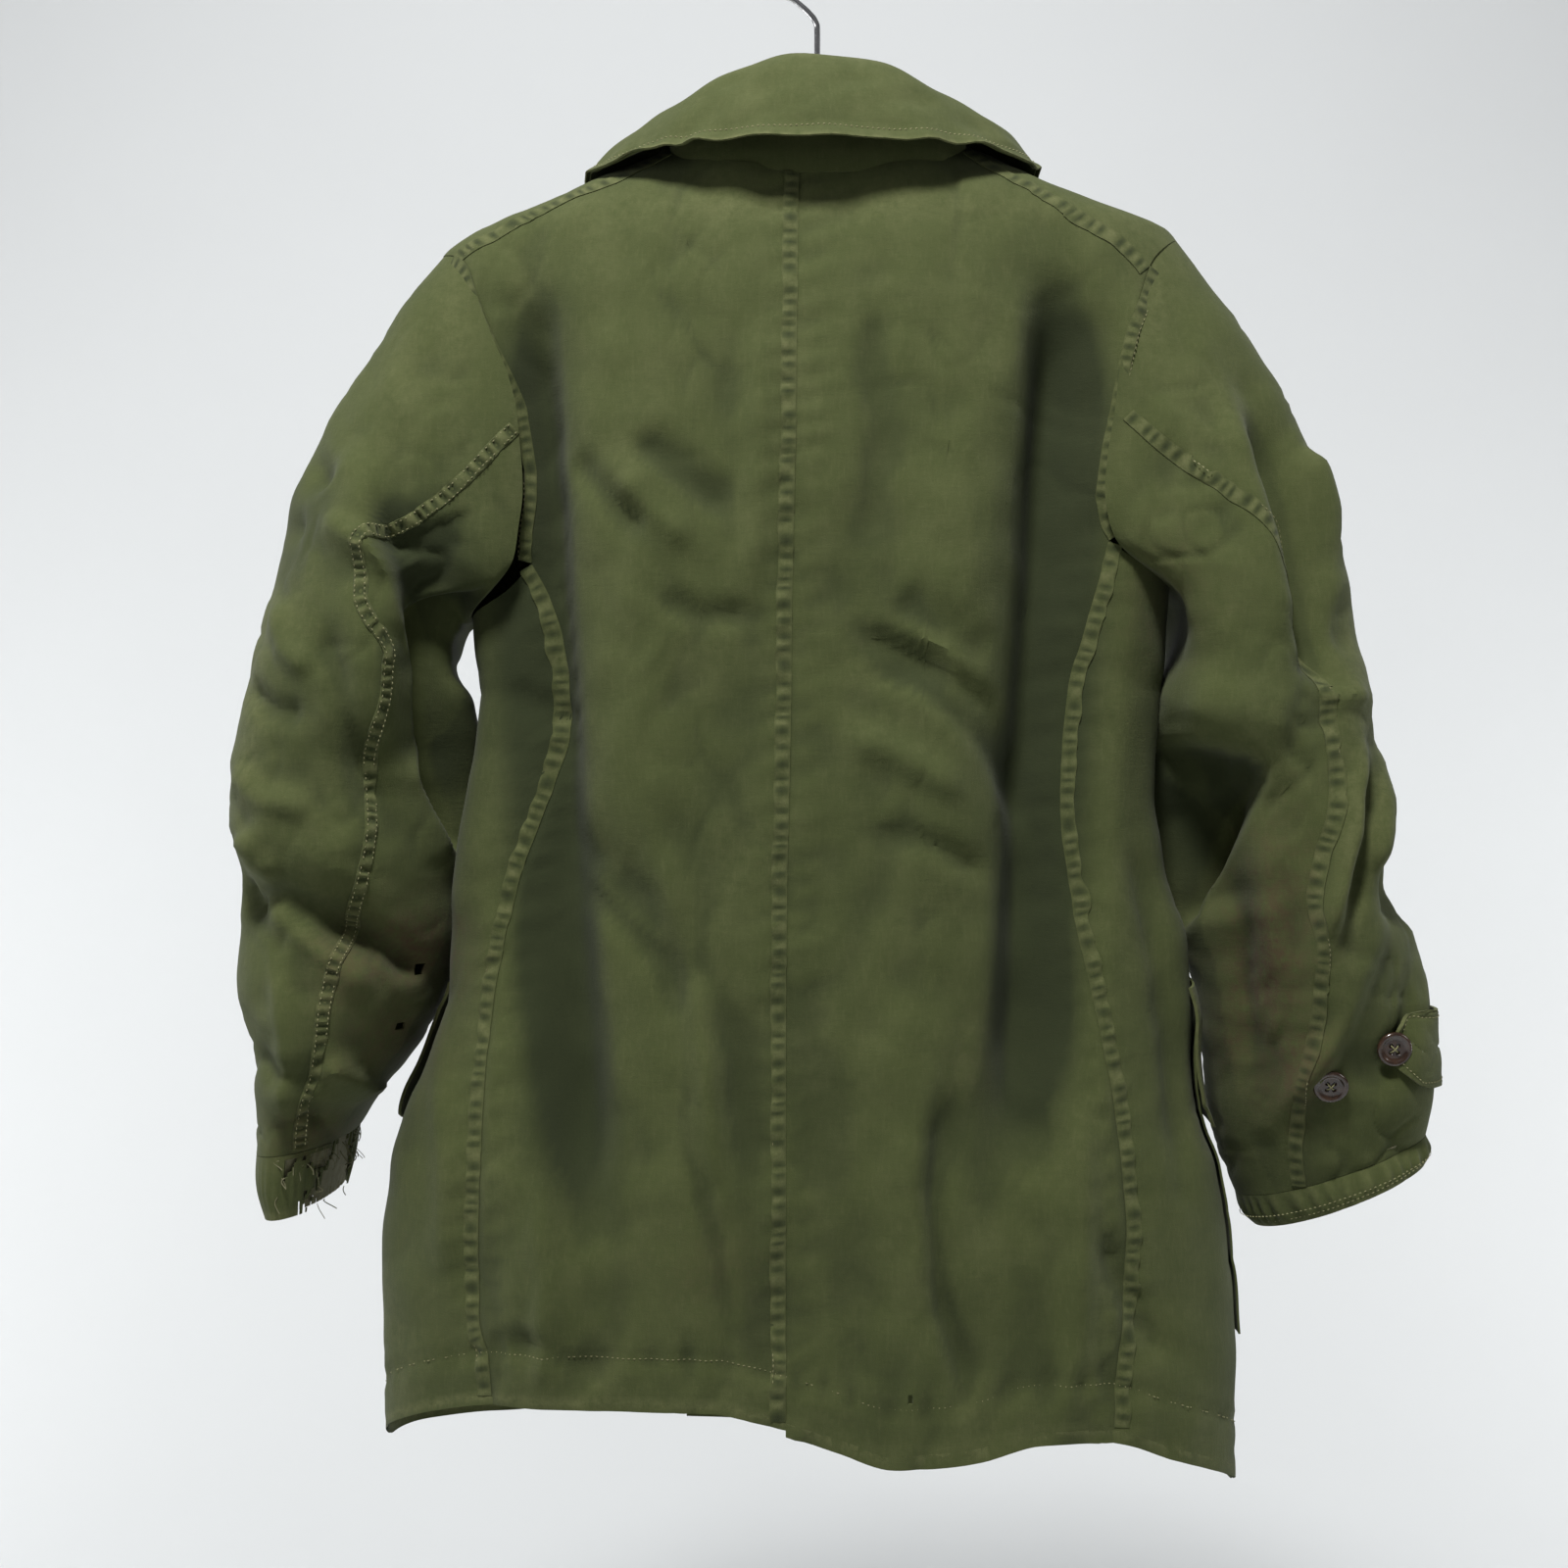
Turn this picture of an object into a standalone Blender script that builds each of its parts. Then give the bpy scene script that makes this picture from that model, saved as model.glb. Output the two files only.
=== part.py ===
"""Olive drab cotton mackinaw coat, hanging on a plain hanger with a wire hook.

The origin is the point where the hook bears. The coat's front faces -Y and its back faces +Y.
"""

import bpy
import numpy as np

MM = 0.001
TURN = 2.0 * np.pi

# Driving sizes in millimetres. Drop is the distance below the hook's bearing point.
CLOTH_WALL = 1.4
SEAM_PULL_BACK = 0.22
COLLAR_WALL = 1.2
LAYER_GAP = 0.45
LINING_GAP = 1.5
LINING_RISE = 0.3
BUTTON_GAP = 0.5
TAB_GAP = 2.9
TAB_WALL = 1.8
FRONT_LAP_INSET = 3.4
WIRE_DIAMETER = 3.8
HOOK_INNER_RADIUS = 22.0
BUTTON_DIAMETER = 21.5
BUTTON_HEIGHT = 3.6

OLIVE = (0.090, 0.100, 0.040, 1.0)
OLIVE_LINING = (0.150, 0.150, 0.085, 1.0)
BROWN = (0.030, 0.016, 0.010, 1.0)
CHROME = (0.62, 0.62, 0.63, 1.0)
WOOD = (0.33, 0.20, 0.10, 1.0)

# One row per level of the body: drop, left half width, right half width, mid y, back depth,
# front depth, squareness.
BODY = np.array((
    (104, 58, 56, 0, 32, 28, 2.00),
    (126, 84, 86, 0, 42, 38, 2.05),
    (152, 137, 141, 0, 48, 48, 2.08),
    (166, 170, 178, 0, 52, 54, 2.12),
    (186, 215, 224, 0, 57, 60, 2.16),
    (203, 236, 234, 0, 61, 65, 2.20),
    (240, 240, 237, 0, 67, 73, 2.30),
    (300, 234, 231, 0, 71, 80, 2.40),
    (360, 224, 222, -1, 73, 84, 2.45),
    (425, 217, 215, -2, 73, 86, 2.48),
    (480, 211, 209, -3, 72, 86, 2.50),
    (532, 212, 203, -4, 73, 86, 2.52),
    (590, 220, 220, -7, 75, 85, 2.55),
    (630, 222, 234, -8, 77, 85, 2.56),
    (670, 230, 237, -10, 79, 86, 2.58),
    (715, 250, 238, -11, 81, 87, 2.60),
    (745, 263, 244, -12, 82, 88, 2.60),
    (775, 270, 254, -12, 84, 89, 2.60),
    (860, 274, 264, -15, 87, 92, 2.60),
    (990, 273, 268, -17, 90, 96, 2.60),
), float)

# Armholes: drop, x on the back, x on the front. The first and last drops are the ridge and the underarm.
ARMHOLE_LEFT = np.array((
    (200, 0, 0),
    (205, 222, 224),
    (213, 214, 213),
    (234, 208, 202),
    (258, 199, 191),
    (282, 190, 184),
    (306, 185, 180),
    (330, 183, 178),
    (353, 182, 178),
    (374, 184, 181),
    (395, 187, 188),
    (411, 198, 200),
    (428, 0, 0),
), float)
ARMHOLE_RIGHT = np.array((
    (190, 0, 0),
    (197, 218, 220),
    (210, 206, 206),
    (234, 197, 195),
    (258, 188, 186),
    (282, 184, 181),
    (306, 181, 178),
    (330, 177, 176),
    (353, 175, 176),
    (369, 177, 178),
    (383, 182, 184),
    (396, 197, 199),
    (410, 0, 0),
), float)

# Side-back seams: drop, x.
SIDE_SEAM_LEFT = np.array((
    (395, 187), (414, 179), (438, 171), (473, 166), (502, 166), (526, 171), (556, 179), (591, 188),
    (626, 194), (662, 198), (709, 201), (768, 204), (827, 206), (857, 205), (880, 199), (912, 196),
), float)
SIDE_SEAM_RIGHT = np.array((
    (383, -182), (414, -175), (443, -168), (473, -161), (502, -158), (532, -156), (562, -156), (591, -159),
    (621, -162), (656, -168), (697, -175), (733, -181), (768, -185), (804, -188), (833, -188), (857, -186),
    (886, -182), (935, -179),
), float)
# Centre-back seam: drop, x.
CENTRE_SEAM = np.array(((156, 11), (239, 12), (327, 13), (415, 15), (503, 16), (591, 18), (708, 19), (930, 19)), float)

# Hem: ring angle in degrees, from the right front round the back to the left front, and its drop.
HEM = np.array((
    (-208, 955), (-180, 961), (-150, 966), (-120, 968), (-96, 970), (-75, 960), (-60, 948), (-48, 935), (-38, 922),
    (-28, 921), (-20, 929), (-10, 933), (-2, 922), (5, 912), (14, 903), (28, 903), (40, 903), (52, 911),
    (66, 924), (80, 936), (95, 946), (120, 949), (140, 952), (160, 947), (180, 948), (208, 950),
), float)

# Neck seam: ring angle in degrees, drop, from the right front end round the back to the left front end.
NECK = np.array((
    (-166, 219), (-150, 196), (-128, 160), (-104, 136), (-88, 128), (-72, 130), (-52, 140), (-30, 150), (0, 156),
    (30, 150), (52, 140), (72, 130), (88, 128), (104, 136), (128, 162), (150, 197), (166, 219),
), float)
NECK_POINT_LEFT = 60.0
NECK_POINT_RIGHT = -60.0
# Shoulder seams on the back: x, drop, from the neck point outwards.
SHOULDER_LEFT = np.array(((124, 156), (142, 163), (166, 173), (191, 185)), float)
SHOULDER_RIGHT = np.array(((-119, 155), (-138, 165), (-162, 180), (-186, 195)), float)

# Folds of the body: height in mm (a trough is negative), half width, then x and drop of each point.
BACK_FOLDS = (
    (-15, 19, ((176, 205), (171, 250), (167, 300), (164, 367), (160, 438), (156, 500), (152, 560))),
    (-9, 28, ((150, 520), (143, 610), (137, 690), (126, 790))),
    (8, 30, ((112, 280), (108, 440), (106, 600))),
    (-17, 22, ((-146, 205), (-148, 255), (-141, 308), (-133, 367), (-127, 438), (-124, 520), (-124, 600))),
    (-8, 28, ((-126, 560), (-126, 650), (-124, 790))),
    (8, 28, ((-84, 300), (-82, 440), (-74, 620))),
    (7, 30, ((-52, 640), (-60, 740), (-78, 830), (-90, 925))),
    (-5, 26, ((-106, 640), (-104, 760), (-118, 856), (-140, 930))),
    (6, 32, ((62, 640), (56, 760), (60, 905))),
    (-5, 28, ((20, 620), (10, 720), (-6, 800), (-14, 930))),
    (6, 24, ((176, 640), (172, 760), (170, 905))),
)
FRONT_FOLDS = (
    (-11, 24, ((166, 225), (160, 300), (152, 380), (146, 470))),
    (-11, 24, ((-163, 215), (-157, 300), (-150, 380), (-142, 470))),
    (7, 30, ((110, 260), (104, 420), (110, 600))),
    (7, 30, ((-112, 260), (-104, 420), (-112, 600))),
    (-5, 30, ((40, 620), (52, 760), (60, 930))),
    (-5, 30, ((-46, 600), (-58, 760), (-66, 930))),
)

# Sleeves: outer x, outer drop, inner x, inner drop, mid y, half depth, back seam and front seam in
# degrees round the section, share of the armhole's own shape.
SLEEVE_LEFT = np.array((
    (236, 200, 217, 428, 0, 54, 86, -80, 1.00),
    (262, 231, 221, 432, 0, 58, 86, -80, 0.97),
    (290, 273, 225, 437, 0, 63, 85, -82, 0.88),
    (314, 315, 228, 441, 1, 67, 80, -84, 0.74),
    (329, 350, 230, 446, 2, 69, 72, -86, 0.56),
    (338, 395, 230, 454, 3, 71, 82, -88, 0.36),
    (349, 441, 228, 463, 4, 72, 110, -86, 0.18),
    (357, 478, 218, 482, 0, 73, 108, -84, 0.06),
    (365, 522, 216, 514, -8, 74, 103, -82, 0.0),
    (367, 556, 219, 556, -12, 74, 105, -80, 0.0),
    (360, 592, 224, 592, -14, 73, 100, -80, 0.0),
    (361, 626, 226, 624, -15, 71, 92, -80, 0.0),
    (363, 658, 234, 656, -17, 70, 88, -82, 0.0),
    (354, 700, 255, 698, -18, 68, 87, -84, 0.0),
    (351, 738, 284, 734, -22, 64, 89, -86, 0.0),
    (351, 762, 300, 757, -24, 61, 96, -88, 0.0),
), float)
CUFF_LEFT = np.array(((351, 762.4, 300, 757.4, -24, 61), (350, 781, 305, 778, -25, 59), (346, 802, 309, 798, -26, 58)), float)
SLEEVE_RIGHT = np.array((
    (-229, 190, -215, 410, 0, 54, 93, -80, 1.00),
    (-256, 226, -220, 413, 0, 58, 92, -80, 0.97),
    (-280, 260, -225, 418, 0, 63, 90, -82, 0.88),
    (-303, 301, -228, 423, 1, 67, 84, -84, 0.74),
    (-320, 342, -229, 429, 2, 69, 77, -86, 0.56),
    (-331, 390, -228, 440, 3, 71, 72, -88, 0.36),
    (-338, 436, -224, 456, 4, 72, 68, -86, 0.18),
    (-344, 478, -213, 482, 0, 73, 66, -84, 0.06),
    (-346, 522, -208, 520, -8, 74, 66, -82, 0.0),
    (-357, 562, -216, 560, -12, 74, 78, -80, 0.0),
    (-358, 594, -226, 598, -13, 72, 88, -80, 0.0),
    (-378, 630, -240, 640, -14, 69, 96, -80, 0.0),
    (-385, 668, -249, 682, -13, 64, 104, -82, 0.0),
    (-388, 712, -253, 730, -16, 56, 112, -84, 0.0),
    (-386, 740, -262, 768, -18, 48, 118, -86, 0.0),
    (-384, 752, -274, 798, -19, 42, 122, -88, 0.0),
), float)
CUFF_RIGHT = np.array(((-384, 752.4, -274, 798.4, -19, 42), (-385, 762, -280, 809, -19, 42), (-384, 769, -286, 818, -19, 42)), float)

# How far the inner edge of a hanging sleeve lies in front of its middle.
SLEEVE_TILT = 18.0

SLEEVE_FOLDS_LEFT = (
    (9, 22, ((300, 330), (262, 372), (215, 385))),
    (-14, 24, ((236, 425), (234, 470), (236, 530))),
    (7, 20, ((276, 400), (268, 450), (268, 520))),
    (-9, 20, ((360, 594), (326, 606), (296, 618), (262, 636))),
    (8, 22, ((346, 556), (310, 568), (270, 580))),
    (6, 22, ((330, 660), (320, 700), (316, 740))),
)
SLEEVE_FOLDS_RIGHT = (
    (-16, 30, ((-232, 530), (-238, 575), (-248, 620))),
    (9, 20, ((-222, 486), (-252, 490), (-290, 496))),
    (-8, 22, ((-268, 300), (-284, 360), (-296, 430), (-300, 480))),
    (8, 22, ((-330, 500), (-326, 560), (-316, 620), (-304, 690))),
    (-7, 18, ((-364, 615), (-350, 670), (-334, 725))),
)
SLEEVE_FRONT_FOLDS = (
    (-8, 22, ((255, 425), (285, 440), (320, 450))),
    (8, 22, ((250, 480), (285, 485), (330, 490))),
    (-8, 22, ((255, 545), (285, 552), (330, 548))),
    (7, 22, ((268, 600), (300, 606), (340, 600))),
)

# Collar stations from the right front to the left front: neck seam angle, roll x, y, drop, edge x, y, drop.
COLLAR = np.array((
    (-152, -48, -88, 196, -84, -112, 262),
    (-134, -78, -73, 169, -117, -102, 223),
    (-112, -98, -47, 136, -139, -77, 181),
    (-101, -102, -26, 122, -142, -44, 161),
    (-90, -102, -4, 113, -142, 2, 144),
    (-66, -97, 16, 113, -130, 26, 146),
    (-46, -76, 26, 104, -104, 50, 144),
    (-22, -40, 38, 90, -52, 72, 147),
    (0, 4, 42, 85, 8, 78, 147),
    (22, 42, 38, 91, 60, 70, 147),
    (46, 74, 28, 105, 100, 54, 146),
    (66, 93, 16, 114, 131, 30, 151),
    (90, 101, -2, 116, 146, 4, 148),
    (101, 101, -24, 123, 147, -40, 165),
    (112, 98, -47, 139, 144, -75, 185),
    (134, 78, -73, 171, 119, -102, 227),
    (152, 48, -88, 197, 86, -112, 264),
), float)

# Column and row counts of the walls.
UPPER_FRONT_COLUMNS = 8
UPPER_BACK_COLUMNS = 6
UNDER_BACK_COLUMNS = 4
UNDER_BOTTOM_COLUMNS = 6
UNDER_FRONT_COLUMNS = 4
SIDE_ROWS = 15
NECK_COLUMNS = 4
SHOULDER_COLUMNS = 6
CREST_ROWS = 3
LAPEL_COLUMNS = 3
SLEEVE_ROWS = 17
COLLAR_ROWS = 7

# Right cuff tab, pockets and buttons.
TAB_TOP_DROP = 668.0
TAB_BOTTOM_DROP = 716.0
POCKET_TOP_DROP = 658.0
POCKET_BOTTOM_DROP = 880.0
FLAP_HEIGHT = 92.0
FLAP_SLOPE = 12.0
FLAP_FLARE = 2.5
FLAP_SEAM_GAP = 1.1
POCKET_GAP = 1.9
FRONT_BUTTON_DROPS = (330.0, 450.0, 570.0)
FRONT_BUTTON_X = 42.0


def clear_scene():
    for held in list(bpy.data.objects):
        bpy.data.objects.remove(held, do_unlink=True)


def material(name, colour, roughness, metallic=0.0):
    made = bpy.data.materials.new(name)
    made.use_nodes = True
    shader = made.node_tree.nodes["Principled BSDF"]
    shader.inputs["Base Color"].default_value = colour
    shader.inputs["Roughness"].default_value = roughness
    shader.inputs["Metallic"].default_value = metallic
    return made


def smooth(at, knots, values):
    """Values interpolated along the knots by cubic pieces that don't overshoot."""
    at = np.clip(np.asarray(at, float), knots[0], knots[-1])
    step = np.diff(knots)
    slope = np.diff(values, axis=0) / (step if values.ndim == 1 else step[:, None])
    tangent = np.empty_like(values)
    tangent[0] = slope[0]
    tangent[-1] = slope[-1]
    before = slope[:-1]
    after = slope[1:]
    product = before * after
    tangent[1:-1] = np.where(product > 0, 2.0 * product / np.where(product > 0, before + after, 1.0), 0.0)
    index = np.clip(np.searchsorted(knots, at, side="right") - 1, 0, len(step) - 1)
    width = step[index]
    t = (at - knots[index]) / width
    if values.ndim > 1:
        t = t[..., None]
        width = width[..., None]
    near = (2 * t**3 - 3 * t**2 + 1) * values[index] + (t**3 - 2 * t**2 + t) * width * tangent[index]
    far = (3 * t**2 - 2 * t**3) * values[index + 1] + (t**3 - t**2) * width * tangent[index + 1]
    return near + far


def ramp(value, low, high):
    t = np.clip((value - low) / (high - low), 0.0, 1.0)
    return t * t * (3.0 - 2.0 * t)


def unit(vectors):
    return vectors / np.maximum(np.linalg.norm(vectors, axis=-1, keepdims=True), 1e-9)


def fold_height(x, drop, folds):
    """Sum of the folds at points given by x and drop; each fades out at both ends."""
    total = np.zeros(np.broadcast(x, drop).shape)
    for height, half_width, points in folds:
        path = np.array(points, float)
        lengths = np.linalg.norm(np.diff(path, axis=0), axis=1)
        starts = np.concatenate(([0.0], np.cumsum(lengths)))
        nearest = np.full(total.shape, 1e9)
        along = np.zeros(total.shape)
        for start, end, begin, length in zip(path[:-1], path[1:], starts, lengths):
            direction = (end - start) / length
            reach = np.clip((x - start[0]) * direction[0] + (drop - start[1]) * direction[1], 0.0, length)
            gap = np.hypot(x - start[0] - reach * direction[0], drop - start[1] - reach * direction[1])
            closer = gap < nearest
            nearest = np.where(closer, gap, nearest)
            along = np.where(closer, begin + reach, along)
        share = along / starts[-1]
        fade = ramp(share, 0.0, 0.22) * ramp(1.0 - share, 0.0, 0.22)
        total += height * np.exp(-((nearest / half_width) ** 2)) * (0.25 + 0.75 * fade)
    return total


def body_ring(angle, drop):
    """Unfolded body point and outward direction at a ring angle (0 at centre back, positive to the left)."""
    angle, drop = np.broadcast_arrays(np.asarray(angle, float), np.asarray(drop, float))
    row = smooth(drop, BODY[:, 0], BODY[:, 1:])
    side = np.sin(angle)
    facing = np.cos(angle)
    width = np.where(side > 0, row[..., 0], row[..., 1])
    depth = np.where(facing > 0, row[..., 3], row[..., 4])
    power = row[..., 5]
    reach = (np.abs(side) ** power + np.abs(facing) ** power) ** (-1.0 / power)
    x = width * side * reach
    y = row[..., 2] + depth * facing * reach
    across = np.sign(side) * np.abs(side * reach) ** (power - 1.0) / width
    towards = np.sign(facing) * np.abs(facing * reach) ** (power - 1.0) / depth
    outward = unit(np.stack((across, towards, np.zeros_like(x)), axis=-1))
    return np.stack((x, y, -drop), axis=-1), outward


def body_angle(x, drop, front=False):
    """Ring angle of the body point with this x and drop on the back or the front."""
    row = smooth(np.asarray(drop, float), BODY[:, 0], BODY[:, 1:])
    width = np.where(np.asarray(x) > 0, row[..., 0], row[..., 1])
    share = np.clip(np.abs(x) / width, 0.0, 0.999999)
    facing = (1.0 - share ** row[..., 5]) ** (1.0 / row[..., 5])
    angle = np.arctan2(share, -facing if front else facing)
    return angle * np.sign(x)


def front_angle(x, drop, sign):
    """Ring angle of a point on the front of the half with this sign; it runs on past the centre."""
    angle = np.abs(body_angle(x, drop, front=True))
    return np.where(np.asarray(x) * sign > 0, angle, TURN - angle) * sign


def levels(domain):
    """Domain points of ring angle and drop as points of x and drop."""
    points, _ = body_ring(domain[..., 0], domain[..., 1])
    return np.stack((points[..., 0], domain[..., 1]), axis=-1)


def crest_domain(x, y):
    """Ring angle and drop of the points over the shoulders that lie at x and y."""
    low = np.full(x.shape, 100.0)
    high = np.full(x.shape, 262.0)
    for _ in range(40):
        middle = (low + high) / 2
        row = smooth(middle, BODY[:, 0], BODY[:, 1:])
        width = np.where(x > 0, row[..., 0], row[..., 1])
        depth = np.where(y > 0, row[..., 3], row[..., 4])
        outside = np.abs(x / width) ** row[..., 5] + np.abs(y / depth) ** row[..., 5] > 1.0
        low = np.where(outside, middle, low)
        high = np.where(outside, high, middle)
    angle = np.arctan2(np.abs(x) / width, y / depth) * np.sign(x)
    return np.stack((angle, middle), axis=-1)


def body(angle, drop, inset=0.0):
    """Folded body point; inset moves it inwards."""
    points, outward = body_ring(angle, drop)
    x = points[..., 0]
    level = -points[..., 2]
    facing = np.cos(np.broadcast_to(angle, x.shape))
    height = np.where(facing > 0, fold_height(x, level, BACK_FOLDS), fold_height(x, level, FRONT_FOLDS))
    height = height * ramp(np.abs(facing), 0.10, 0.45)
    return points + outward * (height - inset)[..., None]


def normals_of(surface, first, second, first_step, second_step):
    """Outward normals of a surface of two variables, by central differences."""
    along = surface(first + first_step, second) - surface(first - first_step, second)
    down = surface(first, second + second_step) - surface(first, second - second_step)
    return unit(np.cross(down, along))


def body_normal(angle, drop):
    made = normals_of(body, np.asarray(angle, float), np.asarray(drop, float), 2e-3, 0.6)
    _, outward = body_ring(angle, drop)
    return made * np.where((made * outward).sum(-1) < 0, -1.0, 1.0)[..., None]


def boundary_shift(points, keep):
    """Vectors that pull the edge points of the kept cells back from a seam."""
    rows, columns = points.shape[:2]
    shift = np.zeros_like(points)
    kept = np.zeros((rows + 1, columns + 1), bool)
    kept[1:-1, 1:-1] = keep
    for r in range(rows):
        for c in range(columns):
            cells = [(r + i, c + j) for i in (0, 1) for j in (0, 1) if kept[r + i, c + j]]
            if not cells or len(cells) == 4:
                continue
            middle = np.zeros(3)
            for i, j in cells:
                middle += points[i - 1:i + 1, j - 1:j + 1].reshape(-1, 3).mean(axis=0)
            inward = middle / len(cells) - points[r, c]
            ends = []
            if c > 0 and kept[r, c] != kept[r + 1, c]:
                ends.append(points[r, c - 1])
            if c < columns - 1 and kept[r, c + 1] != kept[r + 1, c + 1]:
                ends.append(points[r, c + 1])
            if r > 0 and kept[r, c] != kept[r, c + 1]:
                ends.append(points[r - 1, c])
            if r < rows - 1 and kept[r + 1, c] != kept[r + 1, c + 1]:
                ends.append(points[r + 1, c])
            if len(cells) == 2 and len(ends) == 2:
                tangent = unit(ends[1] - ends[0])
                inward = inward - tangent * inward.dot(tangent)
            scale = 1.0 if len(cells) == 2 else 1.35
            shift[r, c] = unit(inward) * SEAM_PULL_BACK * scale
    return shift


def new_object(name, points, faces, finish):
    """A mesh object from points in millimetres, its faces turned outwards."""
    mesh = bpy.data.meshes.new(name)
    corners = [points[list(face)] for face in faces]
    volume = sum(
        float(np.dot(corner[0], np.cross(corner[k], corner[k + 1])))
        for corner in corners
        for k in range(1, len(corner) - 1)
    )
    if volume < 0:
        faces = [tuple(reversed(face)) for face in faces]
    mesh.from_pydata((points * MM).tolist(), [], faces)
    mesh.polygons.foreach_set("use_smooth", [True] * len(mesh.polygons))
    mesh.set_sharp_from_angle(angle=0.7)
    mesh.materials.append(finish)
    made = bpy.data.objects.new(name, mesh)
    bpy.context.scene.collection.objects.link(made)
    return made


def wall(name, outer, inner, finish, keep=None, loop=False):
    """One thin closed solid between two matching grids of points; keep marks the cells that exist."""
    rows, columns = outer.shape[:2]
    cell_columns = columns if loop else columns - 1
    keep = np.ones((rows - 1, cell_columns), bool) if keep is None else keep
    used = {}
    points = []

    def index(layer, r, c):
        key = (layer, r, c % columns)
        if key not in used:
            used[key] = len(points)
            points.append((outer, inner)[layer][r, c % columns])
        return used[key]

    def kept(r, c):
        if loop:
            c %= cell_columns
        return 0 <= r < rows - 1 and 0 <= c < cell_columns and keep[r, c]

    faces = []
    for r in range(rows - 1):
        for c in range(cell_columns):
            if not kept(r, c):
                continue
            ring = ((r, c), (r, c + 1), (r + 1, c + 1), (r + 1, c))
            out = [index(0, *corner) for corner in ring]
            inn = [index(1, *corner) for corner in ring]
            faces.append((out[0], out[1], out[2]))
            faces.append((out[0], out[2], out[3]))
            faces.append((inn[0], inn[2], inn[1]))
            faces.append((inn[0], inn[3], inn[2]))
            beside = (kept(r - 1, c), kept(r, c + 1), kept(r + 1, c), kept(r, c - 1))
            for k, neighbour in enumerate(beside):
                if not neighbour:
                    n = (k + 1) % 4
                    faces.append((out[n], out[k], inn[k], inn[n]))
    return new_object(name, np.array(points), faces, finish)


def between(start, end, count):
    return np.linspace(start, end, count + 1)


def coons(top, bottom, left, right, rows_at, columns_at):
    """Domain grid of a four-sided patch whose sides are lists of ring angle and drop."""
    v = rows_at[:, None, None]
    u = columns_at[None, :, None]
    sides = (1 - v) * top[None] + v * bottom[None] + (1 - u) * left[:, None] + u * right[:, None]
    corners = (1 - v) * ((1 - u) * top[0] + u * top[-1]) + v * ((1 - u) * bottom[0] + u * bottom[-1])
    return sides - corners


def shares(path, weight=(150.0, 1.0)):
    """Distances along a domain path as shares of its length."""
    lengths = np.linalg.norm(np.diff(path, axis=0) * np.array(weight), axis=1)
    return np.concatenate(([0.0], np.cumsum(lengths))) / lengths.sum()


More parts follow.
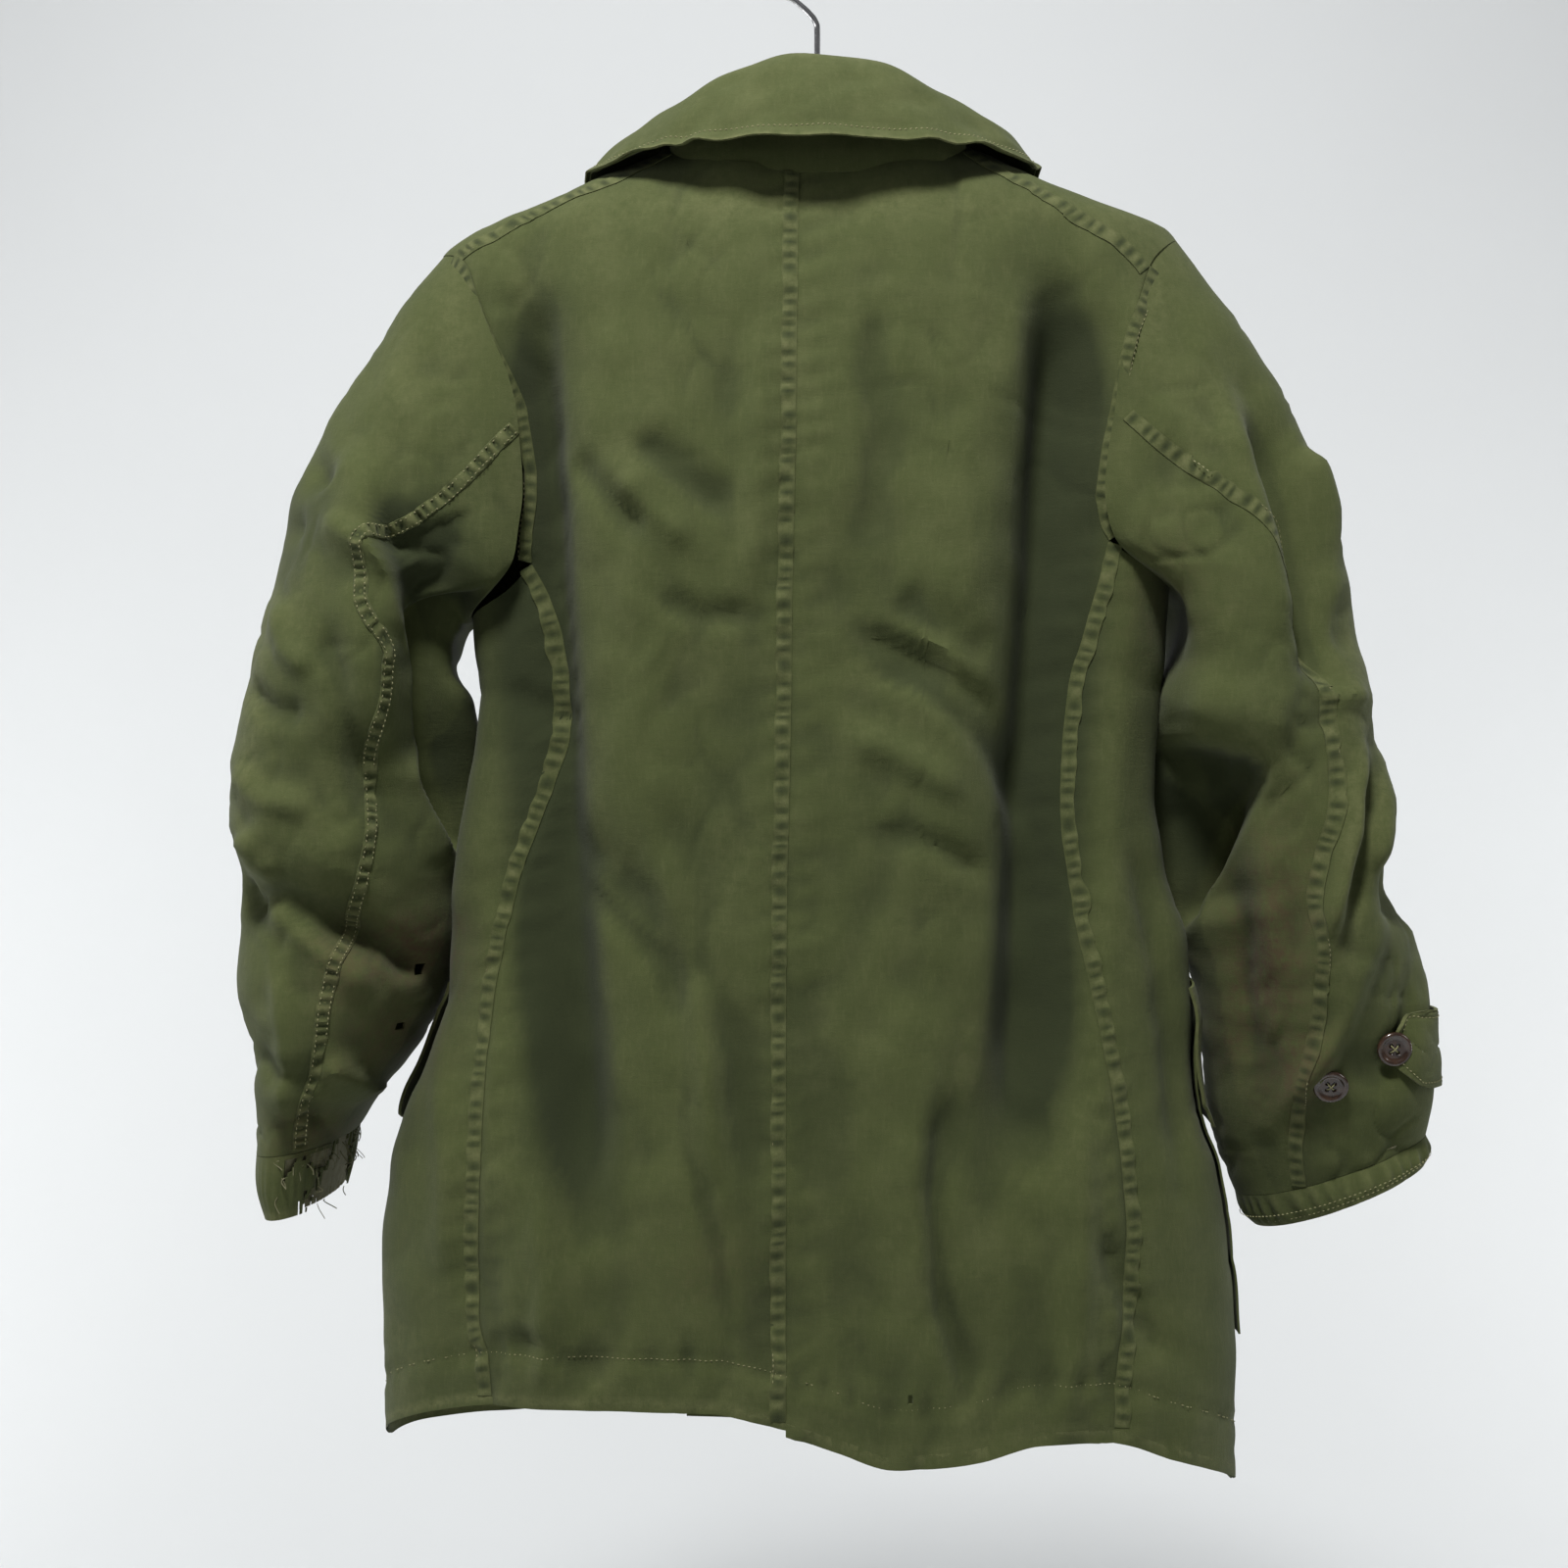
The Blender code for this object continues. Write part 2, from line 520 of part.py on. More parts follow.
class Side:
    """One half of the coat: sign is 1 on the wearer's left and -1 on the right."""

    def __init__(self, sign, armhole, side_seam, shoulder, neck_point, sleeve, cuff, folds):
        self.sign = sign
        self.word = "left" if sign > 0 else "right"
        self.armhole_rows = armhole
        self.side_seam_rows = side_seam
        self.shoulder_rows = shoulder
        self.neck_point = np.radians(neck_point)
        self.sleeve_rows = sleeve
        self.cuff_rows = cuff
        self.folds = folds
        self.top = armhole[0, 0]
        self.bottom = armhole[-1, 0]
        self.turns, self.angles = self.armhole_table()
        self.shoulder_turn = self.turn_at(shoulder[-1, 1] + 19.0)
        self.side_turn = self.turn_at(side_seam[0, 0])
        self.front_turn = TURN - self.side_turn
        self.back_seam_turn = np.radians(sleeve[0, 6])
        self.front_seam_turn = TURN + np.radians(sleeve[0, 7])

    def turn_at(self, drop):
        return np.arccos(1.0 - 2.0 * (drop - self.top) / (self.bottom - self.top))

    def armhole_table(self):
        rows = self.armhole_rows
        turns = self.turn_at(rows[:, 0])
        back = np.abs(body_angle(rows[:, 1] * self.sign, rows[:, 0]))
        front = np.abs(body_angle(rows[:, 2] * self.sign, rows[:, 0], front=True))
        back[[0, -1]] = np.pi / 2
        front[[0, -1]] = np.pi / 2
        turn = np.concatenate((turns, TURN - turns[-2::-1]))
        return turn, np.concatenate((back, front[-2::-1]))

    def armhole_domain(self, turn):
        """Ring angle and drop of the armhole at a turn measured from its top, over the back first."""
        turn = np.mod(np.asarray(turn, float), TURN)
        angle = smooth(turn, self.turns, self.angles) * self.sign
        drop = (self.top + self.bottom) / 2 - np.cos(turn) * (self.bottom - self.top) / 2
        return np.stack((angle, drop), axis=-1)

    def armhole(self, turn):
        domain = self.armhole_domain(turn)
        return body(domain[..., 0], domain[..., 1])

    def armhole_turns(self):
        """The shared armhole points: from the front seam over the top, round the back and under."""
        upper = np.concatenate((
            between(self.front_seam_turn - TURN, self.shoulder_turn, UPPER_FRONT_COLUMNS),
            between(self.shoulder_turn, self.back_seam_turn, UPPER_BACK_COLUMNS)[1:],
        ))
        under = np.concatenate((
            between(self.back_seam_turn, self.side_turn, UNDER_BACK_COLUMNS),
            between(self.side_turn, self.front_turn, UNDER_BOTTOM_COLUMNS)[1:],
            between(self.front_turn, self.front_seam_turn, UNDER_FRONT_COLUMNS)[1:],
        ))
        return upper, under

    def side_seam_domain(self):
        rows = self.side_seam_rows
        drops = between(rows[0, 0], rows[-1, 0], SIDE_ROWS)
        x = smooth(drops, rows[:, 0], rows[:, 1])
        domain = np.stack((body_angle(x, drops), drops), axis=-1)
        domain[0] = self.armhole_domain(self.side_turn)
        domain[-1, 1] = hem_drop(domain[-1, 0])
        return domain

    def neck_domain(self, start, end, count):
        angle = between(start, end, count)
        return np.stack((angle, neck_drop(angle)), axis=-1)

    def shoulder_domain(self):
        start = self.neck_domain(self.neck_point, self.neck_point, 1)[0]
        end = self.armhole_domain(self.shoulder_turn)
        rows = self.shoulder_rows
        middle = np.stack((body_angle(rows[:, 0], rows[:, 1]), rows[:, 1]), axis=-1)
        path = np.concatenate((start[None], middle, end[None]))
        return smooth(between(0.0, 1.0, SHOULDER_COLUMNS), shares(path), path)

    # Section of the sleeve without folds, at a row position and a turn round it.
    def section(self, position, turn):
        rows = self.sleeve_rows
        row = smooth(position, np.arange(len(rows), dtype=float), rows)
        turn = np.asarray(turn, float)
        centre = np.stack(((row[..., 0] + row[..., 2]) / 2, row[..., 4], -(row[..., 1] + row[..., 3]) / 2), axis=-1)
        tilt = SLEEVE_TILT * ramp(np.broadcast_to(position, row.shape[:-1]), 5.0, 9.0)
        lateral = np.stack(((row[..., 0] - row[..., 2]) / 2, tilt, -(row[..., 1] - row[..., 3]) / 2), axis=-1)
        depth = np.stack((0 * row[..., 5], row[..., 5], 0 * row[..., 5]), axis=-1)
        across = np.cos(turn)[..., None]
        back = np.sin(turn)[..., None]
        points = centre + lateral * across + depth * back
        half = np.linalg.norm(lateral, axis=-1, keepdims=True)
        outward = unit(lateral / half**2 * across + depth / row[..., 5:6] ** 2 * back)
        return points, outward, row[..., 8]

    def sleeve(self, position, turn):
        """Folded sleeve point; position counts the rows of the table and turn goes round the section."""
        position, turn = np.broadcast_arrays(np.asarray(position, float), np.asarray(turn, float))
        points, outward, share = self.section(position, turn)
        start, _, _ = self.section(np.zeros_like(position), turn)
        points = points + share[..., None] * (self.armhole(turn) - start)
        facing = np.sin(turn)
        back = fold_height(points[..., 0], -points[..., 2], self.folds)
        front = fold_height(points[..., 0] * self.sign, -points[..., 2], SLEEVE_FRONT_FOLDS)
        height = np.where(facing > 0, back, front) * ramp(np.abs(facing), 0.05, 0.5) * ramp(position, 0.0, 2.0)
        return points + outward * height[..., None]

    def sleeve_normal(self, position, turn):
        position, turn = np.broadcast_arrays(np.asarray(position, float), np.asarray(turn, float))
        last = len(self.sleeve_rows) - 1.0
        low = np.clip(position, 0.02, last - 0.02)
        made = normals_of(self.sleeve, low, turn, 0.02, 0.01)
        _, outward, _ = self.section(low, turn)
        return made * np.where((made * outward).sum(-1) < 0, -1.0, 1.0)[..., None]

    def seam_normal(self, turn):
        """Normals shared at the armhole: the mean of body and sleeve where they face alike."""
        domain = self.armhole_domain(turn)
        of_body = body_normal(domain[..., 0], domain[..., 1])
        of_sleeve = self.sleeve_normal(np.full(np.shape(turn), 0.4), turn)
        alike = (of_body * of_sleeve).sum(-1, keepdims=True)
        weight = ramp(alike, -0.1, 0.5)
        return unit(of_body + of_sleeve * weight), unit(of_sleeve + of_body * weight)


def neck_drop(angle):
    return smooth(angle, np.radians(NECK[:, 0]), NECK[:, 1])


def hem_drop(angle):
    return smooth(angle, np.radians(HEM[:, 0]), HEM[:, 1])


LEFT = Side(1.0, ARMHOLE_LEFT, SIDE_SEAM_LEFT, SHOULDER_LEFT, NECK_POINT_LEFT, SLEEVE_LEFT, CUFF_LEFT, SLEEVE_FOLDS_LEFT)
RIGHT = Side(
    -1.0, ARMHOLE_RIGHT, SIDE_SEAM_RIGHT, SHOULDER_RIGHT, NECK_POINT_RIGHT, SLEEVE_RIGHT, CUFF_RIGHT, SLEEVE_FOLDS_RIGHT
)
NECK_MIDDLE = float(body_angle(11.0, 156.0))
NECK_FRONT_END = np.radians(152.0)
LAP_ANGLE = np.radians(198.0)
CREST_END = np.radians(102.0)


def back_patch(side):
    """Domain grid of a back panel and the turns of its armhole points."""
    upper, under = side.armhole_turns()
    turns = np.concatenate((upper[UPPER_FRONT_COLUMNS:], under[1:UNDER_BACK_COLUMNS + 1]))
    right = levels(np.concatenate((side.armhole_domain(turns), side.side_seam_domain()[1:])))
    neck = side.neck_domain(NECK_MIDDLE, side.neck_point, NECK_COLUMNS)
    top = levels(np.concatenate((neck, side.shoulder_domain()[1:])))
    low = (right[:, 1] - right[0, 1]) / (right[-1, 1] - right[0, 1])
    end = hem_drop(body_angle(CENTRE_SEAM[-1, 1], 915.0))
    drops = top[0, 1] + low * (end - top[0, 1])
    left = np.stack((smooth(drops, CENTRE_SEAM[:, 0], CENTRE_SEAM[:, 1]), drops), axis=-1)
    left[0] = top[0]
    columns_at = shares(top, (1.0, 1.0))
    x = left[-1, 0] + (right[-1, 0] - left[-1, 0]) * columns_at
    bottom = np.stack((x, hem_drop(body_angle(x, 915.0))), axis=-1)
    bottom[-1] = right[-1]
    grid = coons(top, bottom, left, right, low, columns_at)
    domain = np.stack((body_angle(grid[..., 0], grid[..., 1]), grid[..., 1]), axis=-1)
    domain[0] = np.concatenate((neck, side.shoulder_domain()[1:]))
    domain[:len(turns), -1] = side.armhole_domain(turns)
    return domain, turns


def front_patch(side):
    """Domain grid of a front with its side, the cells that exist, and the armhole corner row and column.

    The first rows lie over the shoulder's crest, between the shoulder seam and a line on the front.
    """
    upper, under = side.armhole_turns()
    sign = side.sign
    over = np.concatenate((
        upper[UPPER_FRONT_COLUMNS::-1],
        under[:UNDER_BACK_COLUMNS + UNDER_BOTTOM_COLUMNS - 1:-1][1:] - TURN,
    ))
    edge = side.armhole_domain(over)
    corner = len(over) - 1
    shoulder = side.shoulder_domain()
    crest_neck = side.neck_domain(side.neck_point, CREST_END * sign, CREST_ROWS)
    share = shares(levels(shoulder), (1.0, 1.0))
    plan = [body_ring(sides[:, 0], sides[:, 1])[0][:, :2] for sides in (shoulder, crest_neck, edge[:CREST_ROWS + 1])]
    line = plan[1][-1] + (plan[2][-1] - plan[1][-1]) * share[:, None]
    over_crest = coons(plan[0], line, plan[1], plan[2], between(0.0, 1.0, CREST_ROWS), share)
    crest = crest_domain(over_crest[..., 0], over_crest[..., 1])
    crest[0] = shoulder
    crest[:, 0] = crest_neck
    crest[:, -1] = edge[:CREST_ROWS + 1]
    neck = side.neck_domain(NECK_FRONT_END * sign, CREST_END * sign, NECK_COLUMNS)
    lapel_angle = between(LAP_ANGLE * sign, NECK_FRONT_END * sign, LAPEL_COLUMNS)
    lapel_drop = neck[0, 1] + 20.0 * (1.0 - between(0.0, 1.0, LAPEL_COLUMNS)) ** 0.7
    lapel = np.stack((lapel_angle, lapel_drop), axis=-1)
    top = np.concatenate((lapel, neck[1:], crest[-1, 1:]))
    seam = side.side_seam_domain()
    right = edge[CREST_ROWS:]
    rows_at = shares(right, (220.0, 1.0))
    left_drop = top[0, 1] + rows_at * (seam[0, 1] - top[0, 1])
    left = np.stack((np.full(len(left_drop), LAP_ANGLE * sign), left_drop), axis=-1)
    columns_at = shares(levels(top), (1.0, 0.6))
    low_x = levels(left[-1:])[0, 0] + (levels(right[-1:])[0, 0] - levels(left[-1:])[0, 0]) * columns_at
    low_drop = left[-1, 1] + (right[-1, 1] - left[-1, 1]) * columns_at
    low = np.stack((low_x, low_drop), axis=-1)
    flat = coons(levels(top), low, levels(left), levels(right), rows_at, columns_at)
    above = np.stack((front_angle(flat[..., 0], flat[..., 1], sign), flat[..., 1]), axis=-1)
    above[0] = top
    above[:, -1] = right
    above[:, 0] = left
    bottom = above[-1]
    under_turns = under[UNDER_BACK_COLUMNS:UNDER_BACK_COLUMNS + UNDER_BOTTOM_COLUMNS + 1][::-1]
    low_top = np.concatenate((bottom, side.armhole_domain(under_turns)[1:]))
    lows = (seam[:, 1] - seam[0, 1]) / (seam[-1, 1] - seam[0, 1])
    edge_end = hem_drop(LAP_ANGLE * sign)
    edge_drop = left[-1, 1] + lows * (edge_end - left[-1, 1])
    free = np.stack((np.full(len(lows), LAP_ANGLE * sign), edge_drop), axis=-1)
    across = np.abs(low_top[:, 0] - low_top[0, 0]) / abs(low_top[-1, 0] - low_top[0, 0])
    hem_angle = free[-1, 0] + (seam[-1, 0] - free[-1, 0]) * across
    hem = np.stack((hem_angle, hem_drop(hem_angle)), axis=-1)
    below = coons(low_top, hem, free, seam, lows, across)
    columns = below.shape[1]
    main = above.shape[1]
    first = main - 1 - SHOULDER_COLUMNS
    grid = np.zeros((corner + len(lows), columns, 2))
    grid[:CREST_ROWS, :first] = crest[:-1, :1]
    grid[:CREST_ROWS, first:main] = crest[:-1]
    grid[CREST_ROWS:corner, :main] = above[:-1]
    grid[:corner, main:] = grid[:corner, main - 1:main]
    grid[corner:] = below
    keep = np.ones((len(grid) - 1, columns - 1), bool)
    keep[:corner, main - 1:] = False
    keep[:CREST_ROWS, :first] = False
    return grid, keep, over, under_turns, corner, main


def panel_walls(grid, keep, edge_normals, inset_of=None):
    """Outer and inner points of a body panel, its seam edges pulled back."""
    inset = inset_of(grid) if inset_of else 0.0
    outer = body(grid[..., 0], grid[..., 1], inset)
    normal = body_normal(grid[..., 0], grid[..., 1])
    for rows, columns, values in edge_normals:
        normal[rows, columns] = values
    shift = boundary_shift(outer, keep)
    return outer + shift, outer + shift - normal * CLOTH_WALL, normal


def build_back(side, finish):
    grid, turns = back_patch(side)
    keep = np.ones((grid.shape[0] - 1, grid.shape[1] - 1), bool)
    of_body, _ = side.seam_normal(turns)
    rows = np.arange(len(turns))
    outer, inner, _ = panel_walls(grid, keep, [(rows, np.full(len(rows), grid.shape[1] - 1), of_body)])
    wall("back_" + side.word, outer, inner, finish)


def lap_inset(side):
    """The right front lies under the left one where they lap."""
    def inset(grid):
        points, _ = body_ring(grid[..., 0], grid[..., 1])
        facing_front = np.cos(grid[..., 0]) < 0
        lap = ramp(points[..., 0], -122.0, -94.0) * facing_front
        lap = lap * ramp(grid[..., 1], 196.0, 212.0)
        return lap * FRONT_LAP_INSET if side.sign < 0 else 0.0 * lap
    return inset


def build_front(side, finish):
    grid, keep, over, under_turns, corner, main = front_patch(side)
    of_over, _ = side.seam_normal(over)
    of_under, _ = side.seam_normal(under_turns)
    edges = [
        (np.arange(len(over)), np.full(len(over), main - 1), of_over),
        (np.full(len(under_turns), corner), main - 1 + np.arange(len(under_turns)), of_under),
    ]
    outer, inner, _ = panel_walls(grid, keep, edges, lap_inset(side))
    wall("front_" + side.word, outer, inner, finish, keep)


def sleeve_turns(side, position, start_turns, under):
    """Turns of a sleeve piece's columns at each row position."""
    rows = side.sleeve_rows
    seam = smooth(position, np.arange(len(rows), dtype=float), rows[:, 6:8])
    back = np.radians(seam[:, 0])
    front = np.radians(seam[:, 1])
    share = (start_turns - start_turns[0]) / (start_turns[-1] - start_turns[0])
    first, last = (back, front + TURN) if under else (front, back)
    return first[:, None] + (last - first)[:, None] * share[None]


def build_sleeve(side, finish):
    upper, under = side.armhole_turns()
    last = len(side.sleeve_rows) - 1.0
    position = between(0.0, last, SLEEVE_ROWS)
    for word, start_turns in (("upper", upper), ("under", under)):
        turn = sleeve_turns(side, position, start_turns, word == "under")
        at = np.broadcast_to(position[:, None], turn.shape)
        outer = side.sleeve(at, turn)
        normal = side.sleeve_normal(at, turn)
        _, of_sleeve = side.seam_normal(start_turns)
        normal[0] = of_sleeve
        shift = boundary_shift(outer, np.ones((outer.shape[0] - 1, outer.shape[1] - 1), bool))
        wall(f"sleeve_{word}_{side.word}", outer + shift, outer + shift - normal * CLOTH_WALL, finish)


def build_cuff(side, finish, lining_finish, missing=()):
    """The cuff band below the sleeve and the lining inside it."""
    upper, under = side.armhole_turns()
    last = np.array([len(side.sleeve_rows) - 1.0])
    turn = np.concatenate((
        sleeve_turns(side, last, upper, False)[0],
        sleeve_turns(side, last, under, True)[0][1:-1],
    ))

    end = side.sleeve(np.full(len(turn), last[0]), turn)

    def ring(row, inset, share):
        """Ring of points at one level; share is how much of the sleeve end's own folds it keeps."""
        half = np.array(((row[0] - row[2]) / 2, SLEEVE_TILT, -(row[1] - row[3]) / 2))
        centre = np.array(((row[0] + row[2]) / 2, row[4], -(row[1] + row[3]) / 2))
        plain, _, _ = side.section(last[0], turn)
        size = np.linalg.norm(half)
        across = half * (size - inset) / size
        depth = np.array((0.0, row[5] - inset, 0.0))
        return centre + np.cos(turn)[:, None] * across + np.sin(turn)[:, None] * depth + (end - plain) * share

    rows = side.cuff_rows
    fades = (1.0, 0.6, 0.4)
    outer = np.stack([ring(row, 0.0, share) for row, share in zip(rows, fades)])
    inner = np.stack([ring(row, CLOTH_WALL, share) for row, share in zip(rows, fades)])
    keep = np.ones((len(rows) - 1, len(turn)), bool)
    for r, c in missing:
        keep[r, c] = False
    wall("cuff_" + side.word, outer, inner, finish, keep, loop=True)
    above = np.full(len(turn), last[0] - LINING_RISE)
    raised = side.sleeve(above, turn)
    inwards = side.sleeve_normal(above, turn)
    lining = (rows[0], rows[1], rows[1] + (rows[2] - rows[1]) * 0.7)
    fades = (1.0, 0.6, 0.45)
    depths = (CLOTH_WALL + LINING_GAP, 2 * CLOTH_WALL + LINING_GAP)
    outer, inner = (
        np.stack([raised - inwards * depth] + [ring(row, depth, share) for row, share in zip(lining, fades)])
        for depth in depths
    )
    wall("cuff_lining_" + side.word, outer, inner, lining_finish, loop=True)


def collar_surface():
    """Outer points of the collar at its stations: neck seam, roll and edge, as smooth profiles."""
    halves = []
    for side in (RIGHT, LEFT):
        back = between(NECK_MIDDLE, side.neck_point, NECK_COLUMNS)
        crest = between(side.neck_point, CREST_END * side.sign, CREST_ROWS)[1:]
        front = between(CREST_END * side.sign, NECK_FRONT_END * side.sign, NECK_COLUMNS)[1:]
        halves.append(np.concatenate((back, crest, front)))
    knots = np.concatenate((halves[0][:0:-1], halves[1]))
    seam = body(knots, neck_drop(knots))
    position = between(0.0, len(knots) - 1.0, 2 * (len(knots) - 1))
    low = np.clip(position.astype(int), 0, len(knots) - 2)
    part = (position - low)[:, None]
    base = seam[low] * (1 - part) + seam[low + 1] * part
    angle = knots[low] * (1 - part[:, 0]) + knots[low + 1] * part[:, 0]
    table = smooth(np.degrees(angle), COLLAR[:, 0], COLLAR[:, 1:])
    roll = table[:, :3] * (1, 1, -1)
    edge = table[:, 3:] * (1, 1, -1)
    _, outward = body_ring(angle, neck_drop(angle))
    radial = unit(outward * (1, 1, 0))
    steep = ramp(np.abs(angle), np.radians(98.0), np.radians(112.0))
    base = base - radial * (COLLAR_WALL * (1.0 - steep))[:, None]
    stand = np.linalg.norm(roll - base, axis=1, keepdims=True)
    fall = np.linalg.norm(edge - roll, axis=1, keepdims=True)
    lift = unit(unit(roll - base) + np.array((0.0, 0.0, 0.9)))
    lean = np.linalg.norm(lift[:, :2], axis=1)
    base[:, 2] += 0.55 + 0.4 * steep + (2.0 * COLLAR_WALL + LAYER_GAP) * lean
    lower = unit(edge - roll)
    crest = unit(radial + lower * 0.35)
    share = between(0.0, 1.0, COLLAR_ROWS)
    turn_at = 0.42
    rows = []
    for w in share:
        if w <= turn_at:
            t = w / turn_at
            first, second = base, roll
            leave, arrive = lift * stand * 1.1, crest * np.minimum(stand, 34.0) * 0.95
        else:
            t = (w - turn_at) / (1.0 - turn_at)
            first, second = roll, edge
            leave, arrive = crest * np.minimum(fall, 60.0) * 0.95, lower * fall * 0.9
        rows.append(
            (2 * t**3 - 3 * t**2 + 1) * first + (t**3 - 2 * t**2 + t) * leave
            + (3 * t**2 - 2 * t**3) * second + (t**3 - t**2) * arrive
        )
    return np.stack(rows, axis=1)


def grid_normals(points):
    along = np.gradient(points, axis=0)
    down = np.gradient(points, axis=1)
    return unit(np.cross(down, along))


def build_collar(finish):
    surface = collar_surface()
    normal = grid_normals(surface)
    if normal[len(surface) // 2, -2, 1] < 0:
        normal = -normal
    step = COLLAR_WALL + LAYER_GAP
    wall("collar_upper", surface, surface - normal * COLLAR_WALL, finish)
    under = surface - normal * step
    wall("collar_under", under[:, :-1], under[:, :-1] - normal[:, :-1] * COLLAR_WALL, finish)


def disc(name, centre, axis, finish, radius=BUTTON_DIAMETER / 2, height=BUTTON_HEIGHT, sides=12):
    """A round button with a raised rim and a dished face, its axis pointing outwards."""
    axis = unit(np.asarray(axis, float))
    helper = np.array((0.0, 0.0, 1.0))
    first = unit(np.cross(helper, axis))
    second = np.cross(axis, first)
    profile = ((0.62, 0.0), (0.92, 0.16), (1.0, 0.5), (0.95, 0.86), (0.84, 1.0), (0.72, 0.92), (0.58, 0.62))
    angle = between(0.0, TURN, sides)[:-1]
    spoke = np.cos(angle)[:, None] * first + np.sin(angle)[:, None] * second
    points = [centre + spoke * radius * r + axis * height * h for r, h in profile]
    points = np.concatenate(points + [(centre)[None], (centre + axis * height * 0.56)[None]])
    faces = []
    for ring in range(len(profile) - 1):
        for k in range(sides):
            n = (k + 1) % sides
            faces.append((ring * sides + k, ring * sides + n, (ring + 1) * sides + n, (ring + 1) * sides + k))
    bottom = len(profile) * sides
    for k in range(sides):
        n = (k + 1) % sides
        faces.append((bottom, n, k))
        faces.append((bottom + 1, (len(profile) - 1) * sides + k, (len(profile) - 1) * sides + n))
    new_object(name, points, faces, finish)


def build_front_buttons(finish):
    for number, drop in enumerate(FRONT_BUTTON_DROPS):
        for word, x in (("left", FRONT_BUTTON_X), ("right", -FRONT_BUTTON_X)):
            angle = body_angle(x, drop, front=True)
            centre = body(angle, drop)
            normal = body_normal(angle, drop)
            disc(f"button_front_{word}_{number + 1}", centre + normal * BUTTON_GAP, normal, finish)


def build_pocket(side, finish):
    """Patch and flap on a front, made from the front's own points and moved out."""
    sign = side.sign
    rear = np.radians(71.0 if sign < 0 else 95.0)
    fore = np.radians(141.0)
    rows = 8
    columns = 7
    angle = rear + np.radians(9.0) + (fore - rear - np.radians(9.0)) * between(0.0, 1.0, columns)
    drop = between(POCKET_TOP_DROP + 14.0, POCKET_BOTTOM_DROP, rows)
    grid_angle, grid_drop = np.meshgrid(angle * sign, drop)
    inset = lap_inset(side)(np.stack((grid_angle, grid_drop), axis=-1))
    normal = body_normal(grid_angle, grid_drop)
    patch_inner = body(grid_angle, grid_drop, inset) + normal * POCKET_GAP
    patch_outer = patch_inner + normal * CLOTH_WALL
    wall("pocket_" + side.word, patch_outer, patch_inner, finish)
    share = between(0.0, 1.0, 8)
    low = between(0.0, 1.0, 5)
    corner = 26.0
    drops = POCKET_TOP_DROP + low * FLAP_HEIGHT
    near = np.clip((low * FLAP_HEIGHT - (FLAP_HEIGHT - corner)) / corner, 0.0, 1.0)
    rounding = np.radians(6.5) * (1.0 - np.sqrt(1.0 - near**2))
    slant = np.radians(3.0) * low
    start = rear + rounding + slant
    end = fore - rounding
    flap_angle = start[:, None] + (end - start)[:, None] * share[None]
    flap_drop = np.broadcast_to(drops[:, None], flap_angle.shape)
    flap_drop = flap_drop - FLAP_SLOPE * np.sin((share[None] - 0.1) * 1.2)
    flap_normal = body_normal(flap_angle * sign, flap_drop)
    over_patch = POCKET_GAP + CLOTH_WALL + 1.1 - FLAP_SEAM_GAP
    spread = (FLAP_SEAM_GAP + over_patch * np.minimum(low * 5.0, 1.0) + FLAP_FLARE * low**1.5)[:, None, None]
    base = body(flap_angle * sign, flap_drop, lap_inset(side)(np.stack((flap_angle * sign, flap_drop), axis=-1)))
    flap_inner = base + flap_normal * spread
    flap_outer = flap_inner + flap_normal * CLOTH_WALL
    wall("flap_" + side.word, flap_outer, flap_inner, finish)


def sleeve_at(side, drop_wanted, turn):
    """Row position of the sleeve where it passes a drop at a turn."""
    positions = between(5.0, len(side.sleeve_rows) - 1.0, 400)
    drops = -side.sleeve(positions, np.full(len(positions), turn))[:, 2]
    return float(np.interp(drop_wanted, drops, positions))


def build_right_tab(finish, button_finish):
    """Strap with a round end, round the outer edge of the right cuff, and its two buttons."""
    side = RIGHT
    width = between(0.0, 1.0, 6)
    length = between(0.0, 1.0, 8)
    first = np.radians(58.0)
    last = np.radians(-62.0)
    outer = np.zeros((len(width), len(length), 3))
    inner = np.zeros_like(outer)
    for r, w in enumerate(width):
        bow = np.sqrt(max(1.0 - (2.0 * w - 1.0) ** 2, 0.0))
        start = first - np.radians(24.0) * (1.0 - bow)
        for c, s in enumerate(length):
            turn = start + (last - start) * s
            drop = TAB_TOP_DROP + (TAB_BOTTOM_DROP - TAB_TOP_DROP) * w
            position = sleeve_at(side, drop + 4.0 * np.cos(turn), turn)
            point = side.sleeve(position, turn)
            normal = side.sleeve_normal(position, turn)
            inner[r, c] = point + normal * TAB_GAP
            outer[r, c] = point + normal * (TAB_GAP + TAB_WALL)
    wall("cuff_tab_right", outer, inner, finish)
    for name, x, drop, lift in (("button_tab", -353.0, 693.0, TAB_GAP + TAB_WALL + BUTTON_GAP), ("button_cuff", -314.0, 716.0, BUTTON_GAP)):
        turns = between(np.radians(10.0), np.radians(150.0), 240)
        positions = np.array([sleeve_at(side, drop, turn) for turn in turns])
        points = side.sleeve(positions, turns)
        best = int(np.argmin(np.abs(points[:, 0] - x)))
        normal = side.sleeve_normal(positions[best], turns[best])
        disc(name + "_right", points[best] + normal * lift, normal, button_finish)


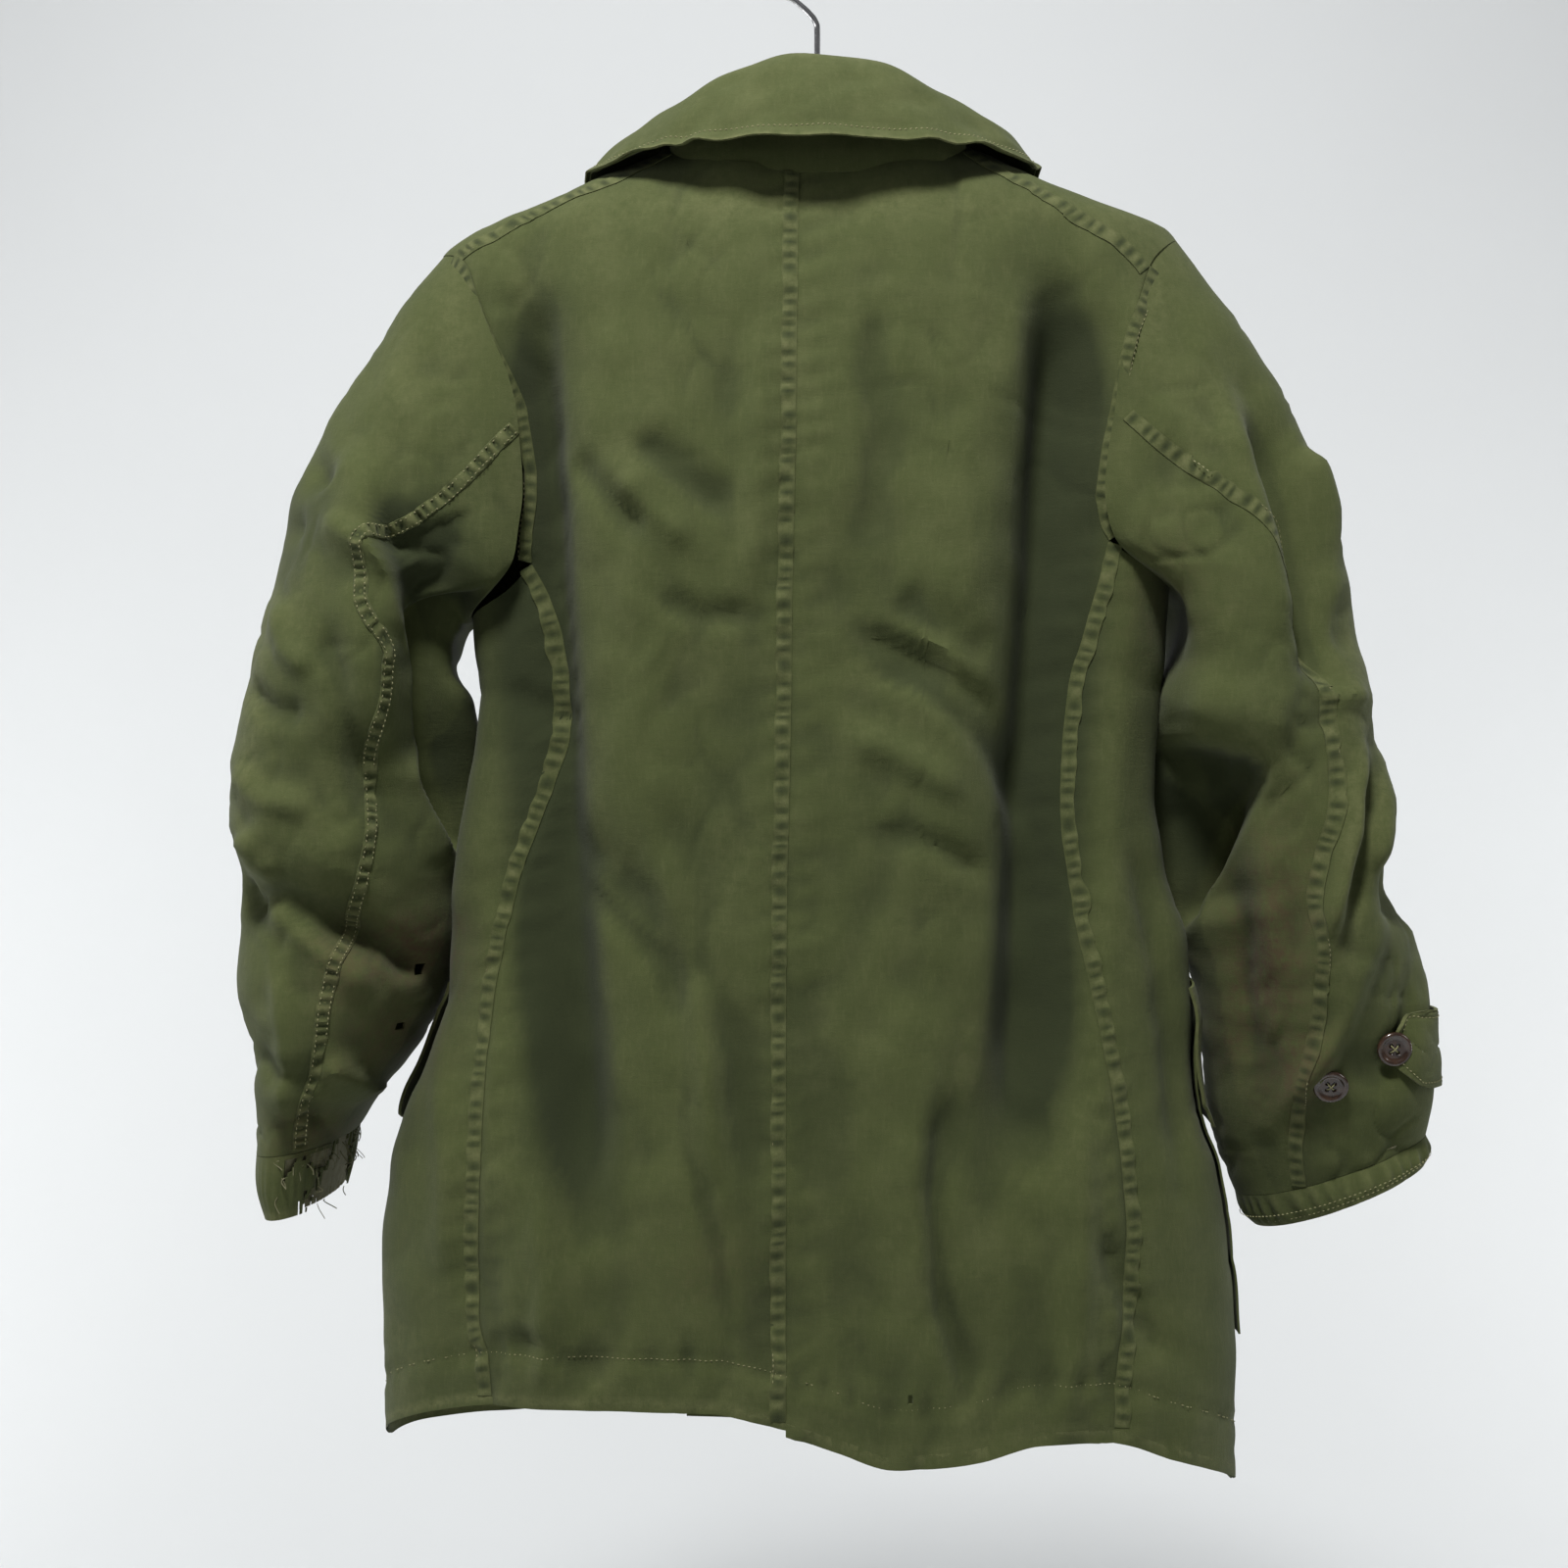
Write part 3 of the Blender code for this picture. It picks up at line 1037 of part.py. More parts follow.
def tube(name, path, radius, finish, sides=10):
    """A round bar along a path lying in the plane y = 0, with flat ends."""
    tangent = unit(np.gradient(path, axis=0))
    across = np.array((0.0, 1.0, 0.0))
    other = np.cross(tangent, across)
    angle = between(0.0, TURN, sides)[:-1]
    rings = path[:, None] + radius * (
        np.cos(angle)[None, :, None] * across + np.sin(angle)[None, :, None] * other[:, None]
    )
    points = np.concatenate((rings.reshape(-1, 3), path[:1], path[-1:]))
    faces = []
    for r in range(len(path) - 1):
        for k in range(sides):
            n = (k + 1) % sides
            faces.append((r * sides + k, r * sides + n, (r + 1) * sides + n, (r + 1) * sides + k))
    start = len(path) * sides
    for k in range(sides):
        n = (k + 1) % sides
        faces.append((start, n, k))
        faces.append((start + 1, (len(path) - 1) * sides + k, (len(path) - 1) * sides + n))
    new_object(name, points, faces, finish)


def build_hanger(chrome, wood):
    """Wire hook whose inside top is the origin, and the plain shoulder bar it is fixed to."""
    radius = WIRE_DIAMETER / 2
    loop = HOOK_INNER_RADIUS + radius
    centre = -HOOK_INNER_RADIUS
    angle = np.radians(np.concatenate((between(-26.0, 90.0, 9), between(90.0, 200.0, 8)[1:])))
    arc = np.stack((loop * np.cos(angle), 0 * angle, centre + loop * np.sin(angle)), axis=-1)
    shaft = np.array((
        (-1.0, 0, -97.6), (-1.0, 0, -70.0), (-1.0, 0, -54.0), (0.5, 0, -49.0), (5.0, 0, -43.5), (12.5, 0, -37.0),
    ))
    tube("hanger_hook", np.concatenate((shaft, arc)), radius, chrome)
    x = between(-1.0, 1.0, 16)
    span = np.where(x > 0, 207.0, 203.0) * x
    left = np.array(((0, 108), (40, 117), (88, 141), (110, 152), (140, 167), (170, 178), (200, 190), (210, 195)), float)
    right = np.array(((0, 108), (40, 117), (88, 141), (110, 151), (140, 166), (170, 175), (200, 185), (210, 190)), float)
    drop = np.where(span > 0, smooth(np.abs(span), left[:, 0], left[:, 1]), smooth(np.abs(span), right[:, 0], right[:, 1]))
    half_height = 13.0 - 4.0 * np.abs(x) ** 3
    half_thick = 7.0 - 1.5 * np.abs(x) ** 3
    section = between(0.0, TURN, 8)[:-1]
    rings = np.zeros((len(x), len(section), 3))
    rings[..., 0] = span[:, None]
    rings[..., 1] = half_thick[:, None] * np.sin(section)
    rings[..., 2] = -drop[:, None] - 3.0 + half_height[:, None] * np.cos(section)
    count = len(section)
    points = np.concatenate((rings.reshape(-1, 3), rings[:1].mean(axis=1), rings[-1:].mean(axis=1)))
    faces = []
    for r in range(len(x) - 1):
        for k in range(count):
            n = (k + 1) % count
            faces.append((r * count + k, r * count + n, (r + 1) * count + n, (r + 1) * count + k))
    start = len(x) * count
    for k in range(count):
        n = (k + 1) % count
        faces.append((start, n, k))
        faces.append((start + 1, (len(x) - 1) * count + k, (len(x) - 1) * count + n))
    new_object("hanger_body", points, faces, wood)


def main():
    clear_scene()
    cloth = material("olive_cotton", OLIVE, 0.92)
    lining = material("cuff_lining_cotton", OLIVE_LINING, 0.95)
    brown = material("button_brown", BROWN, 0.25)
    chrome = material("chrome_wire", CHROME, 0.2, 1.0)
    wood = material("hanger_wood", WOOD, 0.45)
    for side in (LEFT, RIGHT):
        build_back(side, cloth)
        build_front(side, cloth)
        build_sleeve(side, cloth)
        build_pocket(side, cloth)
    build_cuff(LEFT, cloth, lining, missing=((0, 16), (0, 17), (0, 18), (1, 15), (1, 16), (1, 17), (1, 18), (1, 19)))
    build_cuff(RIGHT, cloth, lining)
    build_collar(cloth)
    build_right_tab(cloth, brown)
    build_front_buttons(brown)
    build_hanger(chrome, wood)


main()
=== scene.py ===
"""Looks of an olive drab cotton mackinaw coat on a plain hanger with a wire hook, seen from the back.

The coat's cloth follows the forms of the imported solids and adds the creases, seams, stitches and wear.
"""

import logging
from dataclasses import dataclass, field
from enum import Enum
from typing import Callable, Optional, Sequence

import bpy
import numpy as np
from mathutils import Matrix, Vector


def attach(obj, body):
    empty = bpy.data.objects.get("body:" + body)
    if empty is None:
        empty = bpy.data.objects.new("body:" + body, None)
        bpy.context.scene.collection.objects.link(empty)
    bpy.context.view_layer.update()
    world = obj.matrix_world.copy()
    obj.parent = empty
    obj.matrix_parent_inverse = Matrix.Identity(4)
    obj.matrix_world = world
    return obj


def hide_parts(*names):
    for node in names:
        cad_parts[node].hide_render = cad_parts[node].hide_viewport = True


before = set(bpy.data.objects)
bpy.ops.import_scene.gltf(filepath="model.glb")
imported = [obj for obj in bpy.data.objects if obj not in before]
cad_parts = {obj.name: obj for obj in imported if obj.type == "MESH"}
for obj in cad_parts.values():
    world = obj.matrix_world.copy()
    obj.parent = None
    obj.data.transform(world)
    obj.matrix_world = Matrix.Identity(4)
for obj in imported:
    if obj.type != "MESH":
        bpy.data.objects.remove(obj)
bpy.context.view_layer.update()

MM = 0.001
TURN = 2.0 * np.pi
Array = np.ndarray
Surface = Callable[[Array, Array], Array]
Place = tuple[float, float, float]
LOG = logging.getLogger("coat")


class Slot(Enum):
    """The material slots of the record."""

    CLOTH = "olive_cotton"
    LINING = "cuff_lining_cotton"
    BUTTON = "button_brown"
    WIRE = "chrome_wire"
    BAR = "hanger_wood"


class Layer(Enum):
    """The two pieces of a sleeve."""

    UPPER = "upper"
    UNDER = "under"


# Driving sizes in millimetres. Drop is the distance below the hook's bearing point.
CLOTH_WALL = 1.4
COLLAR_WALL = 1.2
LAYER_GAP = 0.45
LINING_GAP = 1.5
LINING_RISE = 0.3
BUTTON_GAP = 0.5
TAB_GAP = 2.9
TAB_WALL = 1.8
FRONT_LAP_INSET = 3.4
WIRE_DIAMETER = 3.8
HOOK_INNER_RADIUS = 22.0
BUTTON_DIAMETER = 21.5
BUTTON_HEIGHT = 3.6

BODY = np.array((
    (104, 58, 56, 0, 32, 28, 2.00),
    (126, 84, 86, 0, 42, 38, 2.05),
    (152, 137, 141, 0, 48, 48, 2.08),
    (166, 170, 178, 0, 52, 54, 2.12),
    (186, 215, 224, 0, 57, 60, 2.16),
    (203, 236, 234, 0, 61, 65, 2.20),
    (240, 240, 237, 0, 67, 73, 2.30),
    (300, 234, 231, 0, 71, 80, 2.40),
    (360, 224, 222, -1, 73, 84, 2.45),
    (425, 217, 220, -2, 73, 86, 2.48),
    (480, 212, 218, -3, 72, 86, 2.50),
    (532, 219, 214, -4, 73, 86, 2.52),
    (590, 229, 222, -7, 75, 85, 2.55),
    (630, 231, 234, -8, 77, 85, 2.56),
    (670, 235, 237, -10, 79, 86, 2.58),
    (715, 250, 238, -11, 81, 87, 2.60),
    (745, 263, 244, -12, 82, 88, 2.60),
    (775, 270, 254, -12, 84, 89, 2.60),
    (860, 274, 264, -15, 87, 92, 2.60),
    (990, 273, 268, -17, 90, 96, 2.60),
), float)

# Armholes: drop, x on the back, x on the front. The first and last drops are the ridge and the underarm.
ARMHOLE_LEFT = np.array((
    (200, 0, 0),
    (205, 222, 224),
    (213, 214, 213),
    (234, 208, 202),
    (258, 199, 191),
    (282, 190, 184),
    (306, 185, 180),
    (330, 183, 178),
    (353, 182, 178),
    (374, 184, 181),
    (395, 187, 188),
    (411, 198, 200),
    (428, 0, 0),
), float)
ARMHOLE_RIGHT = np.array((
    (190, 0, 0),
    (197, 218, 220),
    (210, 206, 206),
    (234, 197, 195),
    (258, 188, 186),
    (282, 184, 181),
    (306, 181, 178),
    (330, 177, 176),
    (353, 175, 176),
    (369, 177, 178),
    (383, 182, 184),
    (396, 197, 199),
    (410, 0, 0),
), float)

# Side-back seams: drop, x.
SIDE_SEAM_LEFT = np.array((
    (395, 187), (414, 179), (438, 171), (473, 166), (502, 166), (526, 171), (556, 179), (591, 188),
    (626, 194), (662, 198), (709, 201), (768, 204), (827, 206), (857, 205), (880, 199), (912, 196),
), float)
SIDE_SEAM_RIGHT = np.array((
    (383, -182), (414, -175), (443, -168), (473, -161), (502, -158), (532, -156), (562, -156), (591, -159),
    (621, -162), (656, -168), (697, -175), (733, -181), (768, -185), (804, -188), (833, -188), (857, -186),
    (886, -182), (935, -179),
), float)
# Centre-back seam: drop, x.
CENTRE_SEAM = np.array((
    (156, 11), (239, 12), (327, 13), (415, 15), (503, 16), (591, 18), (708, 19), (930, 19),
), float)

# Hem: ring angle in degrees, from the right front round the back to the left front, and its drop.
HEM = np.array((
    (-208, 955), (-180, 961), (-150, 966), (-120, 968), (-96, 970), (-75, 960), (-60, 948), (-48, 935),
    (-38, 922), (-28, 921), (-20, 929), (-10, 933), (-2, 922), (5, 912), (14, 903), (28, 903), (40, 903),
    (52, 911),
    (66, 924), (80, 936), (95, 946), (120, 949), (140, 952), (160, 947), (180, 948), (208, 950),
), float)

# Neck seam: ring angle in degrees, drop, from the right front end round the back to the left front end.
NECK = np.array((
    (-166, 219), (-150, 196), (-128, 160), (-104, 136), (-88, 128), (-72, 130), (-52, 140), (-30, 150),
    (0, 156), (30, 150), (52, 140), (72, 130), (88, 128), (104, 136), (128, 162), (150, 197), (166, 219),
), float)
NECK_POINT_LEFT = 60.0
NECK_POINT_RIGHT = -60.0
# Shoulder seams on the back: x, drop, from the neck point outwards.
SHOULDER_LEFT = np.array(((124, 156), (142, 163), (166, 173), (191, 185)), float)
SHOULDER_RIGHT = np.array(((-119, 155), (-138, 165), (-162, 180), (-186, 195)), float)

# Folds of the body: height in mm (a trough is negative), half width, then x and drop of each point.
BACK_FOLDS = (
    (-15, 19, ((176, 205), (171, 250), (167, 300), (164, 367), (160, 438), (156, 500), (152, 560))),
    (-9, 28, ((150, 520), (143, 610), (137, 690), (126, 790))),
    (8, 30, ((112, 280), (108, 440), (106, 600))),
    (-17, 22, ((-146, 205), (-148, 255), (-141, 308), (-133, 367), (-127, 438), (-124, 520), (-124, 600))),
    (-8, 28, ((-126, 560), (-126, 650), (-124, 790))),
    (8, 28, ((-84, 300), (-82, 440), (-74, 620))),
    (7, 30, ((-52, 640), (-60, 740), (-78, 830), (-90, 925))),
    (-5, 26, ((-106, 640), (-104, 760), (-118, 856), (-140, 930))),
    (6, 32, ((62, 640), (56, 760), (60, 905))),
    (-5, 28, ((20, 620), (10, 720), (-6, 800), (-14, 930))),
    (6, 24, ((176, 640), (172, 760), (170, 905))),
)
FRONT_FOLDS = (
    (-11, 24, ((166, 225), (160, 300), (152, 380), (146, 470))),
    (-11, 24, ((-163, 215), (-157, 300), (-150, 380), (-142, 470))),
    (7, 30, ((110, 260), (104, 420), (110, 600))),
    (7, 30, ((-112, 260), (-104, 420), (-112, 600))),
    (-5, 30, ((40, 620), (52, 760), (60, 930))),
    (-5, 30, ((-46, 600), (-58, 760), (-66, 930))),
)

# Sleeves: outer x, outer drop, inner x, inner drop, mid y, half depth, back seam and front seam in
# degrees round the section, share of the armhole's own shape.
SLEEVE_LEFT = np.array((
    (236, 200, 217, 428, 0, 54, 86, -80, 1.00),
    (262, 231, 221, 432, 0, 58, 86, -80, 0.97),
    (290, 273, 225, 437, 0, 63, 85, -82, 0.88),
    (314, 315, 228, 441, 1, 67, 80, -84, 0.74),
    (329, 350, 230, 446, 2, 69, 72, -86, 0.56),
    (338, 395, 230, 454, 3, 71, 82, -88, 0.36),
    (349, 441, 228, 463, 4, 72, 110, -86, 0.18),
    (357, 478, 218, 482, 0, 73, 108, -84, 0.06),
    (365, 522, 216, 514, -8, 74, 103, -82, 0.0),
    (367, 556, 219, 556, -12, 74, 105, -80, 0.0),
    (360, 592, 224, 592, -14, 73, 100, -80, 0.0),
    (361, 626, 226, 624, -15, 71, 92, -80, 0.0),
    (363, 658, 234, 656, -17, 70, 88, -82, 0.0),
    (354, 700, 255, 698, -18, 68, 87, -84, 0.0),
    (351, 738, 284, 734, -22, 64, 89, -86, 0.0),
    (351, 762, 300, 757, -24, 61, 96, -88, 0.0),
), float)
CUFF_LEFT = np.array((
    (351, 762.4, 300, 757.4, -24, 61), (350, 781, 305, 778, -25, 59), (346, 802, 309, 798, -26, 58),
), float)
SLEEVE_RIGHT = np.array((
    (-229, 190, -215, 410, 0, 54, 93, -80, 1.00),
    (-256, 226, -220, 413, 0, 58, 92, -80, 0.97),
    (-280, 260, -225, 418, 0, 63, 90, -82, 0.88),
    (-303, 301, -228, 423, 1, 67, 84, -84, 0.74),
    (-320, 342, -229, 429, 2, 69, 77, -86, 0.56),
    (-331, 390, -228, 440, 3, 71, 72, -88, 0.36),
    (-338, 436, -224, 456, 4, 72, 68, -86, 0.18),
    (-344, 478, -213, 482, 0, 73, 66, -84, 0.06),
    (-346, 522, -208, 520, -8, 74, 66, -82, 0.0),
    (-357, 562, -216, 560, -12, 74, 78, -80, 0.0),
    (-358, 594, -226, 598, -13, 72, 88, -80, 0.0),
    (-378, 630, -240, 640, -14, 69, 96, -80, 0.0),
    (-385, 668, -249, 682, -13, 64, 104, -82, 0.0),
    (-388, 712, -253, 730, -16, 56, 112, -84, 0.0),
    (-386, 740, -262, 768, -18, 48, 118, -86, 0.0),
    (-384, 752, -274, 798, -19, 42, 122, -88, 0.0),
), float)
CUFF_RIGHT = np.array((
    (-384, 752.4, -274, 798.4, -19, 42), (-385, 762, -280, 809, -19, 42), (-384, 769, -286, 818, -19, 42),
), float)

# How far the inner edge of a hanging sleeve lies in front of its middle.
SLEEVE_TILT = 18.0

SLEEVE_FOLDS_LEFT = (
    (9, 22, ((300, 330), (262, 372), (215, 385))),
    (-14, 24, ((236, 425), (234, 470), (236, 530))),
    (7, 20, ((276, 400), (268, 450), (268, 520))),
    (-9, 20, ((360, 594), (326, 606), (296, 618), (262, 636))),
    (8, 22, ((346, 556), (310, 568), (270, 580))),
    (6, 22, ((330, 660), (320, 700), (316, 740))),
)
SLEEVE_FOLDS_RIGHT = (
    (-16, 30, ((-232, 530), (-238, 575), (-248, 620))),
    (9, 20, ((-222, 486), (-252, 490), (-290, 496))),
    (-8, 22, ((-268, 300), (-284, 360), (-296, 430), (-300, 480))),
    (8, 22, ((-330, 500), (-326, 560), (-316, 620), (-304, 690))),
    (-7, 18, ((-364, 615), (-350, 670), (-334, 725))),
)
SLEEVE_FRONT_FOLDS = (
    (-8, 22, ((255, 425), (285, 440), (320, 450))),
    (8, 22, ((250, 480), (285, 485), (330, 490))),
    (-8, 22, ((255, 545), (285, 552), (330, 548))),
    (7, 22, ((268, 600), (300, 606), (340, 600))),
)

# Collar stations from the right front to the left front: neck seam angle, roll x, y, drop, edge x, y, drop.
COLLAR = np.array((
    (-152, -48, -88, 196, -84, -112, 262),
    (-134, -78, -73, 169, -117, -102, 223),
    (-112, -98, -47, 136, -139, -77, 181),
    (-101, -102, -26, 122, -142, -44, 161),
    (-90, -102, -4, 113, -142, 2, 144),
    (-66, -97, 16, 113, -130, 26, 146),
    (-46, -76, 26, 104, -104, 50, 144),
    (-22, -40, 38, 90, -52, 72, 147),
    (0, 4, 42, 85, 8, 78, 147),
    (22, 42, 38, 91, 60, 70, 147),
    (46, 74, 28, 105, 100, 54, 146),
    (66, 93, 16, 114, 131, 30, 151),
    (90, 101, -2, 116, 146, 4, 148),
    (101, 101, -24, 123, 147, -40, 165),
    (112, 98, -47, 139, 144, -75, 185),
    (134, 78, -73, 171, 119, -102, 227),
    (152, 48, -88, 197, 86, -112, 264),
), float)

# Hanger bar: distance from its middle, drop.
BAR_LEFT = np.array((
    (0, 108), (40, 117), (88, 141), (110, 152), (140, 167), (170, 178), (200, 190), (210, 195),
), float)
BAR_RIGHT = np.array((
    (0, 108), (40, 117), (88, 141), (110, 151), (140, 166), (170, 175), (200, 185), (210, 190),
), float)

# Column and row counts of the walls.
DETAIL = 6
UPPER_FRONT_COLUMNS = 8 * DETAIL
UPPER_BACK_COLUMNS = 6 * DETAIL
UNDER_BACK_COLUMNS = 4 * DETAIL
UNDER_BOTTOM_COLUMNS = 6 * DETAIL
UNDER_FRONT_COLUMNS = 4 * DETAIL
SIDE_ROWS = 18 * DETAIL
NECK_COLUMNS = 4 * DETAIL
SHOULDER_COLUMNS = 6 * DETAIL
CREST_ROWS = 3 * DETAIL
LAPEL_COLUMNS = 3 * DETAIL
SLEEVE_ROWS = 24 * DETAIL
COLLAR_ROWS = 6 * DETAIL

# Right cuff tab, pockets and buttons.
TAB_TOP_DROP = 668.0
TAB_BOTTOM_DROP = 716.0
POCKET_TOP_DROP = 658.0
POCKET_BOTTOM_DROP = 880.0
FLAP_HEIGHT = 92.0
FLAP_SLOPE = 12.0
FLAP_FLARE = 2.5
FLAP_SEAM_GAP = 1.1
POCKET_GAP = 1.9
FRONT_BUTTON_DROPS = (330.0, 450.0, 570.0)
FRONT_BUTTON_X = 42.0

# Soft steps of the sleeves: depth in mm of the lower side, fade-in width, fade-out reach, then x and drop
# of the points of the edge; the lower side lies on the right hand of travel in the picture of the back.
SLEEVE_STEPS_LEFT = (
    (26, 9, 75, (
        (278, 340), (274, 356), (268, 386), (258, 406), (250, 435), (248, 468), (249, 501), (244, 532),
        (234, 557), (223, 589), (214, 620),
    )),
)
SLEEVE_STEPS_RIGHT = (
    (24, 12, 95, (
        (-228, 665), (-238, 632), (-247, 607), (-256, 583), (-267, 548), (-274, 531), (-274, 519),
        (-262, 511), (-240, 506), (-212, 500), (-196, 498),
    )),
)
BACK_STEPS = (
    (23, 30, 84, ((112, 830), (118, 700), (127, 600), (137, 500), (145, 400), (150, 300), (154, 205))),
    (27, 28, 82, ((-116, 200), (-121, 300), (-117, 400), (-110, 480), (-104, 560), (-99, 660), (-94, 780))),
    (7, 12, 40, ((-20, 470), (-56, 482), (-96, 520), (-118, 560))),
    (6, 12, 36, ((-36, 430), (-64, 448), (-98, 470))),
    (6, 12, 36, ((120, 330), (96, 352), (70, 372), (50, 380))),
    (5, 10, 36, ((160, 570), (128, 600), (98, 626), (78, 668))),
    (6, 16, 60, ((74, 640), (66, 720), (56, 800), (52, 900))),
    (5, 14, 60, ((-60, 700), (-56, 780), (-62, 850), (-84, 920))),
)

# Small creases and ridges, in the same form as the folds.
BACK_CREASES = (
    (3.0, 9, ((196, 250), (190, 300), (188, 350), (189, 400))),
    (2.6, 8, ((-196, 245), (-186, 300), (-182, 350), (-186, 380))),
    (-2.4, 8, ((150, 330), (134, 350), (112, 372), (96, 380))),
    (2.2, 9, ((118, 345), (96, 372), (72, 388))),
    (-2.2, 8, ((96, 420), (70, 432), (38, 430))),
    (-2.4, 8, ((-20, 440), (-52, 452), (-84, 470), (-112, 492))),
    (2.2, 9, ((-14, 500), (-50, 516), (-90, 540))),
    (-2.0, 8, ((-30, 560), (-66, 566), (-108, 590))),
    (-2.4, 9, ((150, 590), (120, 612), (92, 640), (74, 676))),
    (2.6, 10, ((100, 560), (82, 620), (66, 700), (58, 780))),
    (-2.4, 9, ((70, 760), (58, 820), (52, 880))),
    (2.4, 9, ((180, 700), (166, 760), (160, 830), (166, 900))),
    (-2.6, 9, ((-84, 700), (-70, 770), (-72, 830), (-96, 910))),
    (2.4, 10, ((-150, 700), (-160, 770), (-158, 850), (-150, 920))),
    (-2.2, 8, ((-170, 800), (-186, 840), (-206, 872), (-222, 880))),
    (-1.8, 6, ((186, 872), (174, 866), (160, 870))),
    (-1.8, 6, ((150, 878), (140, 884), (128, 882))),
    (2.0, 9, ((36, 250), (34, 330), (40, 420))),
    (-2.0, 9, ((-34, 230), (-36, 320), (-30, 400))),
    (1.8, 12, ((30, 660), (24, 740), (30, 820))),
    (-1.8, 8, ((200, 470), (182, 486), (160, 492))),
    (2.6, 9, ((232, 700), (224, 760), (226, 840))),
    (-3.0, 9, ((-196, 560), (-208, 620), (-220, 690), (-226, 780))),
)
SLEEVE_CREASES_LEFT = (
    (3.6, 9, ((300, 372), (278, 386), (258, 398), (236, 402))),
    (-4.5, 10, ((330, 300), (316, 330), (296, 350))),
    (3.6, 8, ((300, 700), (288, 716), (280, 736))),
    (-3.6, 7, ((356, 590), (346, 604), (334, 610))),
    (3.4, 8, ((350, 560), (338, 580), (322, 590))),
    (-4.2, 9, ((306, 612), (286, 622), (262, 634), (240, 654))),
    (3.4, 9, ((340, 600), (312, 622), (290, 640), (270, 664))),
    (-3.0, 8, ((350, 470), (330, 486), (306, 492))),
    (3.0, 9, ((356, 520), (334, 540), (300, 548))),
    (-2.6, 8, ((346, 690), (330, 706), (306, 712))),
    (2.8, 8, ((330, 420), (318, 450), (300, 468))),
    (-3.0, 9, ((300, 430), (284, 470), (276, 520), (262, 560))),
    (-2.8, 8, ((345, 360), (330, 372), (312, 374))),
    (2.6, 8, ((326, 640), (318, 690), (322, 740))),
    (-2.4, 7, ((300, 690), (312, 720), (306, 748))),
)
SLEEVE_CREASES_RIGHT = (
    (4.0, 8, ((-328, 500), (-322, 560), (-308, 612), (-300, 640))),
    (3.6, 8, ((-344, 500), (-344, 548), (-334, 590))),
    (3.6, 8, ((-352, 596), (-338, 640), (-318, 684), (-300, 716), (-284, 744))),
    (-4.0, 8, ((-336, 510), (-330, 560), (-318, 620))),
    (-3.4, 8, ((-356, 560), (-352, 600), (-340, 640), (-318, 690))),
    (-8.5, 13, ((-268, 290), (-282, 340), (-296, 400), (-304, 450), (-304, 490))),
    (4.0, 10, ((-250, 300), (-262, 350), (-276, 410), (-284, 450))),
    (4.5, 9, ((-300, 320), (-314, 370), (-324, 430))),
    (-3.0, 8, ((-316, 380), (-324, 420), (-326, 460))),
    (2.8, 8, ((-270, 560), (-276, 610), (-286, 660))),
    (-2.8, 8, ((-262, 600), (-264, 660), (-272, 712))),
    (3.0, 7, ((-290, 470), (-312, 478), (-334, 480))),
    (-2.8, 8, ((-370, 640), (-362, 680), (-346, 716))),
)

# Felled seams that drag the cloth beside them: x and drop of each point.
BODY_SEAMS = {
    "centre": CENTRE_SEAM[:, ::-1],
    "left": SIDE_SEAM_LEFT[:, ::-1],
    "right": SIDE_SEAM_RIGHT[:, ::-1],
}

# Stains: x, drop, half width, half height, strength.
STAINS = (
    (250, 636, 30, 26, 1.0), (262, 692, 26, 22, 0.7), (284, 640, 18, 34, 0.5), (-276, 640, 20, 66, 0.95),
    (-292, 706, 22, 30, 0.8), (-262, 690, 14, 26, 0.7), (60, 820, 30, 22, 0.22), (-110, 700, 24, 30, 0.18),
    (-210, 420, 22, 40, 0.25), (312, 748, 20, 16, 0.6),
)

# Worn places: x, drop, half width, half height.
WORN_PLACES = (
    (222, 250, 12, 40), (-205, 240, 12, 36), (345, 480, 16, 90), (-340, 480, 16, 90), (-320, 560, 9, 80),
    (0, 180, 160, 12), (180, 330, 9, 60), (-168, 330, 9, 60), (300, 640, 14, 60),
)
# Small holes in the left sleeve: x, drop, radius.
HOLES = ((250.0, 648.0, 2.6), (261.0, 683.0, 2.2))

# Turn in degrees of the middle of the left cuff's tear.
CUFF_TEAR_TURN = 158.0

# How much the stated crease heights are raised, and how much painted shade plain folds take.
BODY_CREASE_SHARE = 2.6
SLEEVE_CREASE_SHARE = 2.4
FOLD_PAINTED_SHADE = 0.45


def distances(path: Array) -> Array:
    """Distance along a path at each of its points."""
    return np.concatenate(([0.0], np.cumsum(np.linalg.norm(np.diff(path, axis=0), axis=1))))


def smooth(at: Array, knots: Array, values: Array) -> Array:
    """Values interpolated along the knots by cubic pieces that don't overshoot.

    Args:
        at: where the values are wanted.
        knots: rising places of the known values.
        values: the known values, one or a row of them for each knot.

    Returns:
        The values at those places.
    """
    at = np.clip(np.asarray(at, float), knots[0], knots[-1])
    step = np.diff(knots)
    slope = np.diff(values, axis=0) / (step if values.ndim == 1 else step[:, None])
    tangent = np.empty_like(values)
    tangent[0] = slope[0]
    tangent[-1] = slope[-1]
    before = slope[:-1]
    after = slope[1:]
    product = before * after
    tangent[1:-1] = np.where(product > 0, 2.0 * product / np.where(product > 0, before + after, 1.0), 0.0)
    index = np.clip(np.searchsorted(knots, at, side="right") - 1, 0, len(step) - 1)
    width = step[index]
    t = (at - knots[index]) / width
    if values.ndim > 1:
        t = t[..., None]
        width = width[..., None]
    near = (2 * t**3 - 3 * t**2 + 1) * values[index] + (t**3 - 2 * t**2 + t) * width * tangent[index]
    far = (3 * t**2 - 2 * t**3) * values[index + 1] + (t**3 - t**2) * width * tangent[index + 1]
    return near + far


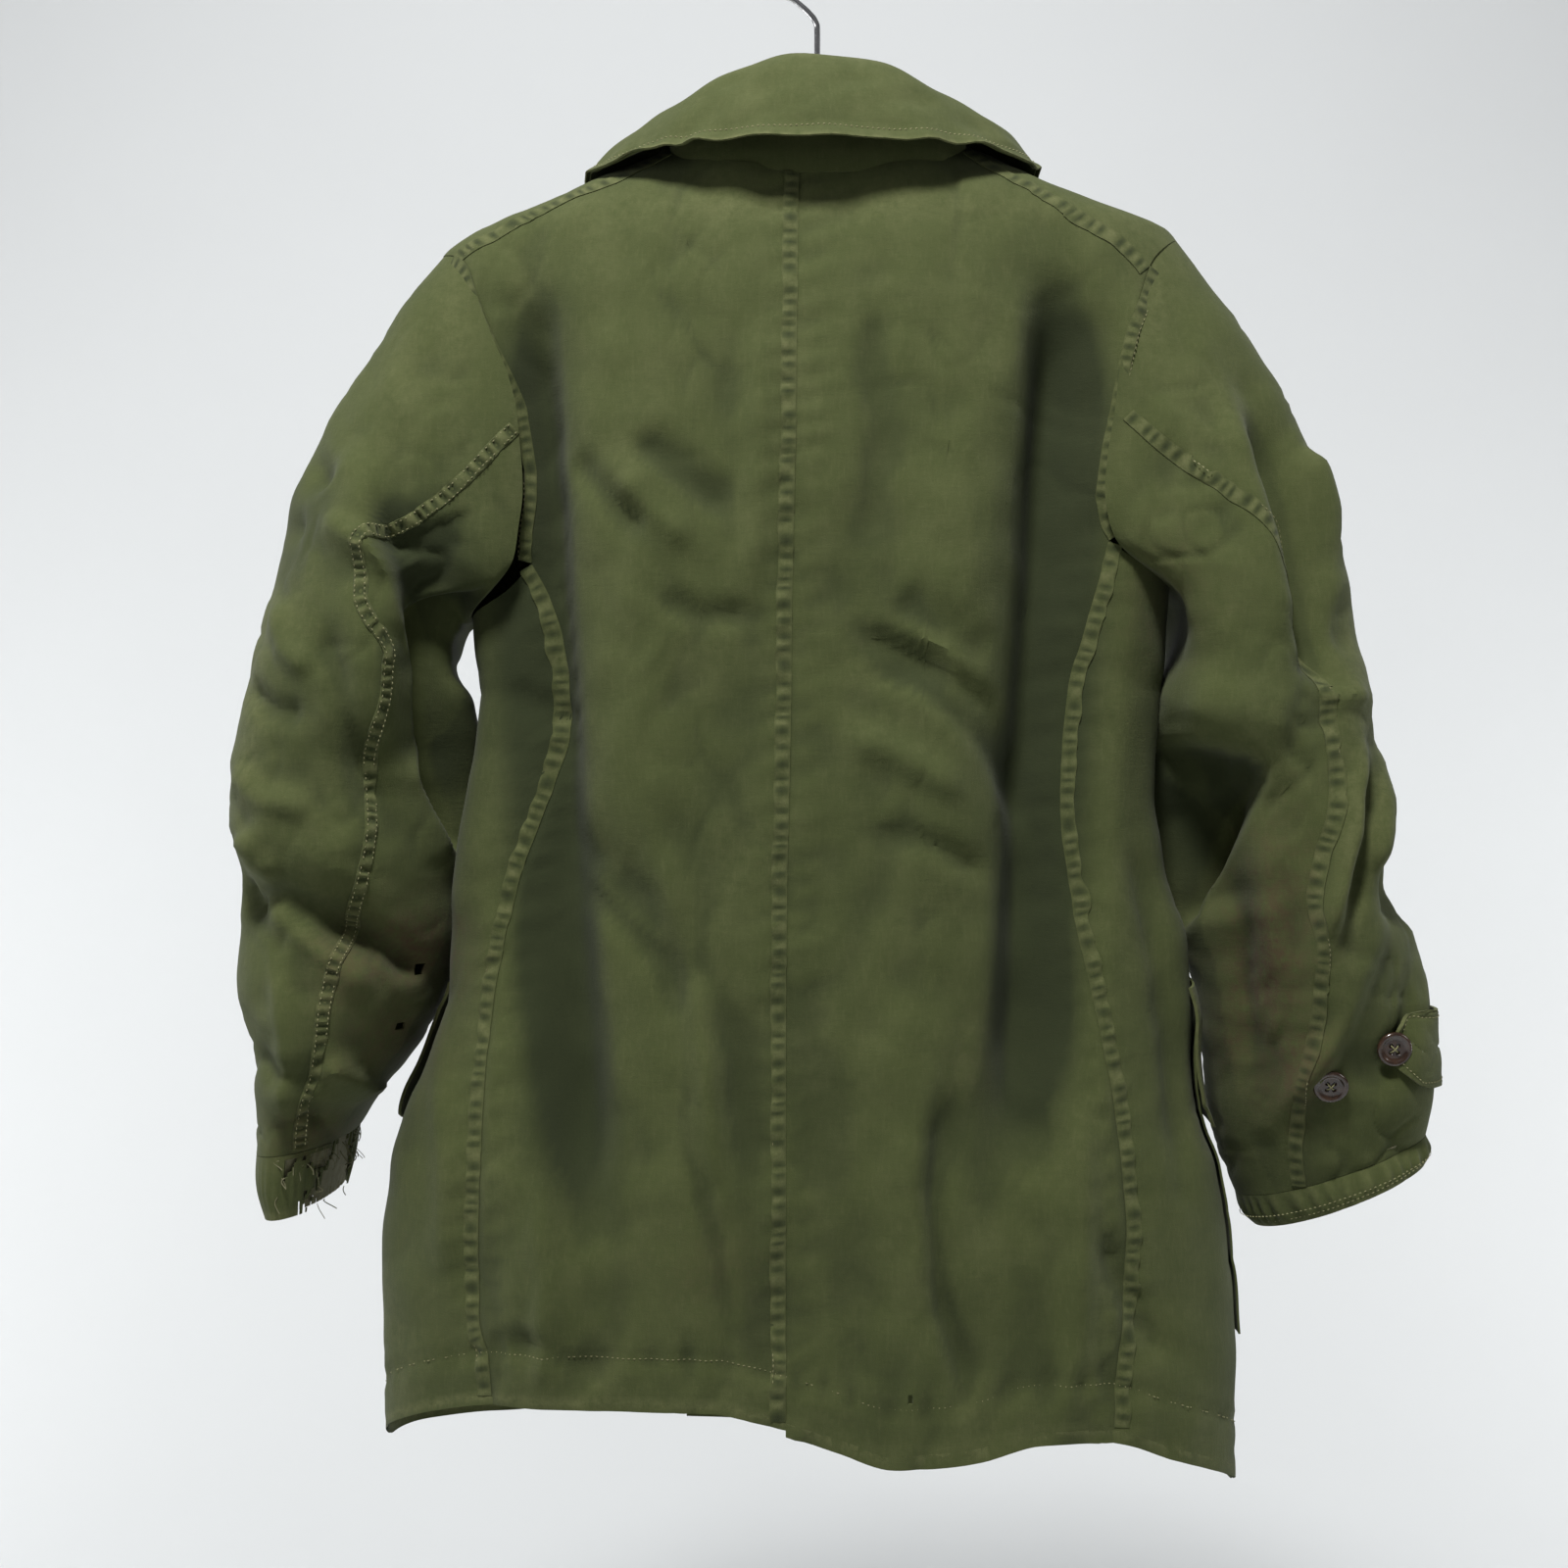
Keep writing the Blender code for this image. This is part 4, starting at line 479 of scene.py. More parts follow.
def ramp(value: Array, low: float, high: float) -> Array:
    """Soft step from 0 at low to 1 at high."""
    t = np.clip((value - low) / (high - low), 0.0, 1.0)
    return t * t * (3.0 - 2.0 * t)


def unit(vectors: Array) -> Array:
    """Vectors of length 1 in the same directions."""
    return vectors / np.maximum(np.linalg.norm(vectors, axis=-1, keepdims=True), 1e-9)


def beside(x: Array, drop: Array, path: Array) -> tuple[Array, Array, Array, Array]:
    """Place of points beside a path of x and drop.

    Args:
        x: sideways place of the points.
        drop: their drop.
        path: rows of x and drop along the path.

    Returns:
        Distance from the path, its sign (positive towards smaller x when the path runs down), share of
        the path's length, and length along it.
    """
    starts = distances(path)
    nearest = np.full(np.broadcast(x, drop).shape, 1e9)
    sign = np.zeros(nearest.shape)
    along = np.zeros(nearest.shape)
    lengths = np.linalg.norm(np.diff(path, axis=0), axis=1)
    for start, end, begin, length in zip(path[:-1], path[1:], starts, lengths):
        direction = (end - start) / length
        ahead = np.clip((x - start[0]) * direction[0] + (drop - start[1]) * direction[1], 0.0, length)
        gap = np.hypot(x - start[0] - ahead * direction[0], drop - start[1] - ahead * direction[1])
        side = (x - start[0]) * -direction[1] + (drop - start[1]) * direction[0]
        closer = gap < nearest
        nearest = np.where(closer, gap, nearest)
        sign = np.where(closer, np.sign(side), sign)
        along = np.where(closer, begin + ahead, along)
    return nearest, sign, along / starts[-1], along


def fold_height(x: Array, drop: Array, folds: Sequence) -> Array:
    """Sum of the folds at points given by x and drop; each fades out at both ends.

    Args:
        x: sideways place of the points in millimetres.
        drop: their distance below the hook's bearing point.
        folds: rows of height, half width and points of x and drop.

    Returns:
        Heights in millimetres.
    """
    total = np.zeros(np.broadcast(x, drop).shape)
    for height, half_width, points in folds:
        gap, _, share, _ = beside(x, drop, np.array(points, float))
        fade = ramp(share, 0.0, 0.22) * ramp(1.0 - share, 0.0, 0.22)
        total += height * np.exp(-((gap / half_width) ** 2)) * (0.25 + 0.75 * fade)
    return total


def body_ring(angle: Array, drop: Array) -> tuple[Array, Array]:
    """Unfolded body point and outward direction at a ring angle (0 at centre back, positive to the left).

    Args:
        angle: ring angle in radians.
        drop: their distance below the hook's bearing point.

    Returns:
        Points and outward directions.
    """
    angle, drop = np.broadcast_arrays(np.asarray(angle, float), np.asarray(drop, float))
    row = smooth(drop, BODY[:, 0], BODY[:, 1:])
    side = np.sin(angle)
    facing = np.cos(angle)
    width = np.where(side > 0, row[..., 0], row[..., 1])
    depth = np.where(facing > 0, row[..., 3], row[..., 4])
    power = row[..., 5]
    reach = (np.abs(side) ** power + np.abs(facing) ** power) ** (-1.0 / power)
    x = width * side * reach
    y = row[..., 2] + depth * facing * reach
    across = np.sign(side) * np.abs(side * reach) ** (power - 1.0) / width
    towards = np.sign(facing) * np.abs(facing * reach) ** (power - 1.0) / depth
    outward = unit(np.stack((across, towards, np.zeros_like(x)), axis=-1))
    return np.stack((x, y, -drop), axis=-1), outward


def body_angle(x: Array, drop: Array, front: bool = False) -> Array:
    """Ring angle of the body point with this x and drop on the back or the front.

    Args:
        x: sideways place of the points in millimetres.
        drop: their distance below the hook's bearing point.
        front: whether the point lies on the front.

    Returns:
        Ring angles in radians.
    """
    row = smooth(np.asarray(drop, float), BODY[:, 0], BODY[:, 1:])
    width = np.where(np.asarray(x) > 0, row[..., 0], row[..., 1])
    share = np.clip(np.abs(x) / width, 0.0, 0.999999)
    facing = (1.0 - share ** row[..., 5]) ** (1.0 / row[..., 5])
    angle = np.arctan2(share, -facing if front else facing)
    return angle * np.sign(x)


def front_angle(x: Array, drop: Array, sign: float) -> Array:
    """Ring angle of a point on the front of the half with this sign; it runs on past the centre."""
    angle = np.abs(body_angle(x, drop, front=True))
    return np.where(np.asarray(x) * sign > 0, angle, TURN - angle) * sign


def levels(domain: Array) -> Array:
    """Domain points of ring angle and drop as points of x and drop."""
    points, _ = body_ring(domain[..., 0], domain[..., 1])
    return np.stack((points[..., 0], domain[..., 1]), axis=-1)


def crest_domain(x: Array, y: Array) -> Array:
    """Ring angle and drop of the points over the shoulders that lie at x and y.

    Args:
        x: sideways place of the points in millimetres.
        y: their place from front to back.

    Returns:
        Ring angle and drop of each point.
    """
    low = np.full(x.shape, 100.0)
    high = np.full(x.shape, 262.0)
    for _ in range(40):
        middle = (low + high) / 2
        row = smooth(middle, BODY[:, 0], BODY[:, 1:])
        width = np.where(x > 0, row[..., 0], row[..., 1])
        depth = np.where(y > 0, row[..., 3], row[..., 4])
        outside = np.abs(x / width) ** row[..., 5] + np.abs(y / depth) ** row[..., 5] > 1.0
        low = np.where(outside, middle, low)
        high = np.where(outside, high, middle)
    angle = np.arctan2(np.abs(x) / width, y / depth) * np.sign(x)
    return np.stack((angle, middle), axis=-1)


def body(angle: Array, drop: Array) -> Array:
    """Points of the body with its larger folds.

    Args:
        angle: ring angle of the points, 0 at centre back.
        drop: their distance below the hook's bearing point.

    Returns:
        Points in millimetres.
    """
    points, outward = body_ring(angle, drop)
    x = points[..., 0]
    level = -points[..., 2]
    facing = np.cos(np.broadcast_to(angle, x.shape))
    height = np.where(facing > 0, fold_height(x, level, BACK_FOLDS), fold_height(x, level, FRONT_FOLDS))
    height = height * ramp(np.abs(facing), 0.10, 0.45)
    return points + outward * height[..., None]


def normals_of(
    surface: Surface, first: Array, second: Array, first_step: float, second_step: float
) -> Array:
    """Outward normals of a surface of two variables, by central differences."""
    along = surface(first + first_step, second) - surface(first - first_step, second)
    down = surface(first, second + second_step) - surface(first, second - second_step)
    return unit(np.cross(down, along))


def between(start: float, end: float, count: int) -> Array:
    """Evenly spaced values from start to end in this many steps."""
    return np.linspace(start, end, count + 1)


def coons(top: Array, bottom: Array, left: Array, right: Array, rows_at: Array, columns_at: Array) -> Array:
    """Domain grid of a four-sided patch whose sides are lists of ring angle and drop.

    Args:
        top: its upper side.
        bottom: its lower side.
        left: its first column.
        right: its last column.
        rows_at: share of the height at each row.
        columns_at: share of the width at each column.

    Returns:
        Grid of domain points.
    """
    v = rows_at[:, None, None]
    u = columns_at[None, :, None]
    sides = (1 - v) * top[None] + v * bottom[None] + (1 - u) * left[:, None] + u * right[:, None]
    corners = (1 - v) * ((1 - u) * top[0] + u * top[-1]) + v * ((1 - u) * bottom[0] + u * bottom[-1])
    return sides - corners


def shares(path: Array, weight: tuple[float, float] = (150.0, 1.0)) -> Array:
    """Distances along a domain path as shares of its length."""
    lengths = np.linalg.norm(np.diff(path, axis=0) * np.array(weight), axis=1)
    return np.concatenate(([0.0], np.cumsum(lengths))) / lengths.sum()


@dataclass
class Side:
    """One half of the coat: sign is 1 on the wearer's left and -1 on the right."""

    sign: float
    armhole_rows: Array
    side_seam_rows: Array
    shoulder_rows: Array
    neck_degrees: float
    sleeve_rows: Array
    cuff_rows: Array
    folds: Sequence

    def __post_init__(self) -> None:
        """Works out the turns that the pieces share."""
        self.word = "left" if self.sign > 0 else "right"
        self.neck_point = np.radians(self.neck_degrees)
        self.top = self.armhole_rows[0, 0]
        self.bottom = self.armhole_rows[-1, 0]
        self.turns, self.angles = self.armhole_table()
        self.shoulder_turn = self.turn_at(self.shoulder_rows[-1, 1] + 19.0)
        self.side_turn = self.turn_at(self.side_seam_rows[0, 0])
        self.front_turn = TURN - self.side_turn
        self.back_seam_turn = np.radians(self.sleeve_rows[0, 6])
        self.front_seam_turn = TURN + np.radians(self.sleeve_rows[0, 7])

    def turn_at(self, drop: Array) -> Array:
        """Turn at which the armhole passes a drop on the back."""
        return np.arccos(1.0 - 2.0 * (drop - self.top) / (self.bottom - self.top))

    def armhole_table(self) -> tuple[Array, Array]:
        """Turns round the armhole and the ring angles there, without their sign."""
        rows = self.armhole_rows
        turns = self.turn_at(rows[:, 0])
        back = np.abs(body_angle(rows[:, 1] * self.sign, rows[:, 0]))
        front = np.abs(body_angle(rows[:, 2] * self.sign, rows[:, 0], front=True))
        back[[0, -1]] = np.pi / 2
        front[[0, -1]] = np.pi / 2
        turn = np.concatenate((turns, TURN - turns[-2::-1]))
        return turn, np.concatenate((back, front[-2::-1]))

    def armhole_domain(self, turn: Array) -> Array:
        """Ring angle and drop of the armhole at a turn measured from its top, over the back first.

        Args:
            turn: turns in radians.

        Returns:
            Ring angle and drop of each turn.
        """
        turn = np.mod(np.asarray(turn, float), TURN)
        angle = smooth(turn, self.turns, self.angles) * self.sign
        drop = (self.top + self.bottom) / 2 - np.cos(turn) * (self.bottom - self.top) / 2
        return np.stack((angle, drop), axis=-1)

    def armhole(self, turn: Array) -> Array:
        """Points of the armhole on the folded body."""
        domain = self.armhole_domain(turn)
        return body(domain[..., 0], domain[..., 1])

    def armhole_turns(self) -> tuple[Array, Array]:
        """The shared armhole points: from the front seam over the top, round the back and under."""
        upper = np.concatenate((
            between(self.front_seam_turn - TURN, self.shoulder_turn, UPPER_FRONT_COLUMNS),
            between(self.shoulder_turn, self.back_seam_turn, UPPER_BACK_COLUMNS)[1:],
        ))
        under = np.concatenate((
            between(self.back_seam_turn, self.side_turn, UNDER_BACK_COLUMNS),
            between(self.side_turn, self.front_turn, UNDER_BOTTOM_COLUMNS)[1:],
            between(self.front_turn, self.front_seam_turn, UNDER_FRONT_COLUMNS)[1:],
        ))
        return upper, under

    def side_seam_domain(self) -> Array:
        """Ring angle and drop down the side-back seam, from the armhole to the hem."""
        rows = self.side_seam_rows
        drops = between(rows[0, 0], rows[-1, 0], SIDE_ROWS)
        x = smooth(drops, rows[:, 0], rows[:, 1])
        domain = np.stack((body_angle(x, drops), drops), axis=-1)
        domain[0] = self.armhole_domain(self.side_turn)
        domain[-1, 1] = hem_drop(domain[-1, 0])
        return domain

    def neck_domain(self, start: float, end: float, count: int) -> Array:
        """Ring angle and drop of the neck seam between two ring angles."""
        angle = between(start, end, count)
        return np.stack((angle, neck_drop(angle)), axis=-1)

    def shoulder_domain(self) -> Array:
        """Ring angle and drop along the shoulder seam, from the neck to the armhole."""
        start = self.neck_domain(self.neck_point, self.neck_point, 1)[0]
        end = self.armhole_domain(self.shoulder_turn)
        rows = self.shoulder_rows
        middle = np.stack((body_angle(rows[:, 0], rows[:, 1]), rows[:, 1]), axis=-1)
        path = np.concatenate((start[None], middle, end[None]))
        return smooth(between(0.0, 1.0, SHOULDER_COLUMNS), shares(path), path)

    def section(self, position: Array, turn: Array) -> tuple[Array, Array, Array]:
        """Section of the sleeve without folds.

        Args:
            position: row of the sleeve's table, whole or between two rows.
            turn: turn round the section, from its outer edge over the back.

        Returns:
            Points, outward directions and the share of the armhole's own shape.
        """
        rows = self.sleeve_rows
        row = smooth(position, np.arange(len(rows), dtype=float), rows)
        turn = np.asarray(turn, float)
        outer, outer_drop, inner, inner_drop = (row[..., k] for k in range(4))
        centre = np.stack(((outer + inner) / 2, row[..., 4], -(outer_drop + inner_drop) / 2), axis=-1)
        tilt = SLEEVE_TILT * ramp(np.broadcast_to(position, row.shape[:-1]), 5.0, 9.0)
        lateral = np.stack(((outer - inner) / 2, tilt, -(outer_drop - inner_drop) / 2), axis=-1)
        depth = np.stack((0 * row[..., 5], row[..., 5], 0 * row[..., 5]), axis=-1)
        across = np.cos(turn)[..., None]
        back = np.sin(turn)[..., None]
        points = centre + lateral * across + depth * back
        half = np.linalg.norm(lateral, axis=-1, keepdims=True)
        outward = unit(lateral / half**2 * across + depth / row[..., 5:6] ** 2 * back)
        return points, outward, row[..., 8]

    def sleeve(self, position: Array, turn: Array) -> Array:
        """Folded sleeve point; position counts the rows of the table and turn goes round the section.

        Args:
            position: row of the table, whole or between two rows.
            turn: turn round the section in radians.

        Returns:
            Points in millimetres.
        """
        position, turn = np.broadcast_arrays(np.asarray(position, float), np.asarray(turn, float))
        points, outward, share = self.section(position, turn)
        start, _, _ = self.section(np.zeros_like(position), turn)
        points = points + share[..., None] * (self.armhole(turn) - start)
        facing = np.sin(turn)
        back = fold_height(points[..., 0], -points[..., 2], self.folds)
        front = fold_height(points[..., 0] * self.sign, -points[..., 2], SLEEVE_FRONT_FOLDS)
        height = np.where(facing > 0, back, front) * ramp(np.abs(facing), 0.05, 0.5)
        height = height * ramp(position, 0.0, 2.0)
        return points + outward * height[..., None]

    def sleeve_normal(self, position: Array, turn: Array) -> Array:
        """Outward normals of the folded sleeve.

        Args:
            position: row of the table.
            turn: turn round the section.

        Returns:
            Vectors of length 1.
        """
        position, turn = np.broadcast_arrays(np.asarray(position, float), np.asarray(turn, float))
        last = len(self.sleeve_rows) - 1.0
        low = np.clip(position, 0.02, last - 0.02)
        made = normals_of(self.sleeve, low, turn, 0.02, 0.01)
        _, outward, _ = self.section(low, turn)
        return made * np.where((made * outward).sum(-1) < 0, -1.0, 1.0)[..., None]


def neck_drop(angle: Array) -> Array:
    """Drop of the neck seam at a ring angle."""
    return smooth(angle, np.radians(NECK[:, 0]), NECK[:, 1])


def hem_drop(angle: Array) -> Array:
    """Drop of the hem at a ring angle."""
    return smooth(angle, np.radians(HEM[:, 0]), HEM[:, 1])


LEFT = Side(
    1.0, ARMHOLE_LEFT, SIDE_SEAM_LEFT, SHOULDER_LEFT, NECK_POINT_LEFT,
    SLEEVE_LEFT, CUFF_LEFT, SLEEVE_FOLDS_LEFT,
)
RIGHT = Side(
    -1.0, ARMHOLE_RIGHT, SIDE_SEAM_RIGHT, SHOULDER_RIGHT, NECK_POINT_RIGHT,
    SLEEVE_RIGHT, CUFF_RIGHT, SLEEVE_FOLDS_RIGHT,
)
NECK_MIDDLE = float(body_angle(11.0, 156.0))
NECK_FRONT_END = np.radians(152.0)
LAP_ANGLE = np.radians(198.0)
CREST_END = np.radians(102.0)


def back_patch(side: Side) -> Array:
    """Domain grid of a back panel.

    Args:
        side: the half of the coat.

    Returns:
        Ring angle and drop of each point.
    """
    upper, under = side.armhole_turns()
    turns = np.concatenate((upper[UPPER_FRONT_COLUMNS:], under[1:UNDER_BACK_COLUMNS + 1]))
    right = levels(np.concatenate((side.armhole_domain(turns), side.side_seam_domain()[1:])))
    neck = side.neck_domain(NECK_MIDDLE, side.neck_point, NECK_COLUMNS)
    top = levels(np.concatenate((neck, side.shoulder_domain()[1:])))
    low = (right[:, 1] - right[0, 1]) / (right[-1, 1] - right[0, 1])
    end = hem_drop(body_angle(CENTRE_SEAM[-1, 1], 915.0))
    drops = top[0, 1] + low * (end - top[0, 1])
    left = np.stack((smooth(drops, CENTRE_SEAM[:, 0], CENTRE_SEAM[:, 1]), drops), axis=-1)
    left[0] = top[0]
    columns_at = shares(top, (1.0, 1.0))
    x = left[-1, 0] + (right[-1, 0] - left[-1, 0]) * columns_at
    bottom = np.stack((x, hem_drop(body_angle(x, 915.0))), axis=-1)
    bottom[-1] = right[-1]
    grid = coons(top, bottom, left, right, low, columns_at)
    domain = np.stack((body_angle(grid[..., 0], grid[..., 1]), grid[..., 1]), axis=-1)
    domain[0] = np.concatenate((neck, side.shoulder_domain()[1:]))
    domain[:len(turns), -1] = side.armhole_domain(turns)
    return domain


def front_patch(side: Side) -> tuple[Array, Array]:
    """Domain grid of a front with its side, and the cells that exist.

    The first rows lie over the shoulder's crest, between the shoulder seam and a line on the front.
    """
    upper, under = side.armhole_turns()
    sign = side.sign
    over = np.concatenate((
        upper[UPPER_FRONT_COLUMNS::-1],
        under[:UNDER_BACK_COLUMNS + UNDER_BOTTOM_COLUMNS - 1:-1][1:] - TURN,
    ))
    edge = side.armhole_domain(over)
    corner = len(over) - 1
    shoulder = side.shoulder_domain()
    crest_neck = side.neck_domain(side.neck_point, CREST_END * sign, CREST_ROWS)
    share = shares(levels(shoulder), (1.0, 1.0))
    three = (shoulder, crest_neck, edge[:CREST_ROWS + 1])
    plan = [body_ring(line[:, 0], line[:, 1])[0][:, :2] for line in three]
    line = plan[1][-1] + (plan[2][-1] - plan[1][-1]) * share[:, None]
    over_crest = coons(plan[0], line, plan[1], plan[2], between(0.0, 1.0, CREST_ROWS), share)
    crest = crest_domain(over_crest[..., 0], over_crest[..., 1])
    crest[0] = shoulder
    crest[:, 0] = crest_neck
    crest[:, -1] = edge[:CREST_ROWS + 1]
    neck = side.neck_domain(NECK_FRONT_END * sign, CREST_END * sign, NECK_COLUMNS)
    lapel_angle = between(LAP_ANGLE * sign, NECK_FRONT_END * sign, LAPEL_COLUMNS)
    lapel_drop = neck[0, 1] + 20.0 * (1.0 - between(0.0, 1.0, LAPEL_COLUMNS)) ** 0.7
    lapel = np.stack((lapel_angle, lapel_drop), axis=-1)
    top = np.concatenate((lapel, neck[1:], crest[-1, 1:]))
    seam = side.side_seam_domain()
    right = edge[CREST_ROWS:]
    rows_at = shares(right, (220.0, 1.0))
    left_drop = top[0, 1] + rows_at * (seam[0, 1] - top[0, 1])
    left = np.stack((np.full(len(left_drop), LAP_ANGLE * sign), left_drop), axis=-1)
    columns_at = shares(levels(top), (1.0, 0.6))
    low_x = levels(left[-1:])[0, 0] + (levels(right[-1:])[0, 0] - levels(left[-1:])[0, 0]) * columns_at
    low_drop = left[-1, 1] + (right[-1, 1] - left[-1, 1]) * columns_at
    low = np.stack((low_x, low_drop), axis=-1)
    flat = coons(levels(top), low, levels(left), levels(right), rows_at, columns_at)
    above = np.stack((front_angle(flat[..., 0], flat[..., 1], sign), flat[..., 1]), axis=-1)
    above[0] = top
    above[:, -1] = right
    above[:, 0] = left
    bottom = above[-1]
    under_turns = under[UNDER_BACK_COLUMNS:UNDER_BACK_COLUMNS + UNDER_BOTTOM_COLUMNS + 1][::-1]
    low_top = np.concatenate((bottom, side.armhole_domain(under_turns)[1:]))
    lows = (seam[:, 1] - seam[0, 1]) / (seam[-1, 1] - seam[0, 1])
    edge_end = hem_drop(LAP_ANGLE * sign)
    edge_drop = left[-1, 1] + lows * (edge_end - left[-1, 1])
    free = np.stack((np.full(len(lows), LAP_ANGLE * sign), edge_drop), axis=-1)
    across = np.abs(low_top[:, 0] - low_top[0, 0]) / abs(low_top[-1, 0] - low_top[0, 0])
    hem_angle = free[-1, 0] + (seam[-1, 0] - free[-1, 0]) * across
    hem = np.stack((hem_angle, hem_drop(hem_angle)), axis=-1)
    below = coons(low_top, hem, free, seam, lows, across)
    columns = below.shape[1]
    main = above.shape[1]
    first = main - 1 - SHOULDER_COLUMNS
    grid = np.zeros((corner + len(lows), columns, 2))
    grid[:CREST_ROWS, :first] = crest[:-1, :1]
    grid[:CREST_ROWS, first:main] = crest[:-1]
    grid[CREST_ROWS:corner, :main] = above[:-1]
    grid[:corner, main:] = grid[:corner, main - 1:main]
    grid[corner:] = below
    keep = np.ones((len(grid) - 1, columns - 1), bool)
    keep[:corner, main - 1:] = False
    keep[:CREST_ROWS, :first] = False
    return grid, keep


def lap_inset(side: Side, grid: Array) -> Array:
    """How far the right front lies under the left one where they lap.

    Args:
        side: the half of the coat.
        grid: ring angle and drop of the points.

    Returns:
        Depths in millimetres.
    """
    points, _ = body_ring(grid[..., 0], grid[..., 1])
    lap = ramp(points[..., 0], -122.0, -94.0) * (np.cos(grid[..., 0]) < 0)
    lap = lap * ramp(grid[..., 1], 196.0, 212.0)
    return lap * (FRONT_LAP_INSET if side.sign < 0 else 0.0)


def sleeve_turns(side: Side, position: Array, start_turns: Array, layer: Layer) -> Array:
    """Turns of a sleeve piece's columns at each row position.

    Args:
        side: the half of the coat.
        position: row positions in the sleeve's table.
        start_turns: turns of the columns at the armhole.
        layer: which of the two pieces.

    Returns:
        Grid of turns.
    """
    rows = side.sleeve_rows
    seam = smooth(position, np.arange(len(rows), dtype=float), rows[:, 6:8])
    back = np.radians(seam[:, 0])
    front = np.radians(seam[:, 1])
    share = (start_turns - start_turns[0]) / (start_turns[-1] - start_turns[0])
    first, last = (back, front + TURN) if layer is Layer.UNDER else (front, back)
    return first[:, None] + (last - first)[:, None] * share[None]


def collar_surface() -> Array:
    """Outer points of the collar at its stations: neck seam, roll and edge, as smooth profiles."""
    halves = []
    for side in (RIGHT, LEFT):
        back = between(NECK_MIDDLE, side.neck_point, NECK_COLUMNS)
        crest = between(side.neck_point, CREST_END * side.sign, CREST_ROWS)[1:]
        front = between(CREST_END * side.sign, NECK_FRONT_END * side.sign, NECK_COLUMNS)[1:]
        halves.append(np.concatenate((back, crest, front)))
    knots = np.concatenate((halves[0][:0:-1], halves[1]))
    seam = body(knots, neck_drop(knots))
    position = between(0.0, len(knots) - 1.0, len(knots) - 1)
    low = np.clip(position.astype(int), 0, len(knots) - 2)
    part = (position - low)[:, None]
    base = seam[low] * (1 - part) + seam[low + 1] * part
    angle = knots[low] * (1 - part[:, 0]) + knots[low + 1] * part[:, 0]
    table = smooth(np.degrees(angle), COLLAR[:, 0], COLLAR[:, 1:])
    roll = table[:, :3] * (1, 1, -1)
    edge = table[:, 3:] * (1, 1, -1)
    _, outward = body_ring(angle, neck_drop(angle))
    radial = unit(outward * (1, 1, 0))
    steep = ramp(np.abs(angle), np.radians(98.0), np.radians(112.0))
    base = base - radial * (COLLAR_WALL * (1.0 - steep))[:, None]
    stand = np.linalg.norm(roll - base, axis=1, keepdims=True)
    fall = np.linalg.norm(edge - roll, axis=1, keepdims=True)
    lift = unit(unit(roll - base) + np.array((0.0, 0.0, 0.9)))
    lean = np.linalg.norm(lift[:, :2], axis=1)
    base[:, 2] += 0.55 + 0.4 * steep + (2.0 * COLLAR_WALL + LAYER_GAP) * lean
    lower = unit(edge - roll)
    crest = unit(radial + lower * 0.35)
    share = between(0.0, 1.0, COLLAR_ROWS)
    turn_at = 0.42
    rows = []
    for w in share:
        if w <= turn_at:
            t = w / turn_at
            first, second = base, roll
            leave, arrive = lift * stand * 1.1, crest * np.minimum(stand, 34.0) * 0.95
        else:
            t = (w - turn_at) / (1.0 - turn_at)
            first, second = roll, edge
            leave, arrive = crest * np.minimum(fall, 60.0) * 0.95, lower * fall * 0.9
        rows.append(
            (2 * t**3 - 3 * t**2 + 1) * first + (t**3 - 2 * t**2 + t) * leave
            + (3 * t**2 - 2 * t**3) * second + (t**3 - t**2) * arrive
        )
    return np.stack(rows, axis=1)


def step_height(x: Array, drop: Array, steps: Sequence) -> Array:
    """Depth of the soft steps at points given by x and drop.

    Args:
        x: sideways place of the points in millimetres.
        drop: their distance below the hook's bearing point.
        steps: rows of depth, fade-in width, fade-out reach and edge points.

    Returns:
        Heights in millimetres, none above zero.
    """
    total = np.zeros(np.broadcast(x, drop).shape)
    for depth, width, reach, points in steps:
        gap, sign, share, _ = beside(x, drop, np.array(points, float))
        signed = gap * sign
        inside = ramp(signed, 0.0, width) * (1.0 - ramp(signed, width, reach))
        total -= depth * inside * ramp(share, 0.0, 0.2) * ramp(1.0 - share, 0.0, 0.2)
    return total


def unevenness(x: Array, drop: Array, seed: int, length: float, stretch: float = 1.8) -> Array:
    """Smooth random waves, stretched along the hanging direction.

    Args:
        x: sideways place of the points.
        drop: their drop.
        seed: number that picks the waves.
        length: usual wave length in millimetres.
        stretch: how much longer the waves are downwards.

    Returns:
        Values of about -1 to 1.
    """
    dice = np.random.default_rng(seed)
    total = np.zeros(np.broadcast(x, drop).shape)
    for _ in range(9):
        turn = dice.uniform(0.0, TURN)
        wave = TURN / (length * dice.uniform(0.6, 1.7))
        bend = dice.uniform(0.0, TURN)
        across = x * np.cos(turn) + drop * np.sin(turn) / stretch
        sway = 0.8 * np.sin((x * np.sin(turn) - drop * np.cos(turn) / stretch) * wave * 0.45 + bend)
        total += np.sin(across * wave + sway + dice.uniform(0.0, TURN)) * dice.uniform(0.5, 1.0)
    return total / 4.0


@dataclass(frozen=True)
class Waves:
    """Smooth random waves: their seed, length in millimetres, stretch downwards and height."""

    seed: int
    length: float
    stretch: float
    height: float

    def at(self, x: Array, drop: Array) -> Array:
        """Their heights at points given by x and drop."""
        return self.height * unevenness(x, drop, self.seed, self.length, self.stretch)


